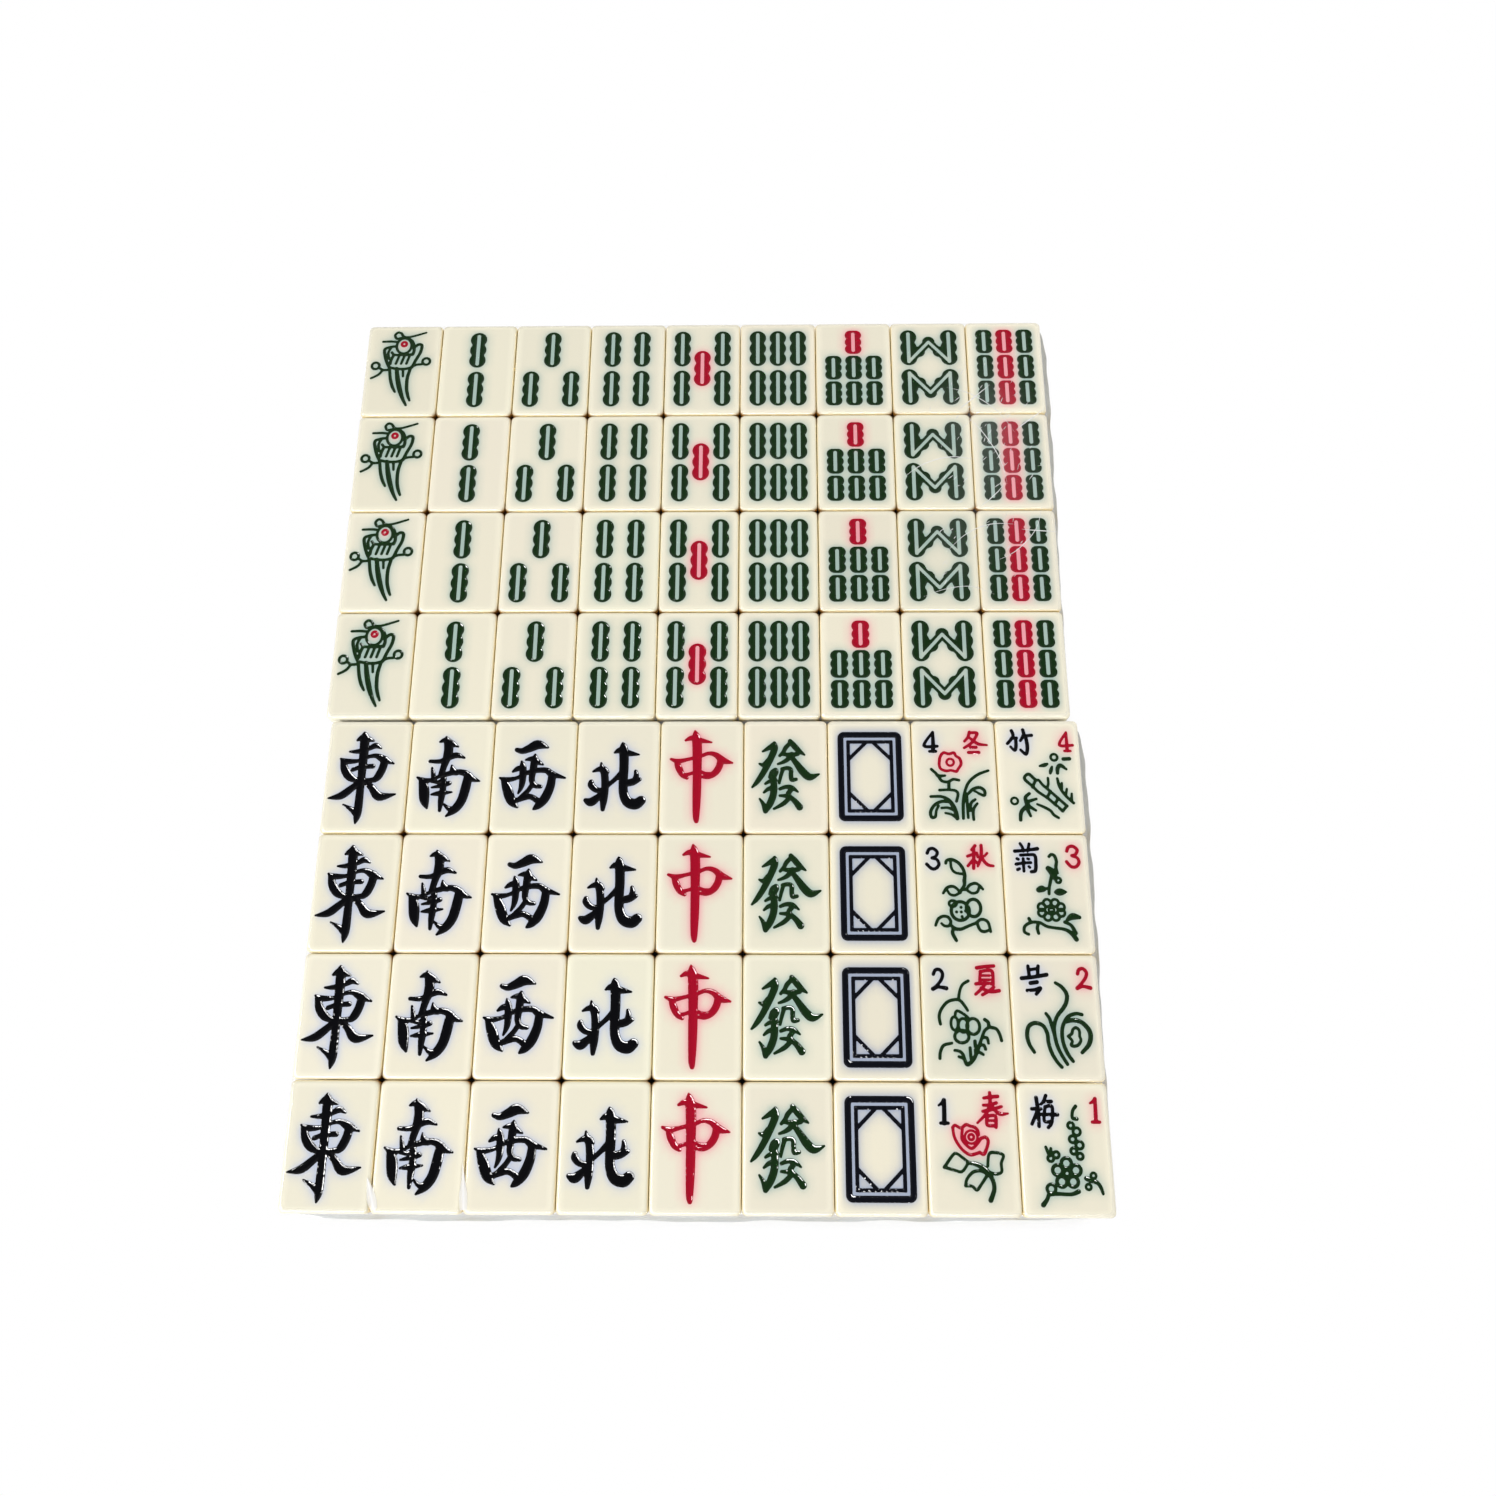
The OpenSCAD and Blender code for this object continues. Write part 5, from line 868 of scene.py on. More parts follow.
# Edges of a cell where its outline comes in and goes out, the inside on the left, for each set of
# inside corners. Corners count 1, 2, 4, 8 from the near left round to the far left, and edges 0 to
# 3 from the near one round to the left one
CROSSINGS = {
    1: [(0, 3)], 2: [(1, 0)], 3: [(1, 3)], 4: [(2, 1)], 5: [(0, 3), (2, 1)], 6: [(2, 0)],
    7: [(2, 3)], 8: [(3, 2)], 9: [(0, 2)], 10: [(1, 0), (3, 2)], 11: [(1, 2)], 12: [(3, 1)],
    13: [(0, 1)], 14: [(3, 0)],
}
# Share of a cell's side that an outline's point keeps from the side's ends
KEEP_OFF = 0.03
# Points nearer than this to the line between their neighbours are left out: it is finer along an
# outline and inside the paint, and coarser on the bare face
OUTLINE_FINE, PAINT_FINE, FACE_FINE = 0.012, 0.006, 0.04
LONGEST_CHORD = 3.0
THINNING_PASSES = 4
# Points that a loop needs to be thinned, and to be kept
THINNED_LOOP, SHORTEST_LOOP = 10, 6


def outlines(
    values: np.ndarray, level: float = 0.0, tolerance: float = OUTLINE_FINE
) -> list[np.ndarray]:
    """Closed outlines of a field at a level, by marching squares.

    Each point lies on a cell's side, where the field runs straight from one corner's value to
    the other's and meets the level.

    Args:
        values: field over the grid.
        level: value that the outline follows.
        tolerance: points nearer than this to the line between their neighbours are left out.

    Returns:
        Loops of points with the inside on their left.
    """
    v = np.pad(values - level, 1, constant_values=BEYOND)
    v = np.where(np.abs(v) < LEAST, LEAST, v)
    ny, nx = v.shape
    xs, ys = (
        np.concatenate([[a[0] - GRID.STEP], a, [a[-1] + GRID.STEP]]) for a in (GRID.x, GRID.y)
    )
    inside = (v < 0).astype(int)
    case = inside[:-1, :-1] + 2 * inside[:-1, 1:] + 4 * inside[1:, 1:] + 8 * inside[1:, :-1]
    upright = ny * nx
    following: dict[int, int] = {}
    for code, pairs in CROSSINGS.items():
        j, i = np.nonzero(case == code)
        edge = (j * nx + i, upright + j * nx + i + 1, (j + 1) * nx + i, upright + j * nx + i)
        for start, end in pairs:
            following.update(zip(edge[start].tolist(), edge[end].tolist()))

    def crossing(edge: int) -> tuple[float, float]:
        """Finds where the outline crosses a cell's side.

        Args:
            edge: the side's number.

        Returns:
            Its x and y.
        """
        j, i = divmod(edge % upright, nx)
        up = edge >= upright
        a, b = v[j, i], v[j + up, i + (not up)]
        t = min(max(a / (a - b), KEEP_OFF), 1 - KEEP_OFF) * GRID.STEP
        return (xs[i] + (0 if up else t), ys[j] + (t if up else 0))

    loops = []
    while following:
        first, edge = next(iter(following.items()))
        loop = [first]
        del following[first]
        while edge != first:
            loop.append(edge)
            edge = following.pop(edge)
        points = thinned(np.array([crossing(e) for e in loop]), tolerance)
        if len(points) >= SHORTEST_LOOP:
            loops.append(points)
    return loops


def thinned(loop: np.ndarray, tolerance: float) -> np.ndarray:
    """A loop without the points that lie on the line between their neighbours.

    A point's distance from that line is the area that it spans with it, over the line's length.

    Args:
        loop: the points.
        tolerance: distance from the line within which a point goes.

    Returns:
        The points that are left.
    """
    for _ in range(THINNING_PASSES):
        if len(loop) < THINNED_LOOP:
            break
        before, after = np.roll(loop, 1, 0), np.roll(loop, -1, 0)
        chord, arm = after - before, loop - before
        reach = np.hypot(chord[:, 0], chord[:, 1])
        off = np.abs(chord[:, 0] * arm[:, 1] - chord[:, 1] * arm[:, 0])
        drop = (off < tolerance * reach) & (reach < LONGEST_CHORD)
        drop[::2] = False
        loop = loop[~drop]
    return loop


def inside_loops(
    points: np.ndarray, loops: Sequence[np.ndarray], batch: int = 2000
) -> np.ndarray:
    """Whether each point lies inside the loops, by counting the edges to its right.

    Args:
        points: x and y of each point.
        loops: closed loops of points.
        batch: number of points worked out at a time.

    Returns:
        True for each point with an odd count.
    """
    a = np.vstack(loops)
    b = np.vstack([np.roll(loop, -1, 0) for loop in loops])
    rise = np.where(a[:, 1] == b[:, 1], 1.0, b[:, 1] - a[:, 1])
    odd = np.zeros(len(points), bool)
    for start in range(0, len(points), batch):
        p = points[start : start + batch, None]
        spans = (a[None, :, 1] > p[:, :, 1]) != (b[None, :, 1] > p[:, :, 1])
        x = a[None, :, 0] + (p[:, :, 1] - a[None, :, 1]) * (b[:, 0] - a[:, 0]) / rise
        odd[start : start + batch] = (spans & (p[:, :, 0] < x)).sum(1) % 2 == 1
    return odd


NO_POINTS = np.zeros((0, 2))


def triangulated(
    loops: Sequence[np.ndarray],
    extra: np.ndarray,
    keep_inside: Sequence[np.ndarray],
    cut: Sequence[np.ndarray] = (),
) -> tuple[np.ndarray, np.ndarray]:
    """Triangles over a flat region whose outline is held.

    Args:
        loops: loops whose edges the triangles keep to.
        extra: further points.
        keep_inside: triangles are kept inside these loops.
        cut: and left out inside these.

    Returns:
        The points, those of the loops first, and three indices for each triangle.
    """
    points = np.vstack([*loops, extra])
    edges = [pair for k, after in around_loops(loops) for pair in zip(k.tolist(), after.tolist())]
    out = delaunay_2d_cdt([Vector(p) for p in points.tolist()], edges, [], 0, 1e-7, False)
    flat = np.array([(p.x, p.y) for p in out[0]])
    faces = np.array(out[2])
    if len(flat) != len(points):
        log.warning("outline of %d points came back with %d", len(points), len(flat))
    middle = flat[faces].mean(1)
    keep = inside_loops(middle, keep_inside)
    if len(cut):
        keep &= ~inside_loops(middle, cut)
    return flat, faces[keep]


def around_loops(loops: Sequence[np.ndarray]) -> Iterator[tuple[np.ndarray, np.ndarray]]:
    """Numbers the points of loops laid one after another.

    Args:
        loops: closed loops of points.

    Returns:
        For each loop, its points' indices and those of the points that follow them.
    """
    start = 0
    for loop in loops:
        step = np.arange(len(loop))
        yield start + step, start + (step + 1) % len(loop)
        start += len(loop)


def blurred(values: np.ndarray, spread: float) -> np.ndarray:
    """Grid blurred by a bell curve, along each axis in turn.

    The curve falls as the exponential of minus half the squared share of its spread.

    Args:
        values: values over the grid.
        spread: the curve's spread in millimetres.

    Returns:
        The blurred values.
    """
    reach = int(3 * spread / GRID.STEP)
    bell = np.exp(-0.5 * (np.arange(-reach, reach + 1) * GRID.STEP / spread) ** 2)
    bell /= bell.sum()
    for axis in (0, 1):
        values = np.apply_along_axis(np.convolve, axis, values, bell, "same")
    return values
def at_height(flat: np.ndarray, height: float | np.ndarray) -> np.ndarray:
    """Points of a flat drawing, set at one height or each at its own."""
    return np.column_stack([flat, np.broadcast_to(height, len(flat))])


@dataclass
class Mesh:
    """Vertices, polygons and vertex colours of a piece while it is put together."""

    points: list[np.ndarray] = field(default_factory=list)
    faces: list[list[int]] = field(default_factory=list)
    smooth: list[bool] = field(default_factory=list)
    tints: list[np.ndarray] = field(default_factory=list)
    count: int = 0

    def add(self, points: np.ndarray, tints: np.ndarray) -> int:
        """Adds points.

        Args:
            points: the points, in millimetres.
            tints: their colours with alpha, or one colour for all.

        Returns:
            Index of the first one.
        """
        self.points.append(points)
        self.tints.append(np.broadcast_to(tints, (len(points), 4)))
        self.count += len(points)
        return self.count - len(points)

    def close(self, faces: np.ndarray, smooth: bool) -> None:
        """Adds polygons.

        Args:
            faces: indices of each polygon's points, counter-clockwise from outside.
            smooth: whether they are shaded as one round surface.
        """
        self.faces.extend(faces.tolist())
        self.smooth.extend([smooth] * len(faces))

    def stack(self, rings: Sequence[tuple[np.ndarray, np.ndarray]]) -> list[int]:
        """Joins closed rings of points, counter-clockwise from above, with faces outward.

        Args:
            rings: points and colours of each ring, from the lowest.

        Returns:
            Index of each ring's first point.
        """
        starts = [self.add(points, tints) for points, tints in rings]
        (k, after), = around_loops([rings[0][0]])
        for low, high in zip(starts[:-1], starts[1:]):
            self.close(np.column_stack([low + k, low + after, high + after, high + k]), True)
        return starts

    def walls(self, low: int, high: int, loops: Sequence[np.ndarray]) -> None:
        """Joins two copies of the same loops with upright faces.

        Args:
            low: index of the first copy's first point.
            high: index of the second copy's, which lies on the other side of the wall.
            loops: the loops.
        """
        for k, after in around_loops(loops):
            wall = np.column_stack([low + k, low + after, high + after, high + k])
            self.close(wall, False)

    def bottom(self, count: int) -> None:
        """Closes the first ring, of this many points, with one face that looks down."""
        self.close(np.arange(count)[None, ::-1], False)

    def append(self, other: "Mesh", place: np.ndarray) -> None:
        """Adds another mesh.

        Args:
            other: the mesh.
            place: where its origin goes, in millimetres.
        """
        start = self.add(np.vstack(other.points) + place, np.vstack(other.tints))
        self.faces.extend([[start + i for i in f] for f in other.faces])
        self.smooth.extend(other.smooth)

    def build(self, name: str, material: bpy.types.Material) -> bpy.types.Object:
        """Makes the Blender object, in metres, with its material and vertex colours.

        Args:
            name: the object's name.
            material: its material.

        Returns:
            The object, at the origin.
        """
        mesh = bpy.data.meshes.new(name)
        mesh.from_pydata((np.vstack(self.points) * MM).tolist(), [], self.faces)
        mesh.polygons.foreach_set("use_smooth", np.array(self.smooth))
        tint = mesh.attributes.new("tint", "FLOAT_COLOR", "POINT")
        tint.data.foreach_set("color", np.vstack(self.tints).astype(np.float32).ravel())
        mesh.materials.append(material)
        mesh.update()
        obj = bpy.data.objects.new(name, mesh)
        bpy.context.scene.collection.objects.link(obj)
        return obj


# Angles in radians at which a rounded lower edge gets a ring, and the rings of an upper one
LOW_TURNS, TOP_RINGS, FILM_RINGS = (0.5, 1.0), 7, 6
# Shares of the way along a rounded rectangle's straight sides that get a point of their own
ALONG_SIDE = np.array([0.06, 0.2, 0.5, 0.8, 0.94])[:, None]
# Right, far, left and near side: the corner it starts from, and its direction
RECTANGLE = (((1, -1), (0, 1)), ((1, 1), (-1, 0)), ((-1, 1), (0, -1)), ((-1, -1), (1, 0)))


def rounded_ring(width: float, length: float, corner: float, per_corner: int = 7) -> np.ndarray:
    """Rounded rectangle's points, counter-clockwise, with a few along each straight side.

    Each corner is a quarter circle, by the cosine and sine of its angle.

    Args:
        width: side along x.
        length: side along y.
        corner: radius of the corners.
        per_corner: number of points in each corner.

    Returns:
        The points, from the near right corner.
    """
    half = np.array([width / 2 - corner, length / 2 - corner])
    turn = np.linspace(0, math.pi / 2, per_corner)
    points = []
    for k, (signs, along) in enumerate(RECTANGLE):
        angle = turn - math.pi / 2 + k * math.pi / 2
        (x, y), straight = signs * half, 2 * half[1 - k % 2]
        arc = np.column_stack([x + corner * np.cos(angle), y + corner * np.sin(angle)])
        points += [arc, arc[-1] + ALONG_SIDE * straight * np.array(along, float)]
    return np.vstack(points)


def mixed(a: np.ndarray, b: np.ndarray, share: np.ndarray | float) -> np.ndarray:
    """Colours run from a to b by share."""
    return a + (b - a) * np.clip(share, 0, 1)


IVORY = rgba("#EEE8D3")
# Painted highlight: the rounded rim and the sides, lighter than the face
RIM_HIGHLIGHT = rgba("#F6F0DA")
# Painted glow of light through the plastic, golden on sides that face a neighbour
GAP_GLOW = rgba("#E6CB78")
# Painted shade: dark brown where the tiles' corners meet round a deep hole
CORNER_SHADE = rgba("#93662A")
FLOOR_GREY = rgba("#8A8478")
WHITE = rgba("#FFFFFF")
# Painted shade round each paint: light scattered in the plastic and taken up by the paint
SCATTER_SHADE = {
    Paint.BLACK: rgba("#C3CADB"),
    Paint.BLUE_BLACK: rgba("#A6B0C4"),
    Paint.GREEN: rgba("#A9BFB6"),
    Paint.RED: rgba("#F2A5AC"),
}


@dataclass(frozen=True)
class Shading:
    """Painted light and shade on the plastic: lengths in millimetres, and gains as shares.

    Round the paint lies a painted shade of light scattered in the plastic, wide and faint with a
    narrow core, and the face lightens towards its rim in a painted highlight. A tile's side turns
    golden within gap_reach of a neighbour, from gap_below under the face down, a painted glow of
    light through the plastic, and brown where two neighbours meet at a corner, a painted shade. A
    ring gap_start below the rounded edge holds that colour from there to the base.
    """

    rim_highlight_run: float = 1.2
    halo_wide: float = 1.5
    halo_core: float = 0.5
    core_gain: float = 0.2
    halo_gain: float = 1.5
    gap_start: float = 2.0
    gap_reach: float = 3.2
    gap_below: float = 0.2
    gap_fade: float = 1.5
    gap_gain: float = 1.3
    corner_gain: float = 3.0


SHADING = Shading()


@dataclass(frozen=True)
class Meshing:
    """Where a tile's face and paint get their further points, in millimetres.

    Rings follow the mark at face_rings outside it and at paint_rings inside it. Beyond the rings
    the face has points across_step and along_step apart, and the paint has every core_pick-th
    point of the grid.
    """

    face_rings: tuple[float, ...] = (0.3, 0.8, 1.5)
    face_clear: float = 0.15
    face_beyond: float = 1.9
    rim_clear: float = 0.4
    across: float = 11.0
    across_step: float = 2.2
    along: float = 17.0
    along_step: float = 2.125
    paint_rings: tuple[float, ...] = (-0.12, -0.26, -0.42, -0.6)
    paint_beyond: float = -0.75
    core_pick: int = 5


MESHING = Meshing()


class TileMaker:
    """Makes the moulded tile and its paint from the fields of one mark."""

    def __init__(self, fields: dict[Paint, np.ndarray], size: TileSize = TILE) -> None:
        """Finds the mark's outlines, and the painted shade of scattered light round its paint.

        Args:
            fields: field of each paint in the mark.
            size: sizes of the tile.
        """
        self.size = size
        self.fields = fields
        self.union = np.minimum.reduce(list(fields.values()))
        self.cuts = outlines(self.union)
        self.near = {}
        # Painted shade of light scattered in the plastic: each paint's ink, blurred wide with a
        # narrow core
        for paint, values in fields.items():
            ink = np.clip(0.5 - values / GRID.STEP, 0, 1)
            core = SHADING.core_gain * blurred(ink, SHADING.halo_core)
            self.near[paint] = blurred(ink, SHADING.halo_wide) + core

    def face_tint(self, points: np.ndarray) -> np.ndarray:
        """Ivory, with a painted shade of scattered light near the paint and a painted highlight at
        the rim.

        Args:
            points: x and y of points of the face.

        Returns:
            Their colours.
        """
        tint = np.broadcast_to(IVORY, (len(points), 4))
        # Painted shade of scattered light round each paint
        for paint, near in self.near.items():
            share = SHADING.halo_gain * GRID.at(near, points)[:, None]
            tint = mixed(tint, SCATTER_SHADE[paint], share)
        # Painted highlight: lighter within the rounded edge, fading in over a short run inside it
        half = np.array([self.size.width, self.size.length]) / 2
        away = (half - np.abs(points)).min(1)[:, None]
        return mixed(RIM_HIGHLIGHT, tint, (away - self.size.edge) / SHADING.rim_highlight_run)

    def side_tint(self, ring: np.ndarray, height: float, joined: Sides) -> np.ndarray:
        """Colour of the tile's side: the rim's painted highlight, with a painted golden glow by a
        neighbour.

        Args:
            ring: points of the side.
            height: their height above the tile's base.
            joined: whether there is a tile to the right, far, left and near side.

        Returns:
            Their colours.
        """
        s = self.size
        toward = np.column_stack([ring, -ring])
        reach = np.tile([s.width / 2, s.length / 2], 2)
        near = np.clip(1 - (reach - toward) / SHADING.gap_reach, 0, 1) * np.array(joined, float)
        down = np.clip((s.height - SHADING.gap_below - height) / SHADING.gap_fade, 0, 1)
        side = near.max(1)[:, None] * down
        corner = (near * np.roll(near, -1, 1)).max(1)[:, None] * down
        # Painted golden glow of light through the plastic, on sides that face a neighbour
        golden = mixed(RIM_HIGHLIGHT, GAP_GLOW, side * SHADING.gap_gain)
        # Painted brown shade where two neighbours meet at a corner
        return mixed(golden, CORNER_SHADE, corner * SHADING.corner_gain)

    @cached_property
    def levels(self) -> list[tuple[float, float]]:
        """Rings of the tile's side, whose rounded edges are quarter circles.

        Returns:
            Height and inset of each, from the lowest.
        """
        s = self.size
        low = [(0.0, s.edge)]
        low += [(s.edge * (1 - math.cos(a)), s.edge * (1 - math.sin(a))) for a in LOW_TURNS]
        low += [(s.edge, 0.0), (s.height - s.edge - SHADING.gap_start, 0.0)]
        turns = np.linspace(0, math.pi / 2, TOP_RINGS)
        return low + [
            (s.height - s.edge * (1 - math.sin(a)), s.edge * (1 - math.cos(a))) for a in turns
        ]

    def body(self, joined: Sides) -> Mesh:
        """The moulded tile: rounded all over, with the mark's pockets cut into its face.

        Args:
            joined: whether there is a tile to the right, far, left and near side.

        Returns:
            The mesh.
        """
        s, mesh, rings = self.size, Mesh(), []
        for height, inset in self.levels:
            ring = rounded_ring(s.width - 2 * inset, s.length - 2 * inset, s.corner_at(inset))
            rings.append((at_height(ring, height), self.side_tint(ring, height, joined)))
        count = len(rings[0][0])
        rim = mesh.stack(rings)[-1]
        mesh.bottom(count)
        flat, faces, floor_flat, floor_faces = self.face_parts
        inner = flat[count:]
        top = mesh.add(at_height(inner, s.height), self.face_tint(inner))
        index = np.concatenate([rim + np.arange(count), top + np.arange(len(inner))])
        mesh.close(index[faces], False)
        floor = mesh.add(at_height(floor_flat, s.height - s.floor), FLOOR_GREY)
        mesh.close(floor + floor_faces, False)
        mesh.walls(top, floor, self.cuts)
        return mesh

    @cached_property
    def face_parts(self) -> tuple[np.ndarray, ...]:
        """The tile's top within its rim, and the pockets' floor.

        Returns:
            Points and triangles of the top, and then of the floor.
        """
        s, m = self.size, MESHING
        rim = rounded_ring(s.width - 2 * s.edge, s.length - 2 * s.edge, s.face_corner)
        around = [np.vstack(outlines(self.union, d, FACE_FINE)) for d in m.face_rings]
        gx, gy = np.meshgrid(
            np.arange(-m.across, m.across + 0.1, m.across_step),
            np.arange(-m.along, m.along + 0.1, m.along_step),
        )
        spread = np.column_stack([gx.ravel(), gy.ravel()])
        around.append(spread[GRID.at(self.union, spread) > m.face_beyond])
        extra = np.vstack(around)
        half = np.array([s.width, s.length]) / 2 - s.edge - m.rim_clear
        within = (np.abs(extra) < half).all(1) & (GRID.at(self.union, extra) > m.face_clear)
        flat, faces = triangulated([rim] + self.cuts, extra[within], [rim], self.cuts)
        floor_flat, floor_faces = triangulated(self.cuts, NO_POINTS, self.cuts)
        return flat, faces, floor_flat, floor_faces

    def paint(self, paint: Paint) -> Mesh:
        """One colour of paint: glossy and hollow, deepest along the middle of each stroke.

        The surface leaves its edge level, falls steepest half way down the wall and ends level:
        depth times the square of the share of the way, times three less twice that share.

        Args:
            paint: which of the mark's paints.

        Returns:
            The mesh, closed with a flat underside.
        """
        s, m, mesh = self.size, MESHING, Mesh()
        values = self.fields[paint]
        loops = outlines(values)
        rings = [outlines(values, d, PAINT_FINE) for d in m.paint_rings]
        inner = [np.vstack(found) for found in rings if found]
        core = np.column_stack([GRID.gx.ravel(), GRID.gy.ravel()])[:: m.core_pick]
        inner.append(core[GRID.at(values, core) < m.paint_beyond])
        flat, faces = triangulated(loops, np.vstack(inner), loops)
        depth = np.clip(-GRID.at(values, flat) / s.wall_run, 0, 1)
        depth[: sum(len(loop) for loop in loops)] = 0
        drop = s.paint_hollow * depth**2 * (3 - 2 * depth)
        top = mesh.add(at_height(flat, s.height - s.paint_edge - drop), WHITE)
        mesh.close(top + faces, True)
        under, under_faces = triangulated(loops, NO_POINTS, loops)
        low = mesh.add(at_height(under, s.height - s.paint_floor), WHITE)
        mesh.close((low + under_faces)[:, ::-1], False)
        mesh.walls(low, top, loops)
        return mesh
@dataclass(frozen=True)
class Finish:
    """Look of one material. Its colour is that of the vertices where it names none."""

    name: str
    colour: str | None
    roughness: float
    coat: float = 0.0
    ior: float = 1.5
    grain: float = 0.0


# Urea moulding, cast in ivory and tumbled: a soft gloss over a faint grain, with crisp rims
IVORY_PLASTIC = Finish("ivory_urea_moulded", None, 0.22, coat=0.35, grain=0.015)
# Enamel rubbed into the engraving and left to level itself: a wet gloss with sharp lights
ENAMELS = {
    Paint.BLACK: Finish("black_enamel_glossy", "#040408", 0.06, coat=1.0, ior=1.6),
    Paint.BLUE_BLACK: Finish("blue_black_enamel_glossy", "#080A14", 0.06, coat=1.0, ior=1.6),
    Paint.GREEN: Finish("green_enamel_glossy", "#142F12", 0.07, coat=1.0, ior=1.6),
    Paint.RED: Finish("red_enamel_glossy", "#A80A27", 0.08, coat=0.8),
}
COAT_ROUGHNESS = 0.03
FILM_ROUGHNESS = 0.12
# Faint waves left by moulding and tumbling, 11 mm long: the noise's turns in a metre
GRAIN_SCALE = 90.0


def node(
    tree: bpy.types.NodeTree,
    kind: str,
    inputs: dict[str | int, object] | None = None,
    **settings: object,
) -> bpy.types.Node:
    """Adds a shader node with its settings, and sets or links its inputs.

    Args:
        tree: node tree that it goes in.
        kind: its kind, as Blender names it after ShaderNode.
        inputs: the value, or the socket to link, of each input by name or number.
        settings: its own properties.

    Returns:
        The node.
    """
    made = tree.nodes.new(f"ShaderNode{kind}")
    for name, value in settings.items():
        setattr(made, name, value)
    for name, value in (inputs or {}).items():
        if isinstance(value, bpy.types.NodeSocket):
            tree.links.new(value, made.inputs[name])
        else:
            made.inputs[name].default_value = value
    return made


def blank(block: bpy.types.Material | bpy.types.World) -> bpy.types.NodeTree:
    """Empties the node tree of a new material or world.

    Args:
        block: the material or the world.

    Returns:
        Its tree.
    """
    block.use_nodes = True
    block.node_tree.nodes.clear()
    return block.node_tree


def plastic(finish: Finish) -> bpy.types.Material:
    """Makes an opaque plastic or paint from its finish.

    Args:
        finish: the look to make.

    Returns:
        The material.
    """
    material = bpy.data.materials.new(finish.name)
    tree = blank(material)
    look = {
        "Roughness": finish.roughness,
        "IOR": finish.ior,
        "Coat Weight": finish.coat,
        "Coat Roughness": COAT_ROUGHNESS,
    }
    if finish.colour:
        look["Base Color"] = (*linear(finish.colour), 1)
    shader = node(tree, "BsdfPrincipled", look)
    if not finish.colour:
        tint = node(tree, "Attribute", attribute_name="tint")
        tree.links.new(tint.outputs["Color"], shader.inputs["Base Color"])
    if finish.grain:
        place = node(tree, "TexCoord")
        waves = {"Vector": place.outputs["Object"], "Scale": GRAIN_SCALE, "Detail": 2.0}
        noise = node(tree, "TexNoise", waves)
        rise = {"Strength": finish.grain, "Distance": MM, "Height": noise.outputs[0]}
        bump = node(tree, "Bump", rise)
        tree.links.new(bump.outputs[0], shader.inputs["Normal"])
    node(tree, "OutputMaterial", {"Surface": shader.outputs[0]})
    return material


def film_material() -> bpy.types.Material:
    """Clear shrink film of polyolefin: a thin gloss, whose white shows by its vertex colours'
    alpha;
    where that rises it carries painted reflections and highlights.

    Returns:
        The material.
    """
    material = bpy.data.materials.new("clear_shrink_film")
    tree = blank(material)
    tint = node(tree, "Attribute", attribute_name="tint")
    look = {"Base Color": tint.outputs["Color"], "Roughness": FILM_ROUGHNESS}
    gloss = node(tree, "BsdfPrincipled", look)
    clear = node(tree, "BsdfTransparent", {"Color": (1, 1, 1, 1)})
    layers = {0: tint.outputs["Alpha"], 1: clear.outputs[0], 2: gloss.outputs[0]}
    both = node(tree, "MixShader", layers)
    node(tree, "OutputMaterial", {"Surface": both.outputs[0]})
    return material


# Spread of the tiles' lightness, as a share; their hue varies by half of it
SHADE_SPREAD, HUE_SHARE = 0.012, 0.5


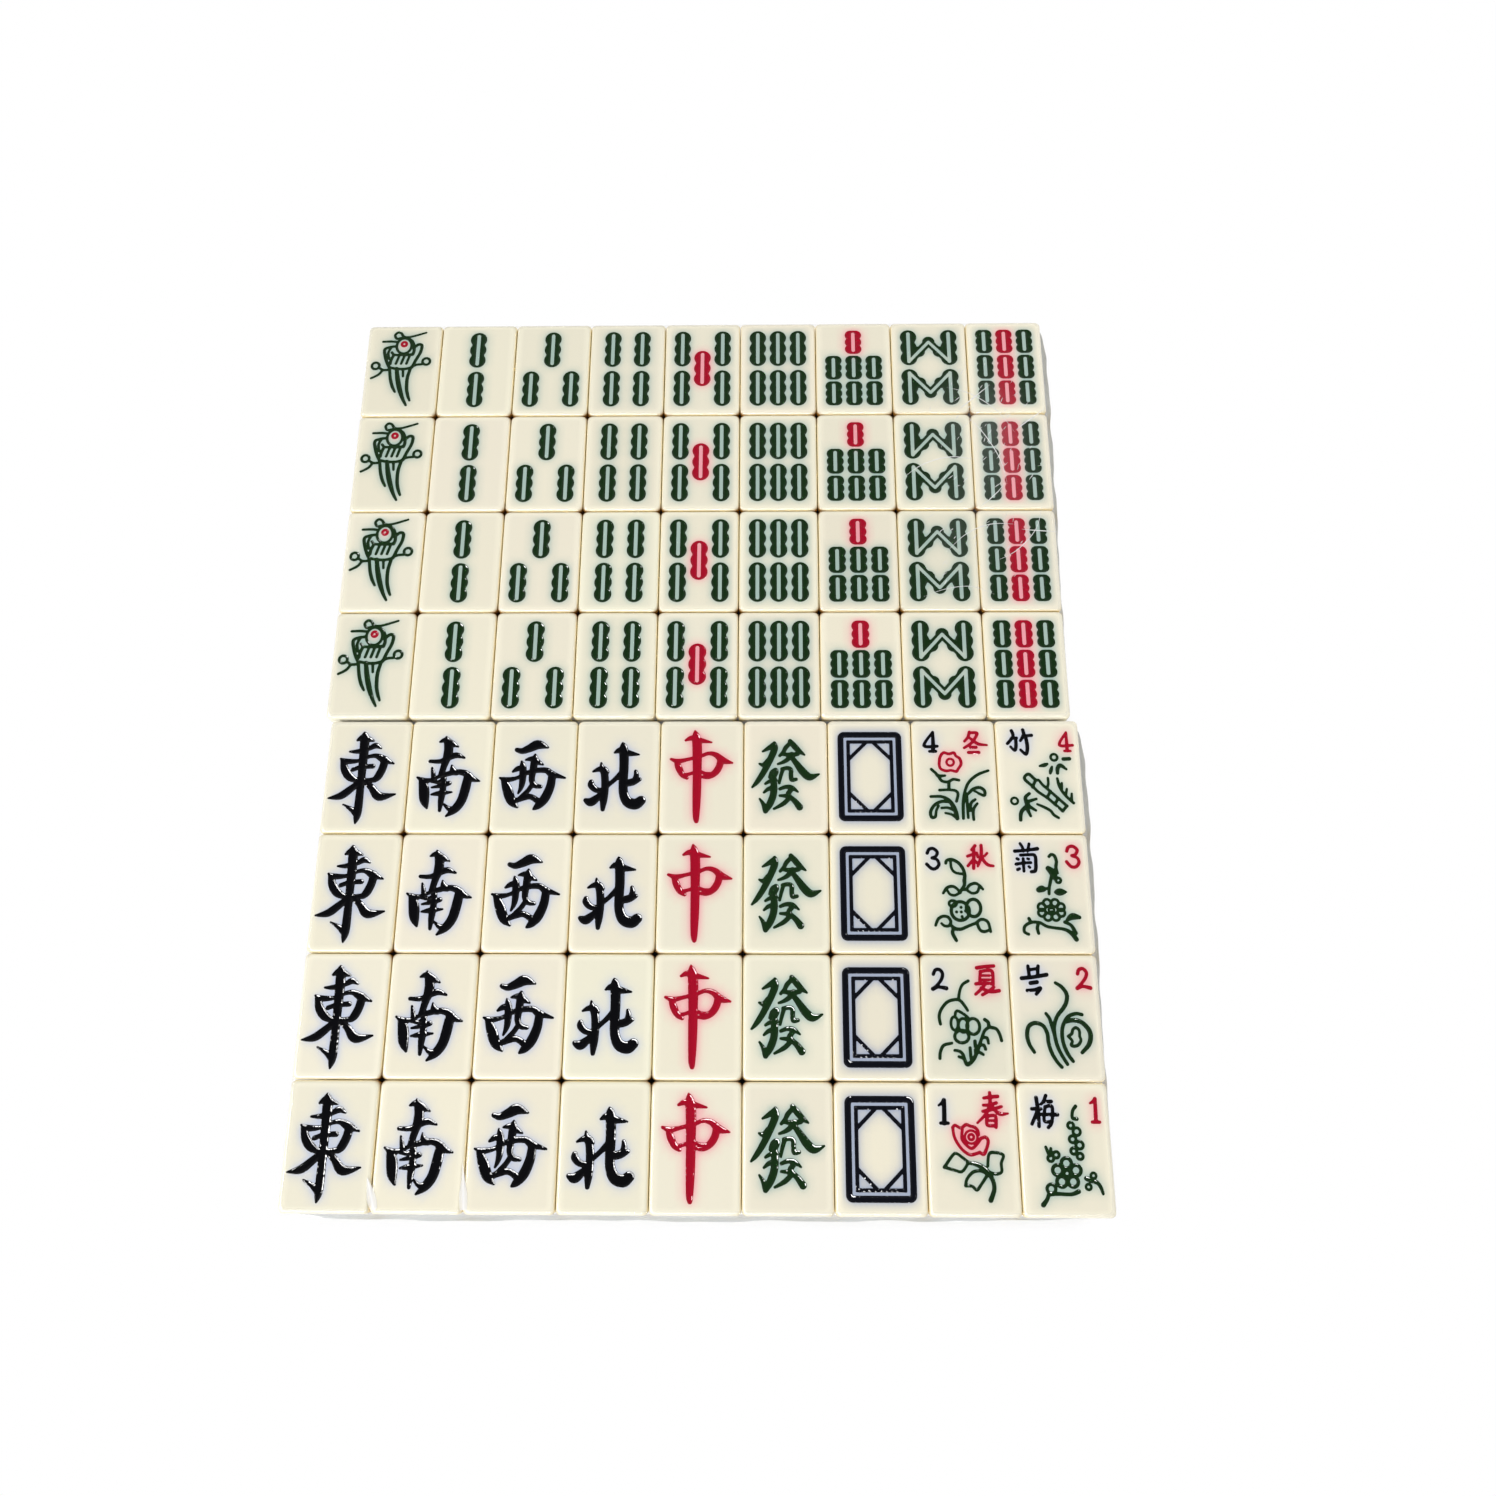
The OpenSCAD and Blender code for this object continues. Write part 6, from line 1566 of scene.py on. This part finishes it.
@dataclass
class Pack:
    """One wrapped pack of nine columns and four rows of tiles."""

    body: str
    columns: int = 9
    rows: int = 4
    size: TileSize = TILE
    rng: np.random.Generator = field(default_factory=lambda: np.random.default_rng(TILE_SEED))
    ivory: bpy.types.Material | None = None
    enamels: dict[Paint, bpy.types.Material] = field(default_factory=dict)

    def places(self, cad_node: str) -> list[np.ndarray]:
        """Finds a node's tiles.

        Args:
            cad_node: the node.

        Returns:
            The middle of each tile's base, from the nearest row to the farthest.
        """
        low, high = (np.array(c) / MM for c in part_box(cad_node))
        span = high[1] - low[1]
        count = max(1, round(span / self.size.length))
        pitch = (span - self.size.length) / max(count - 1, 1)
        x, y = (low[0] + high[0]) / 2, low[1] + self.size.length / 2
        first = np.array([x, y, high[2] - self.size.height])
        return [first + (0, pitch * k, 0) for k in range(count)]

    def show(self, mesh: Mesh, cad_node: str, material: bpy.types.Material, slot: str) -> None:
        """Builds a piece that stands for one CAD node and rides with the pack.

        Args:
            mesh: the piece.
            cad_node: the node that it replaces.
            material: its material.
            slot: not used.
        """
        obj = mesh.build(f"{cad_node}_look", material)
        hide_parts(cad_node)
        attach(obj, self.body)
        log.info("%s: %d points, %d polygons", cad_node, mesh.count, len(mesh.faces))

    def joined(self, column: int, row: int) -> Sides:
        """Whether a tile has a neighbour in its pack to the right, far, left and near side."""
        return (column < self.columns - 1, row < self.rows - 1, column > 0, row > 0)

    def tiles(self, maker: TileMaker, cad_node: str, column: int, row: int = 0) -> None:
        """Builds the like tiles of one node, each a hair lighter or darker than the next.

        Args:
            maker: what makes the tiles.
            cad_node: the node.
            column: its column, from 0 at the left.
            row: row of its first tile, from 0 at the near side.
        """
        whole = Mesh()
        for k, place in enumerate(self.places(cad_node)):
            one = maker.body(self.joined(column, row + k))
            hue = self.rng.normal(0, SHADE_SPREAD, 3) * HUE_SHARE
            shade = np.array([*(1 + hue + self.rng.normal(0, SHADE_SPREAD)), 1])
            one.tints = [t * shade for t in one.tints]
            whole.append(one, place)
        self.show(whole, cad_node, self.ivory, "tile_plastic")

    def like_column(self, stem: str, fields: dict[Paint, np.ndarray], column: int) -> None:
        """Builds a column of four like tiles and the paint in them.

        Args:
            stem: what its nodes' names begin with.
            fields: field of each paint in the mark.
            column: its place, from 0 at the left.
        """
        maker = TileMaker(fields)
        tiles_node = f"{stem}_tiles"
        self.tiles(maker, tiles_node, column)
        for paint in fields:
            whole, one = Mesh(), maker.paint(paint)
            for place in self.places(tiles_node):
                whole.append(one, place)
            self.show(whole, f"{stem}_{paint.name.lower()}", self.enamels[paint], paint.value)


class RearPack(Pack):
    """Pack of the bamboo suit, one to nine from left to right."""

    def build(self) -> None:
        """Builds the nine columns of bamboo tiles."""
        self.like_column("bamboo_1", brushed_fields(BIRD, SPREAD.bird), 0)
        for count in range(2, self.columns + 1):
            self.like_column(f"bamboo_{count}", Sticks().fields(count), count - 1)


class FrontPack(Pack):
    """Pack of the winds, the dragons, the seasons and the plants."""

    def build(self) -> None:
        """Builds seven like columns and two columns of single tiles."""
        for column, (stem, mark) in enumerate(LETTERED.items()):
            self.like_column(stem, brushed_fields(mark, SPREAD.lettered), column)
        self.like_column("white_dragon", DoubleFrame().fields(), len(LETTERED))
        for column, (kind, marks) in enumerate(FLOWERS.items(), len(LETTERED) + 1):
            self.flowers(kind, marks, column)

    def flowers(self, kind: str, marks: dict[str, Mark], column: int) -> None:
        """Builds the four single tiles of a column, and each paint on all four.

        Args:
            kind: what the names of the paint's nodes begin with.
            marks: mark of each tile, from the near one.
            column: its place, from 0 at the left.
        """
        painted: dict[Paint, Mesh] = {}
        for row, (stem, mark) in enumerate(marks.items()):
            maker = TileMaker(brushed_fields(mark, SPREAD.flowers))
            cad_node = f"{stem}_tile"
            self.tiles(maker, cad_node, column, row)
            place = self.places(cad_node)[0]
            for paint in maker.fields:
                painted.setdefault(paint, Mesh()).append(maker.paint(paint), place)
        for paint, mesh in painted.items():
            self.show(mesh, f"{kind}_{paint.name.lower()}", self.enamels[paint], paint.value)
FILM_WHITE = linear("#F4F6FA")
SEAM_GREY = "#CBCED0"


@dataclass(frozen=True)
class Fringe:
    """Shape of the welded seam that stands out of the wrap, in millimetres and as shares.

    Its width is a mean share of the seam's plus two sines, and it narrows to nothing at its ends.
    It narrows further towards the far end of the near side, and towards the near end of the right
    side. Each row of points out from the wrap is lifted by a sine of its own, and the right side
    curls up towards its far end.
    """

    steps: int = 160
    rows: tuple[float, ...] = (0.0, 0.35, 0.7, 1.0)
    mean: float = 0.8
    waving: float = 0.2
    long_turns: float = 31.0
    long_share: float = 0.5
    warp: float = 2.0
    warp_turns: float = 9.0
    short_turns: float = 83.0
    short_share: float = 0.22
    end_rise: float = 14.0
    end_least: float = 0.02
    near_taper: float = 0.55
    right_taper: float = 0.5
    least: float = 0.05
    flutter: float = 0.28
    flutter_turns: float = 47.0
    flutter_shift: float = 3.0
    curl: float = 5.5
    root: float = 0.02
    root_alpha: float = 0.3
    more_alpha: float = 0.35

    def width(self, t: np.ndarray, seam: float, near_side: bool) -> np.ndarray:
        """How far the seam stands out.

        Args:
            t: shares of the way along the side.
            seam: the seam's full width.
            near_side: whether it is the near side, or else the right one.

        Returns:
            Its width at each share.
        """
        long = np.sin(t * self.long_turns + self.warp * np.sin(t * self.warp_turns))
        wave = long * self.long_share + np.sin(t * self.short_turns) * self.short_share
        ends = np.clip(np.minimum(t, 1 - t) * self.end_rise, self.end_least, 1) ** 0.5
        width = seam * (self.mean + self.waving * wave) * ends
        width *= 1 - (self.near_taper * t**3 if near_side else self.right_taper * (1 - t) ** 2)
        return np.clip(width, self.least, seam - self.least)


FRINGE = Fringe()


@dataclass(frozen=True)
class Ripples:
    """Faint waves of a drawn sheet, in millimetres: lengths are those of one radian."""

    height: float = 0.02
    length: tuple[float, float] = (7.3, 5.9)
    warp: tuple[float, float] = (2.1, 1.7)
    warp_length: tuple[float, float] = (23.0, 19.0)

    def at(self, x: np.ndarray, y: np.ndarray) -> np.ndarray:
        """Height of the waves.

        It is a sine along x times one along y, each warped by a slower sine of the other.

        Args:
            x: places along x.
            y: places along y.

        Returns:
            The height at each place.
        """
        slow_x, slow_y = (np.sin(v / n) for v, n in zip((x, y), self.warp_length))
        across = self.height * np.sin(x / self.length[0] + self.warp[0] * slow_y)
        return across * np.sin(y / self.length[1] + self.warp[1] * slow_x)


@dataclass(frozen=True)
class Flecks:
    """Short slanting folds, each a painted glint: how many and how large, in millimetres and
    degrees.

    There are per_alpha for each whole alpha of painted reflection in a patch, scattered by a share
    of its radii.
    """

    per_alpha: int = 700
    scatter: float = 0.45
    slant: float = 50.0
    slant_spread: float = 14.0
    half: tuple[float, float] = (0.5, 1.8)
    widest: tuple[float, float] = (0.12, 0.32)
    tip: float = 0.03
    rim: float = 2.0


FLECKS = Flecks()


@dataclass
class Film:
    """Clear shrink film round one pack: a drawn sheet, and a welded seam that stands out of it.

    clear is the alpha of the top, and the next one that of the sides, whose white is a painted
    reflection of film seen edge-on. A crease is a row of numbers, as a stroke is, drawn white as a
    painted highlight. A patch of painted reflection has its middle's x and y, its two radii and
    the alpha that it adds.
    """

    body: str
    near_seam: bool
    material: bpy.types.Material
    creases: Rows = ()
    sheen: Rows = ()
    thick: float = 0.1
    edge: float = 1.75
    corner: float = 3.15
    seam: float = 2.6
    seam_height: float = 12.0
    seam_drop: float = 0.3
    below_top: float = 0.05
    clear: float = 0.0015
    # Alpha of the sides: a painted reflection of film seen edge-on
    edge_sheen: float = 0.11
    across: int = 96
    along: int = 60
    corner_points: int = 9
    rng: np.random.Generator = field(default_factory=lambda: np.random.default_rng(FILM_SEED))

    def __post_init__(self) -> None:
        """Reads the wrap's place, within its seams, from the CAD node of its upper film."""
        low, high = (np.array(c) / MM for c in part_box(self.cad_node("upper")))
        self.high = high - (self.seam, 0, 0)
        self.low = np.array([low[0], low[1] + (self.seam if self.near_seam else 0), 0.0])
        self.middle = (self.low + self.high) / 2
        self.span = self.high - self.low

    def cad_node(self, half: str) -> str:
        """Name of the CAD node of one half of the film."""
        return f"{self.body.split('_')[0]}_film_{half}"

    def sheen_colours(self, points: np.ndarray, base: float) -> np.ndarray:
        """White with an alpha that rises in the patches of painted reflection.

        Each patch adds its alpha times the exponential of minus twice the squared share of its
        radii.

        Args:
            points: points of the film.
            base: alpha away from the patches: clear film on top, a painted reflection on the
                sides.

        Returns:
            Their colours.
        """
        alpha = np.full(len(points), base)
        for x, y, rx, ry, gain in self.sheen:
            away = ((points[:, 0] - x) / rx) ** 2 + ((points[:, 1] - y) / ry) ** 2
            alpha += gain * np.exp(-2 * away)
        return np.column_stack([np.tile(FILM_WHITE, (len(points), 1)), np.clip(alpha, 0, 1)])

    def wrap(self, mesh: Mesh, levels: Sequence[tuple[float, float]]) -> int:
        """Adds a stretch of the film's sides.

        Args:
            mesh: mesh to add it to.
            levels: height and inset of each ring, from the lowest.

        Returns:
            Number of points in a ring.
        """
        rings = []
        for height, inset in levels:
            width, length = self.span[:2] - 2 * inset
            ring = rounded_ring(width, length, self.corner - inset, self.corner_points)
            points = at_height(ring + self.middle[:2], height)
            # The sides' alpha is a painted reflection of film seen edge-on
            rings.append((points, self.sheen_colours(points, self.edge_sheen)))
        mesh.stack(rings)
        return len(rings[0][0])

    def sheet(self) -> Mesh:
        """Top of the film, faintly rippled, its rounded edge and its sides down to the seam.

        Returns:
            The mesh.
        """
        mesh = Mesh()
        sides = zip(self.low + self.edge, self.high - self.edge, (self.across, self.along))
        gx, gy = (g.ravel() for g in np.meshgrid(*(np.linspace(*side) for side in sides)))
        points = np.column_stack([gx, gy, self.high[2] - self.below_top + Ripples().at(gx, gy)])
        start = mesh.add(points, self.sheen_colours(points, self.clear))
        rows, columns = np.arange(self.along - 1), np.arange(self.across - 1)
        a = start + (rows[:, None] * self.across + columns).ravel()
        mesh.close(np.column_stack([a, a + 1, a + self.across + 1, a + self.across]), True)
        levels = [(self.seam_height + self.thick, 0.0), (self.high[2] - self.edge, 0.0)]
        for turn in np.linspace(0, math.pi / 2, FILM_RINGS)[1:]:
            inset = self.edge * (1 - math.cos(turn))
            levels.append((self.high[2] - self.edge * (1 - math.sin(turn)), inset))
        self.wrap(mesh, levels)
        return mesh

    def base(self) -> Mesh:
        """Sides of the film from the seam down, and its underside.

        Returns:
            The mesh.
        """
        mesh, edge = Mesh(), self.edge
        levels = [(0.0, edge)]
        levels += [(edge * (1 - math.sin(t)), edge * (1 - math.cos(t))) for t in (1, 0.5, 0)]
        mesh.bottom(self.wrap(mesh, levels + [(self.seam_height - self.thick, 0.0)]))
        return mesh

    def flange(self, mesh: Mesh, near_side: bool, height: float) -> None:
        """Adds the welded seam standing out of one side, in the shape that Fringe gives.

        Args:
            mesh: mesh to add it to.
            near_side: whether it is on the near side, or else on the right one.
            height: its height at the wrap.
        """
        f, t = FRINGE, np.linspace(0, 1, FRINGE.steps)
        width = f.width(t, self.seam, near_side)
        along = (t - 0.5) * (self.span[0 if near_side else 1] - 2 * self.corner)
        curl = 0.0 if near_side else f.curl
        starts = []
        for share in f.rows:
            out = width * share
            wave = np.sin(t * f.flutter_turns + f.flutter_shift * share)
            lift = height + f.flutter * share * wave + curl * share * t
            if near_side:
                side = [self.middle[0] + along, self.low[1] + f.root - out, lift]
            else:
                side = [self.high[0] - f.root + out, self.middle[1] + along, lift]
            tint = rgba(SEAM_GREY, f.root_alpha + f.more_alpha * share)
            starts.append(mesh.add(np.column_stack(side), tint))
        k = np.arange(f.steps - 1)
        for near, far in zip(starts[:-1], starts[1:]):
            mesh.close(np.column_stack([near + k, far + k, far + k + 1, near + k + 1]), True)

    def crease(self, mesh: Mesh, fold: Sequence[float]) -> None:
        """Adds a thin fold in the top sheet, tapering to nothing at both ends.

        It is a ridge along a smooth curve, drawn white as a painted highlight, brightest along its
        middle line.

        Args:
            mesh: mesh to add it to.
            fold: x, y and width of each point that it curves through, in turn.
        """
        q = curve(fold, CREASE_STEPS)
        along = np.gradient(q[:, :2], axis=0)
        across = np.column_stack([-along[:, 1], along[:, 0]])
        across /= np.linalg.norm(along, axis=1)[:, None]
        starts = []
        for side, drop, alpha in CREASE_HIGHLIGHT_LINES:
            line = at_height(q[:, :2] + across * q[:, 2:3] * side, self.high[2] - drop)
            starts.append(mesh.add(line, rgba("#FFFFFF", alpha)))
        k = np.arange(len(q) - 1)
        for right, left in zip(starts[:-1], starts[1:]):
            mesh.close(np.column_stack([right + k, right + k + 1, left + k + 1, left + k]), True)

    def flecks(self) -> Iterator[Sequence[float]]:
        """Short slanting folds with painted glints, scattered about the patches of painted
        reflection.

        Returns:
            The folds, one after another, as creases.
        """
        f = FLECKS
        reach = self.span[:2] / 2 - self.edge - f.rim
        for x, y, rx, ry, gain in self.sheen:
            for _ in range(round(gain * f.per_alpha)):
                middle = np.array([x, y]) + self.rng.normal(0, f.scatter, 2) * (rx, ry)
                angle = math.radians(self.rng.normal(f.slant, f.slant_spread))
                along = np.array([math.cos(angle), math.sin(angle)])
                half = self.rng.uniform(*f.half) * along
                widest = self.rng.uniform(*f.widest)
                if (np.abs(middle - self.middle[:2]) < reach).all():
                    yield (*(middle - half), f.tip, *middle, widest, *(middle + half), f.tip)

    def build(self) -> None:
        """Builds the upper and the lower half of the film."""
        upper, lower = self.sheet(), self.base()
        for near_side in (False, True) if self.near_seam else (False,):
            self.flange(upper, near_side, self.seam_height + self.thick)
            self.flange(lower, near_side, self.seam_height - self.thick - self.seam_drop)
        for fold in [*self.creases, *self.flecks()]:
            self.crease(upper, fold)
        for mesh, half in ((upper, "upper"), (lower, "lower")):
            cad_node = self.cad_node(half)
            obj = mesh.build(f"{cad_node}_look", self.material)
            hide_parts(cad_node)
            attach(obj, self.body)
            log.info("%s: %d points", cad_node, mesh.count)


CREASE_STEPS = 10
# A crease's three lines: place across its width, depth below the film's top, and alpha of its
# painted highlight
CREASE_HIGHLIGHT_LINES = ((-0.5, 0.04, 0.45), (0.0, 0.005, 0.9), (0.5, 0.04, 0.45))
# Folds over the last two columns of the rear pack, drawn as painted highlights
REAR_CREASES = [
    (92, 120.5, 0.05, 96, 124, 0.45, 100, 127.5, 0.4, 104, 131, 0.05),
    (112.5, 112, 0.05, 116, 115, 0.5, 120, 118, 0.45, 123.5, 121, 0.05),
    (99.5, 82, 0.05, 102, 84.5, 0.4, 105, 87.5, 0.3, 107.5, 91, 0.05),
    (112, 72, 0.05, 116, 71.6, 0.4, 120, 71.3, 0.4, 124.5, 71, 0.05),
    (70, 92, 0.02, 78, 98, 0.3, 88, 101, 0.35, 97, 100, 0.05),
    (84, 62, 0.02, 92, 70, 0.25, 101, 74, 0.3, 110, 74, 0.02),
    (95, 118, 0.02, 101, 110, 0.35, 106, 100, 0.3, 108, 90, 0.02),
    (88, 130, 0.02, 97, 127, 0.3, 106, 120, 0.25, 112, 111, 0.02),
    (103, 60, 0.02, 110, 64, 0.3, 117, 72, 0.25, 120, 82, 0.02),
    (76, 46, 0.02, 84, 49, 0.2, 93, 50, 0.2, 101, 47, 0.02),
]
# Patches of painted reflection on the rear pack's film: middle, radii and added alpha
REAR_SHEEN = [(104, 100, 20, 40, 0.045), (88, 70, 14, 26, 0.025), (98, 118, 20, 18, 0.04)]
# Wide folds at the near edge of the front pack, drawn as painted highlights
FRONT_CREASES = [
    (-100.2, -145, 0.1, -99, -148.5, 2.0, -98.1, -151.5, 2.9, -97.2, -154.2, 2.2),
    (-71.2, -141, 0.1, -70.7, -146, 1.3, -70.4, -150, 2.5, -70, -154.2, 2.3),
]


PAPER = (0.8, 0.8, 0.8, 1)
# Metres over which the floor looks for what stands above it, and the shares of open sky between
# which it turns white to the camera: where less is open, a painted shade
GAP_DEPTH, OPEN_SKY = 0.012, (0.3, 0.75)


def floor_material() -> bpy.types.Material:
    """White paper: pure white to the camera where it lies open, and a painted shade in deep gaps.

    Returns:
        The material.
    """
    material = bpy.data.materials.new("white_paper_backdrop")
    tree = blank(material)
    paper = node(tree, "BsdfDiffuse", {"Color": PAPER})
    glow = node(tree, "Emission", {"Color": (1, 1, 1, 1), "Strength": 1.0})
    path = node(tree, "LightPath")
    # Ambient occlusion fades the white glow near the tiles and in deep gaps: a painted shade
    sky = node(tree, "AmbientOcclusion", {"Distance": GAP_DEPTH})
    shares = {"From Min": OPEN_SKY[0], "From Max": OPEN_SKY[1]}
    lit = node(tree, "MapRange", {"Value": sky.outputs["AO"]} | shares)
    seen = {0: path.outputs["Is Camera Ray"], 1: lit.outputs[0]}
    share = node(tree, "Math", seen, operation="MULTIPLY")
    layers = {0: share.outputs[0], 1: paper.outputs[0], 2: glow.outputs[0]}
    both = node(tree, "MixShader", layers)
    node(tree, "OutputMaterial", {"Surface": both.outputs[0]})
    return material


@dataclass(frozen=True)
class Studio:
    """Light of the white surround: strengths, and heights as the sine of their angle.

    The light fades from the horizon up to a dark ceiling, and the camera sees it white. Glossy
    surfaces see only the mirrored share of it, with one bright window round the near left, which
    draws the crisp lights along the edges of the paint and of the tiles.
    """

    zenith: float = 0.1
    horizon: float = 0.8
    fade_from: float = 0.35
    fade_to: float = 0.92
    mirrored: float = 0.25
    window: float = 20.0
    window_x: float = -0.62
    window_y: float = -0.79
    window_reach: float = 0.48
    window_height: float = 0.58
    window_half: float = 0.07

    def world(self) -> bpy.types.World:
        """Makes the world, from each ray's direction.

        The window takes the rays whose share along its bearing is enough, within its band of
        heights.

        Returns:
            The world.
        """
        world = bpy.data.worlds.new("studio")
        tree = blank(world)
        towards = node(tree, "TexCoord")
        axes = node(tree, "SeparateXYZ", {"Vector": towards.outputs["Generated"]})
        x, y, z = (axes.outputs[axis] for axis in "XYZ")
        heights = {"Value": z, "From Min": self.fade_from, "From Max": self.fade_to}
        heights |= {"To Min": self.horizon, "To Max": self.zenith}
        fade = node(tree, "MapRange", heights).outputs[0]
        path = node(tree, "LightPath")
        sideways = node(tree, "Math", {0: x, 1: self.window_x}, operation="MULTIPLY")
        towards_it = {0: y, 1: self.window_y, 2: sideways.outputs[0]}
        share = node(tree, "Math", towards_it, operation="MULTIPLY_ADD")
        enough = {0: share.outputs[0], 1: self.window_reach}
        beside = node(tree, "Math", enough, operation="GREATER_THAN")
        band = {0: z, 1: self.window_height, 2: self.window_half}
        level = node(tree, "Math", band, operation="COMPARE")
        both = {0: beside.outputs[0], 1: level.outputs[0]}
        pane = node(tree, "Math", both, operation="MULTIPLY")
        dim = node(tree, "Math", {0: fade, 1: self.mirrored}, operation="MULTIPLY")
        mirrored = {0: pane.outputs[0], 1: self.window, 2: dim.outputs[0]}
        glossy = node(tree, "Math", mirrored, operation="MULTIPLY_ADD")
        ray = {"Factor": path.outputs["Is Glossy Ray"], "A": fade, "B": glossy.outputs[0]}
        lit = node(tree, "Mix", ray)
        ray = {"Factor": path.outputs["Is Camera Ray"], "A": lit.outputs[0], "B": 1.0}
        seen = node(tree, "Mix", ray)
        light = {"Color": (1, 1, 1, 1), "Strength": seen.outputs[0]}
        back = node(tree, "Background", light)
        node(tree, "OutputWorld", {"Surface": back.outputs[0]})
        return world


def stage(half: float = 3.0, height: float = -0.0004) -> None:
    """Lays the white floor, which keeps a soft shadow, in a white surround.

    Args:
        half: half of the floor's side, in metres.
        height: its height, in metres.
    """
    mesh = bpy.data.meshes.new("floor")
    corners = [(x * half, y * half, height) for x, y in ((-1, -1), (1, -1), (1, 1), (-1, 1))]
    mesh.from_pydata(corners, [], [(0, 1, 2, 3)])
    mesh.materials.append(floor_material())
    floor = bpy.data.objects.new("floor", mesh)
    bpy.context.scene.collection.objects.link(floor)
    bpy.context.scene.world = Studio().world()


@dataclass(frozen=True)
class Lamp:
    """Soft rectangular lamp that faces the origin: its place and sides in metres, and watts."""

    name: str
    place: tuple[float, float, float]
    sides: tuple[float, float]
    watts: float

    def hang(self) -> None:
        """Hangs the lamp, unseen in the gloss, where the studio's window does its work."""
        data = bpy.data.lights.new(self.name, "AREA")
        data.shape = "RECTANGLE"
        data.size, data.size_y = self.sides
        data.energy = self.watts
        obj = bpy.data.objects.new(self.name, data)
        obj.location = self.place
        obj.visible_glossy = False
        obj.rotation_euler = (-Vector(self.place)).to_track_quat("-Z", "Y").to_euler()
        bpy.context.scene.collection.objects.link(obj)


LAMPS = (
    Lamp("left_key_strip", (-1.0, -0.9, 1.0), (1.7, 0.22), 24),
    Lamp("far_right_fill", (1.15, 0.9, 0.9), (1.0, 1.0), 13),
)


@dataclass(frozen=True)
class PhotoCamera:
    """Camera where the photo was taken, high in front: millimetres and degrees."""

    place: tuple[float, float, float] = (21.4, -119.0, 392.6)
    down: float = 73.5
    yaw: float = 3.2
    roll: float = -3.1
    lens: float = 27.8
    sensor: float = 36.0

    def stand(self) -> None:
        """Stands it up: it looks level along its yaw, then down, and then rolls."""
        down, yaw, roll = (math.radians(v) for v in (self.down, self.yaw, self.roll))
        upright = np.array([0, 0, 1])
        right = np.array([math.cos(yaw), math.sin(yaw), 0])
        level = np.array([-math.sin(yaw), math.cos(yaw), 0])
        ahead = math.cos(down) * level - math.sin(down) * upright
        up = math.sin(down) * level + math.cos(down) * upright
        turn = np.eye(4)
        turn[:3, 0] = math.cos(roll) * right + math.sin(roll) * up
        turn[:3, 1] = -math.sin(roll) * right + math.cos(roll) * up
        turn[:3, 2] = -ahead
        turn[:3, 3] = np.array(self.place) * MM
        data = bpy.data.cameras.new("photo_camera")
        data.sensor_width, data.lens = self.sensor, self.lens
        obj = bpy.data.objects.new("photo_camera", data)
        obj.matrix_world = Matrix(turn.tolist())
        scene = bpy.context.scene
        scene.collection.objects.link(obj)
        scene.camera = obj
        scene.view_settings.view_transform = "Standard"


def main() -> None:
    """Builds both packs, their film, the stage, the lamps and the camera."""
    logging.basicConfig(level=logging.INFO, format="%(name)s: %(message)s")
    shared = {
        "ivory": plastic(IVORY_PLASTIC),
        "enamels": {paint: plastic(finish) for paint, finish in ENAMELS.items()},
    }
    RearPack(REAR_BODY, **shared).build()
    FrontPack(FRONT_BODY, **shared).build()
    film = film_material()
    Film(REAR_BODY, False, film, REAR_CREASES, REAR_SHEEN).build()
    Film(FRONT_BODY, True, film, FRONT_CREASES).build()
    stage()
    for lamp in LAMPS:
        lamp.hang()
    PhotoCamera().stand()


if __name__ == "__main__":
    main()
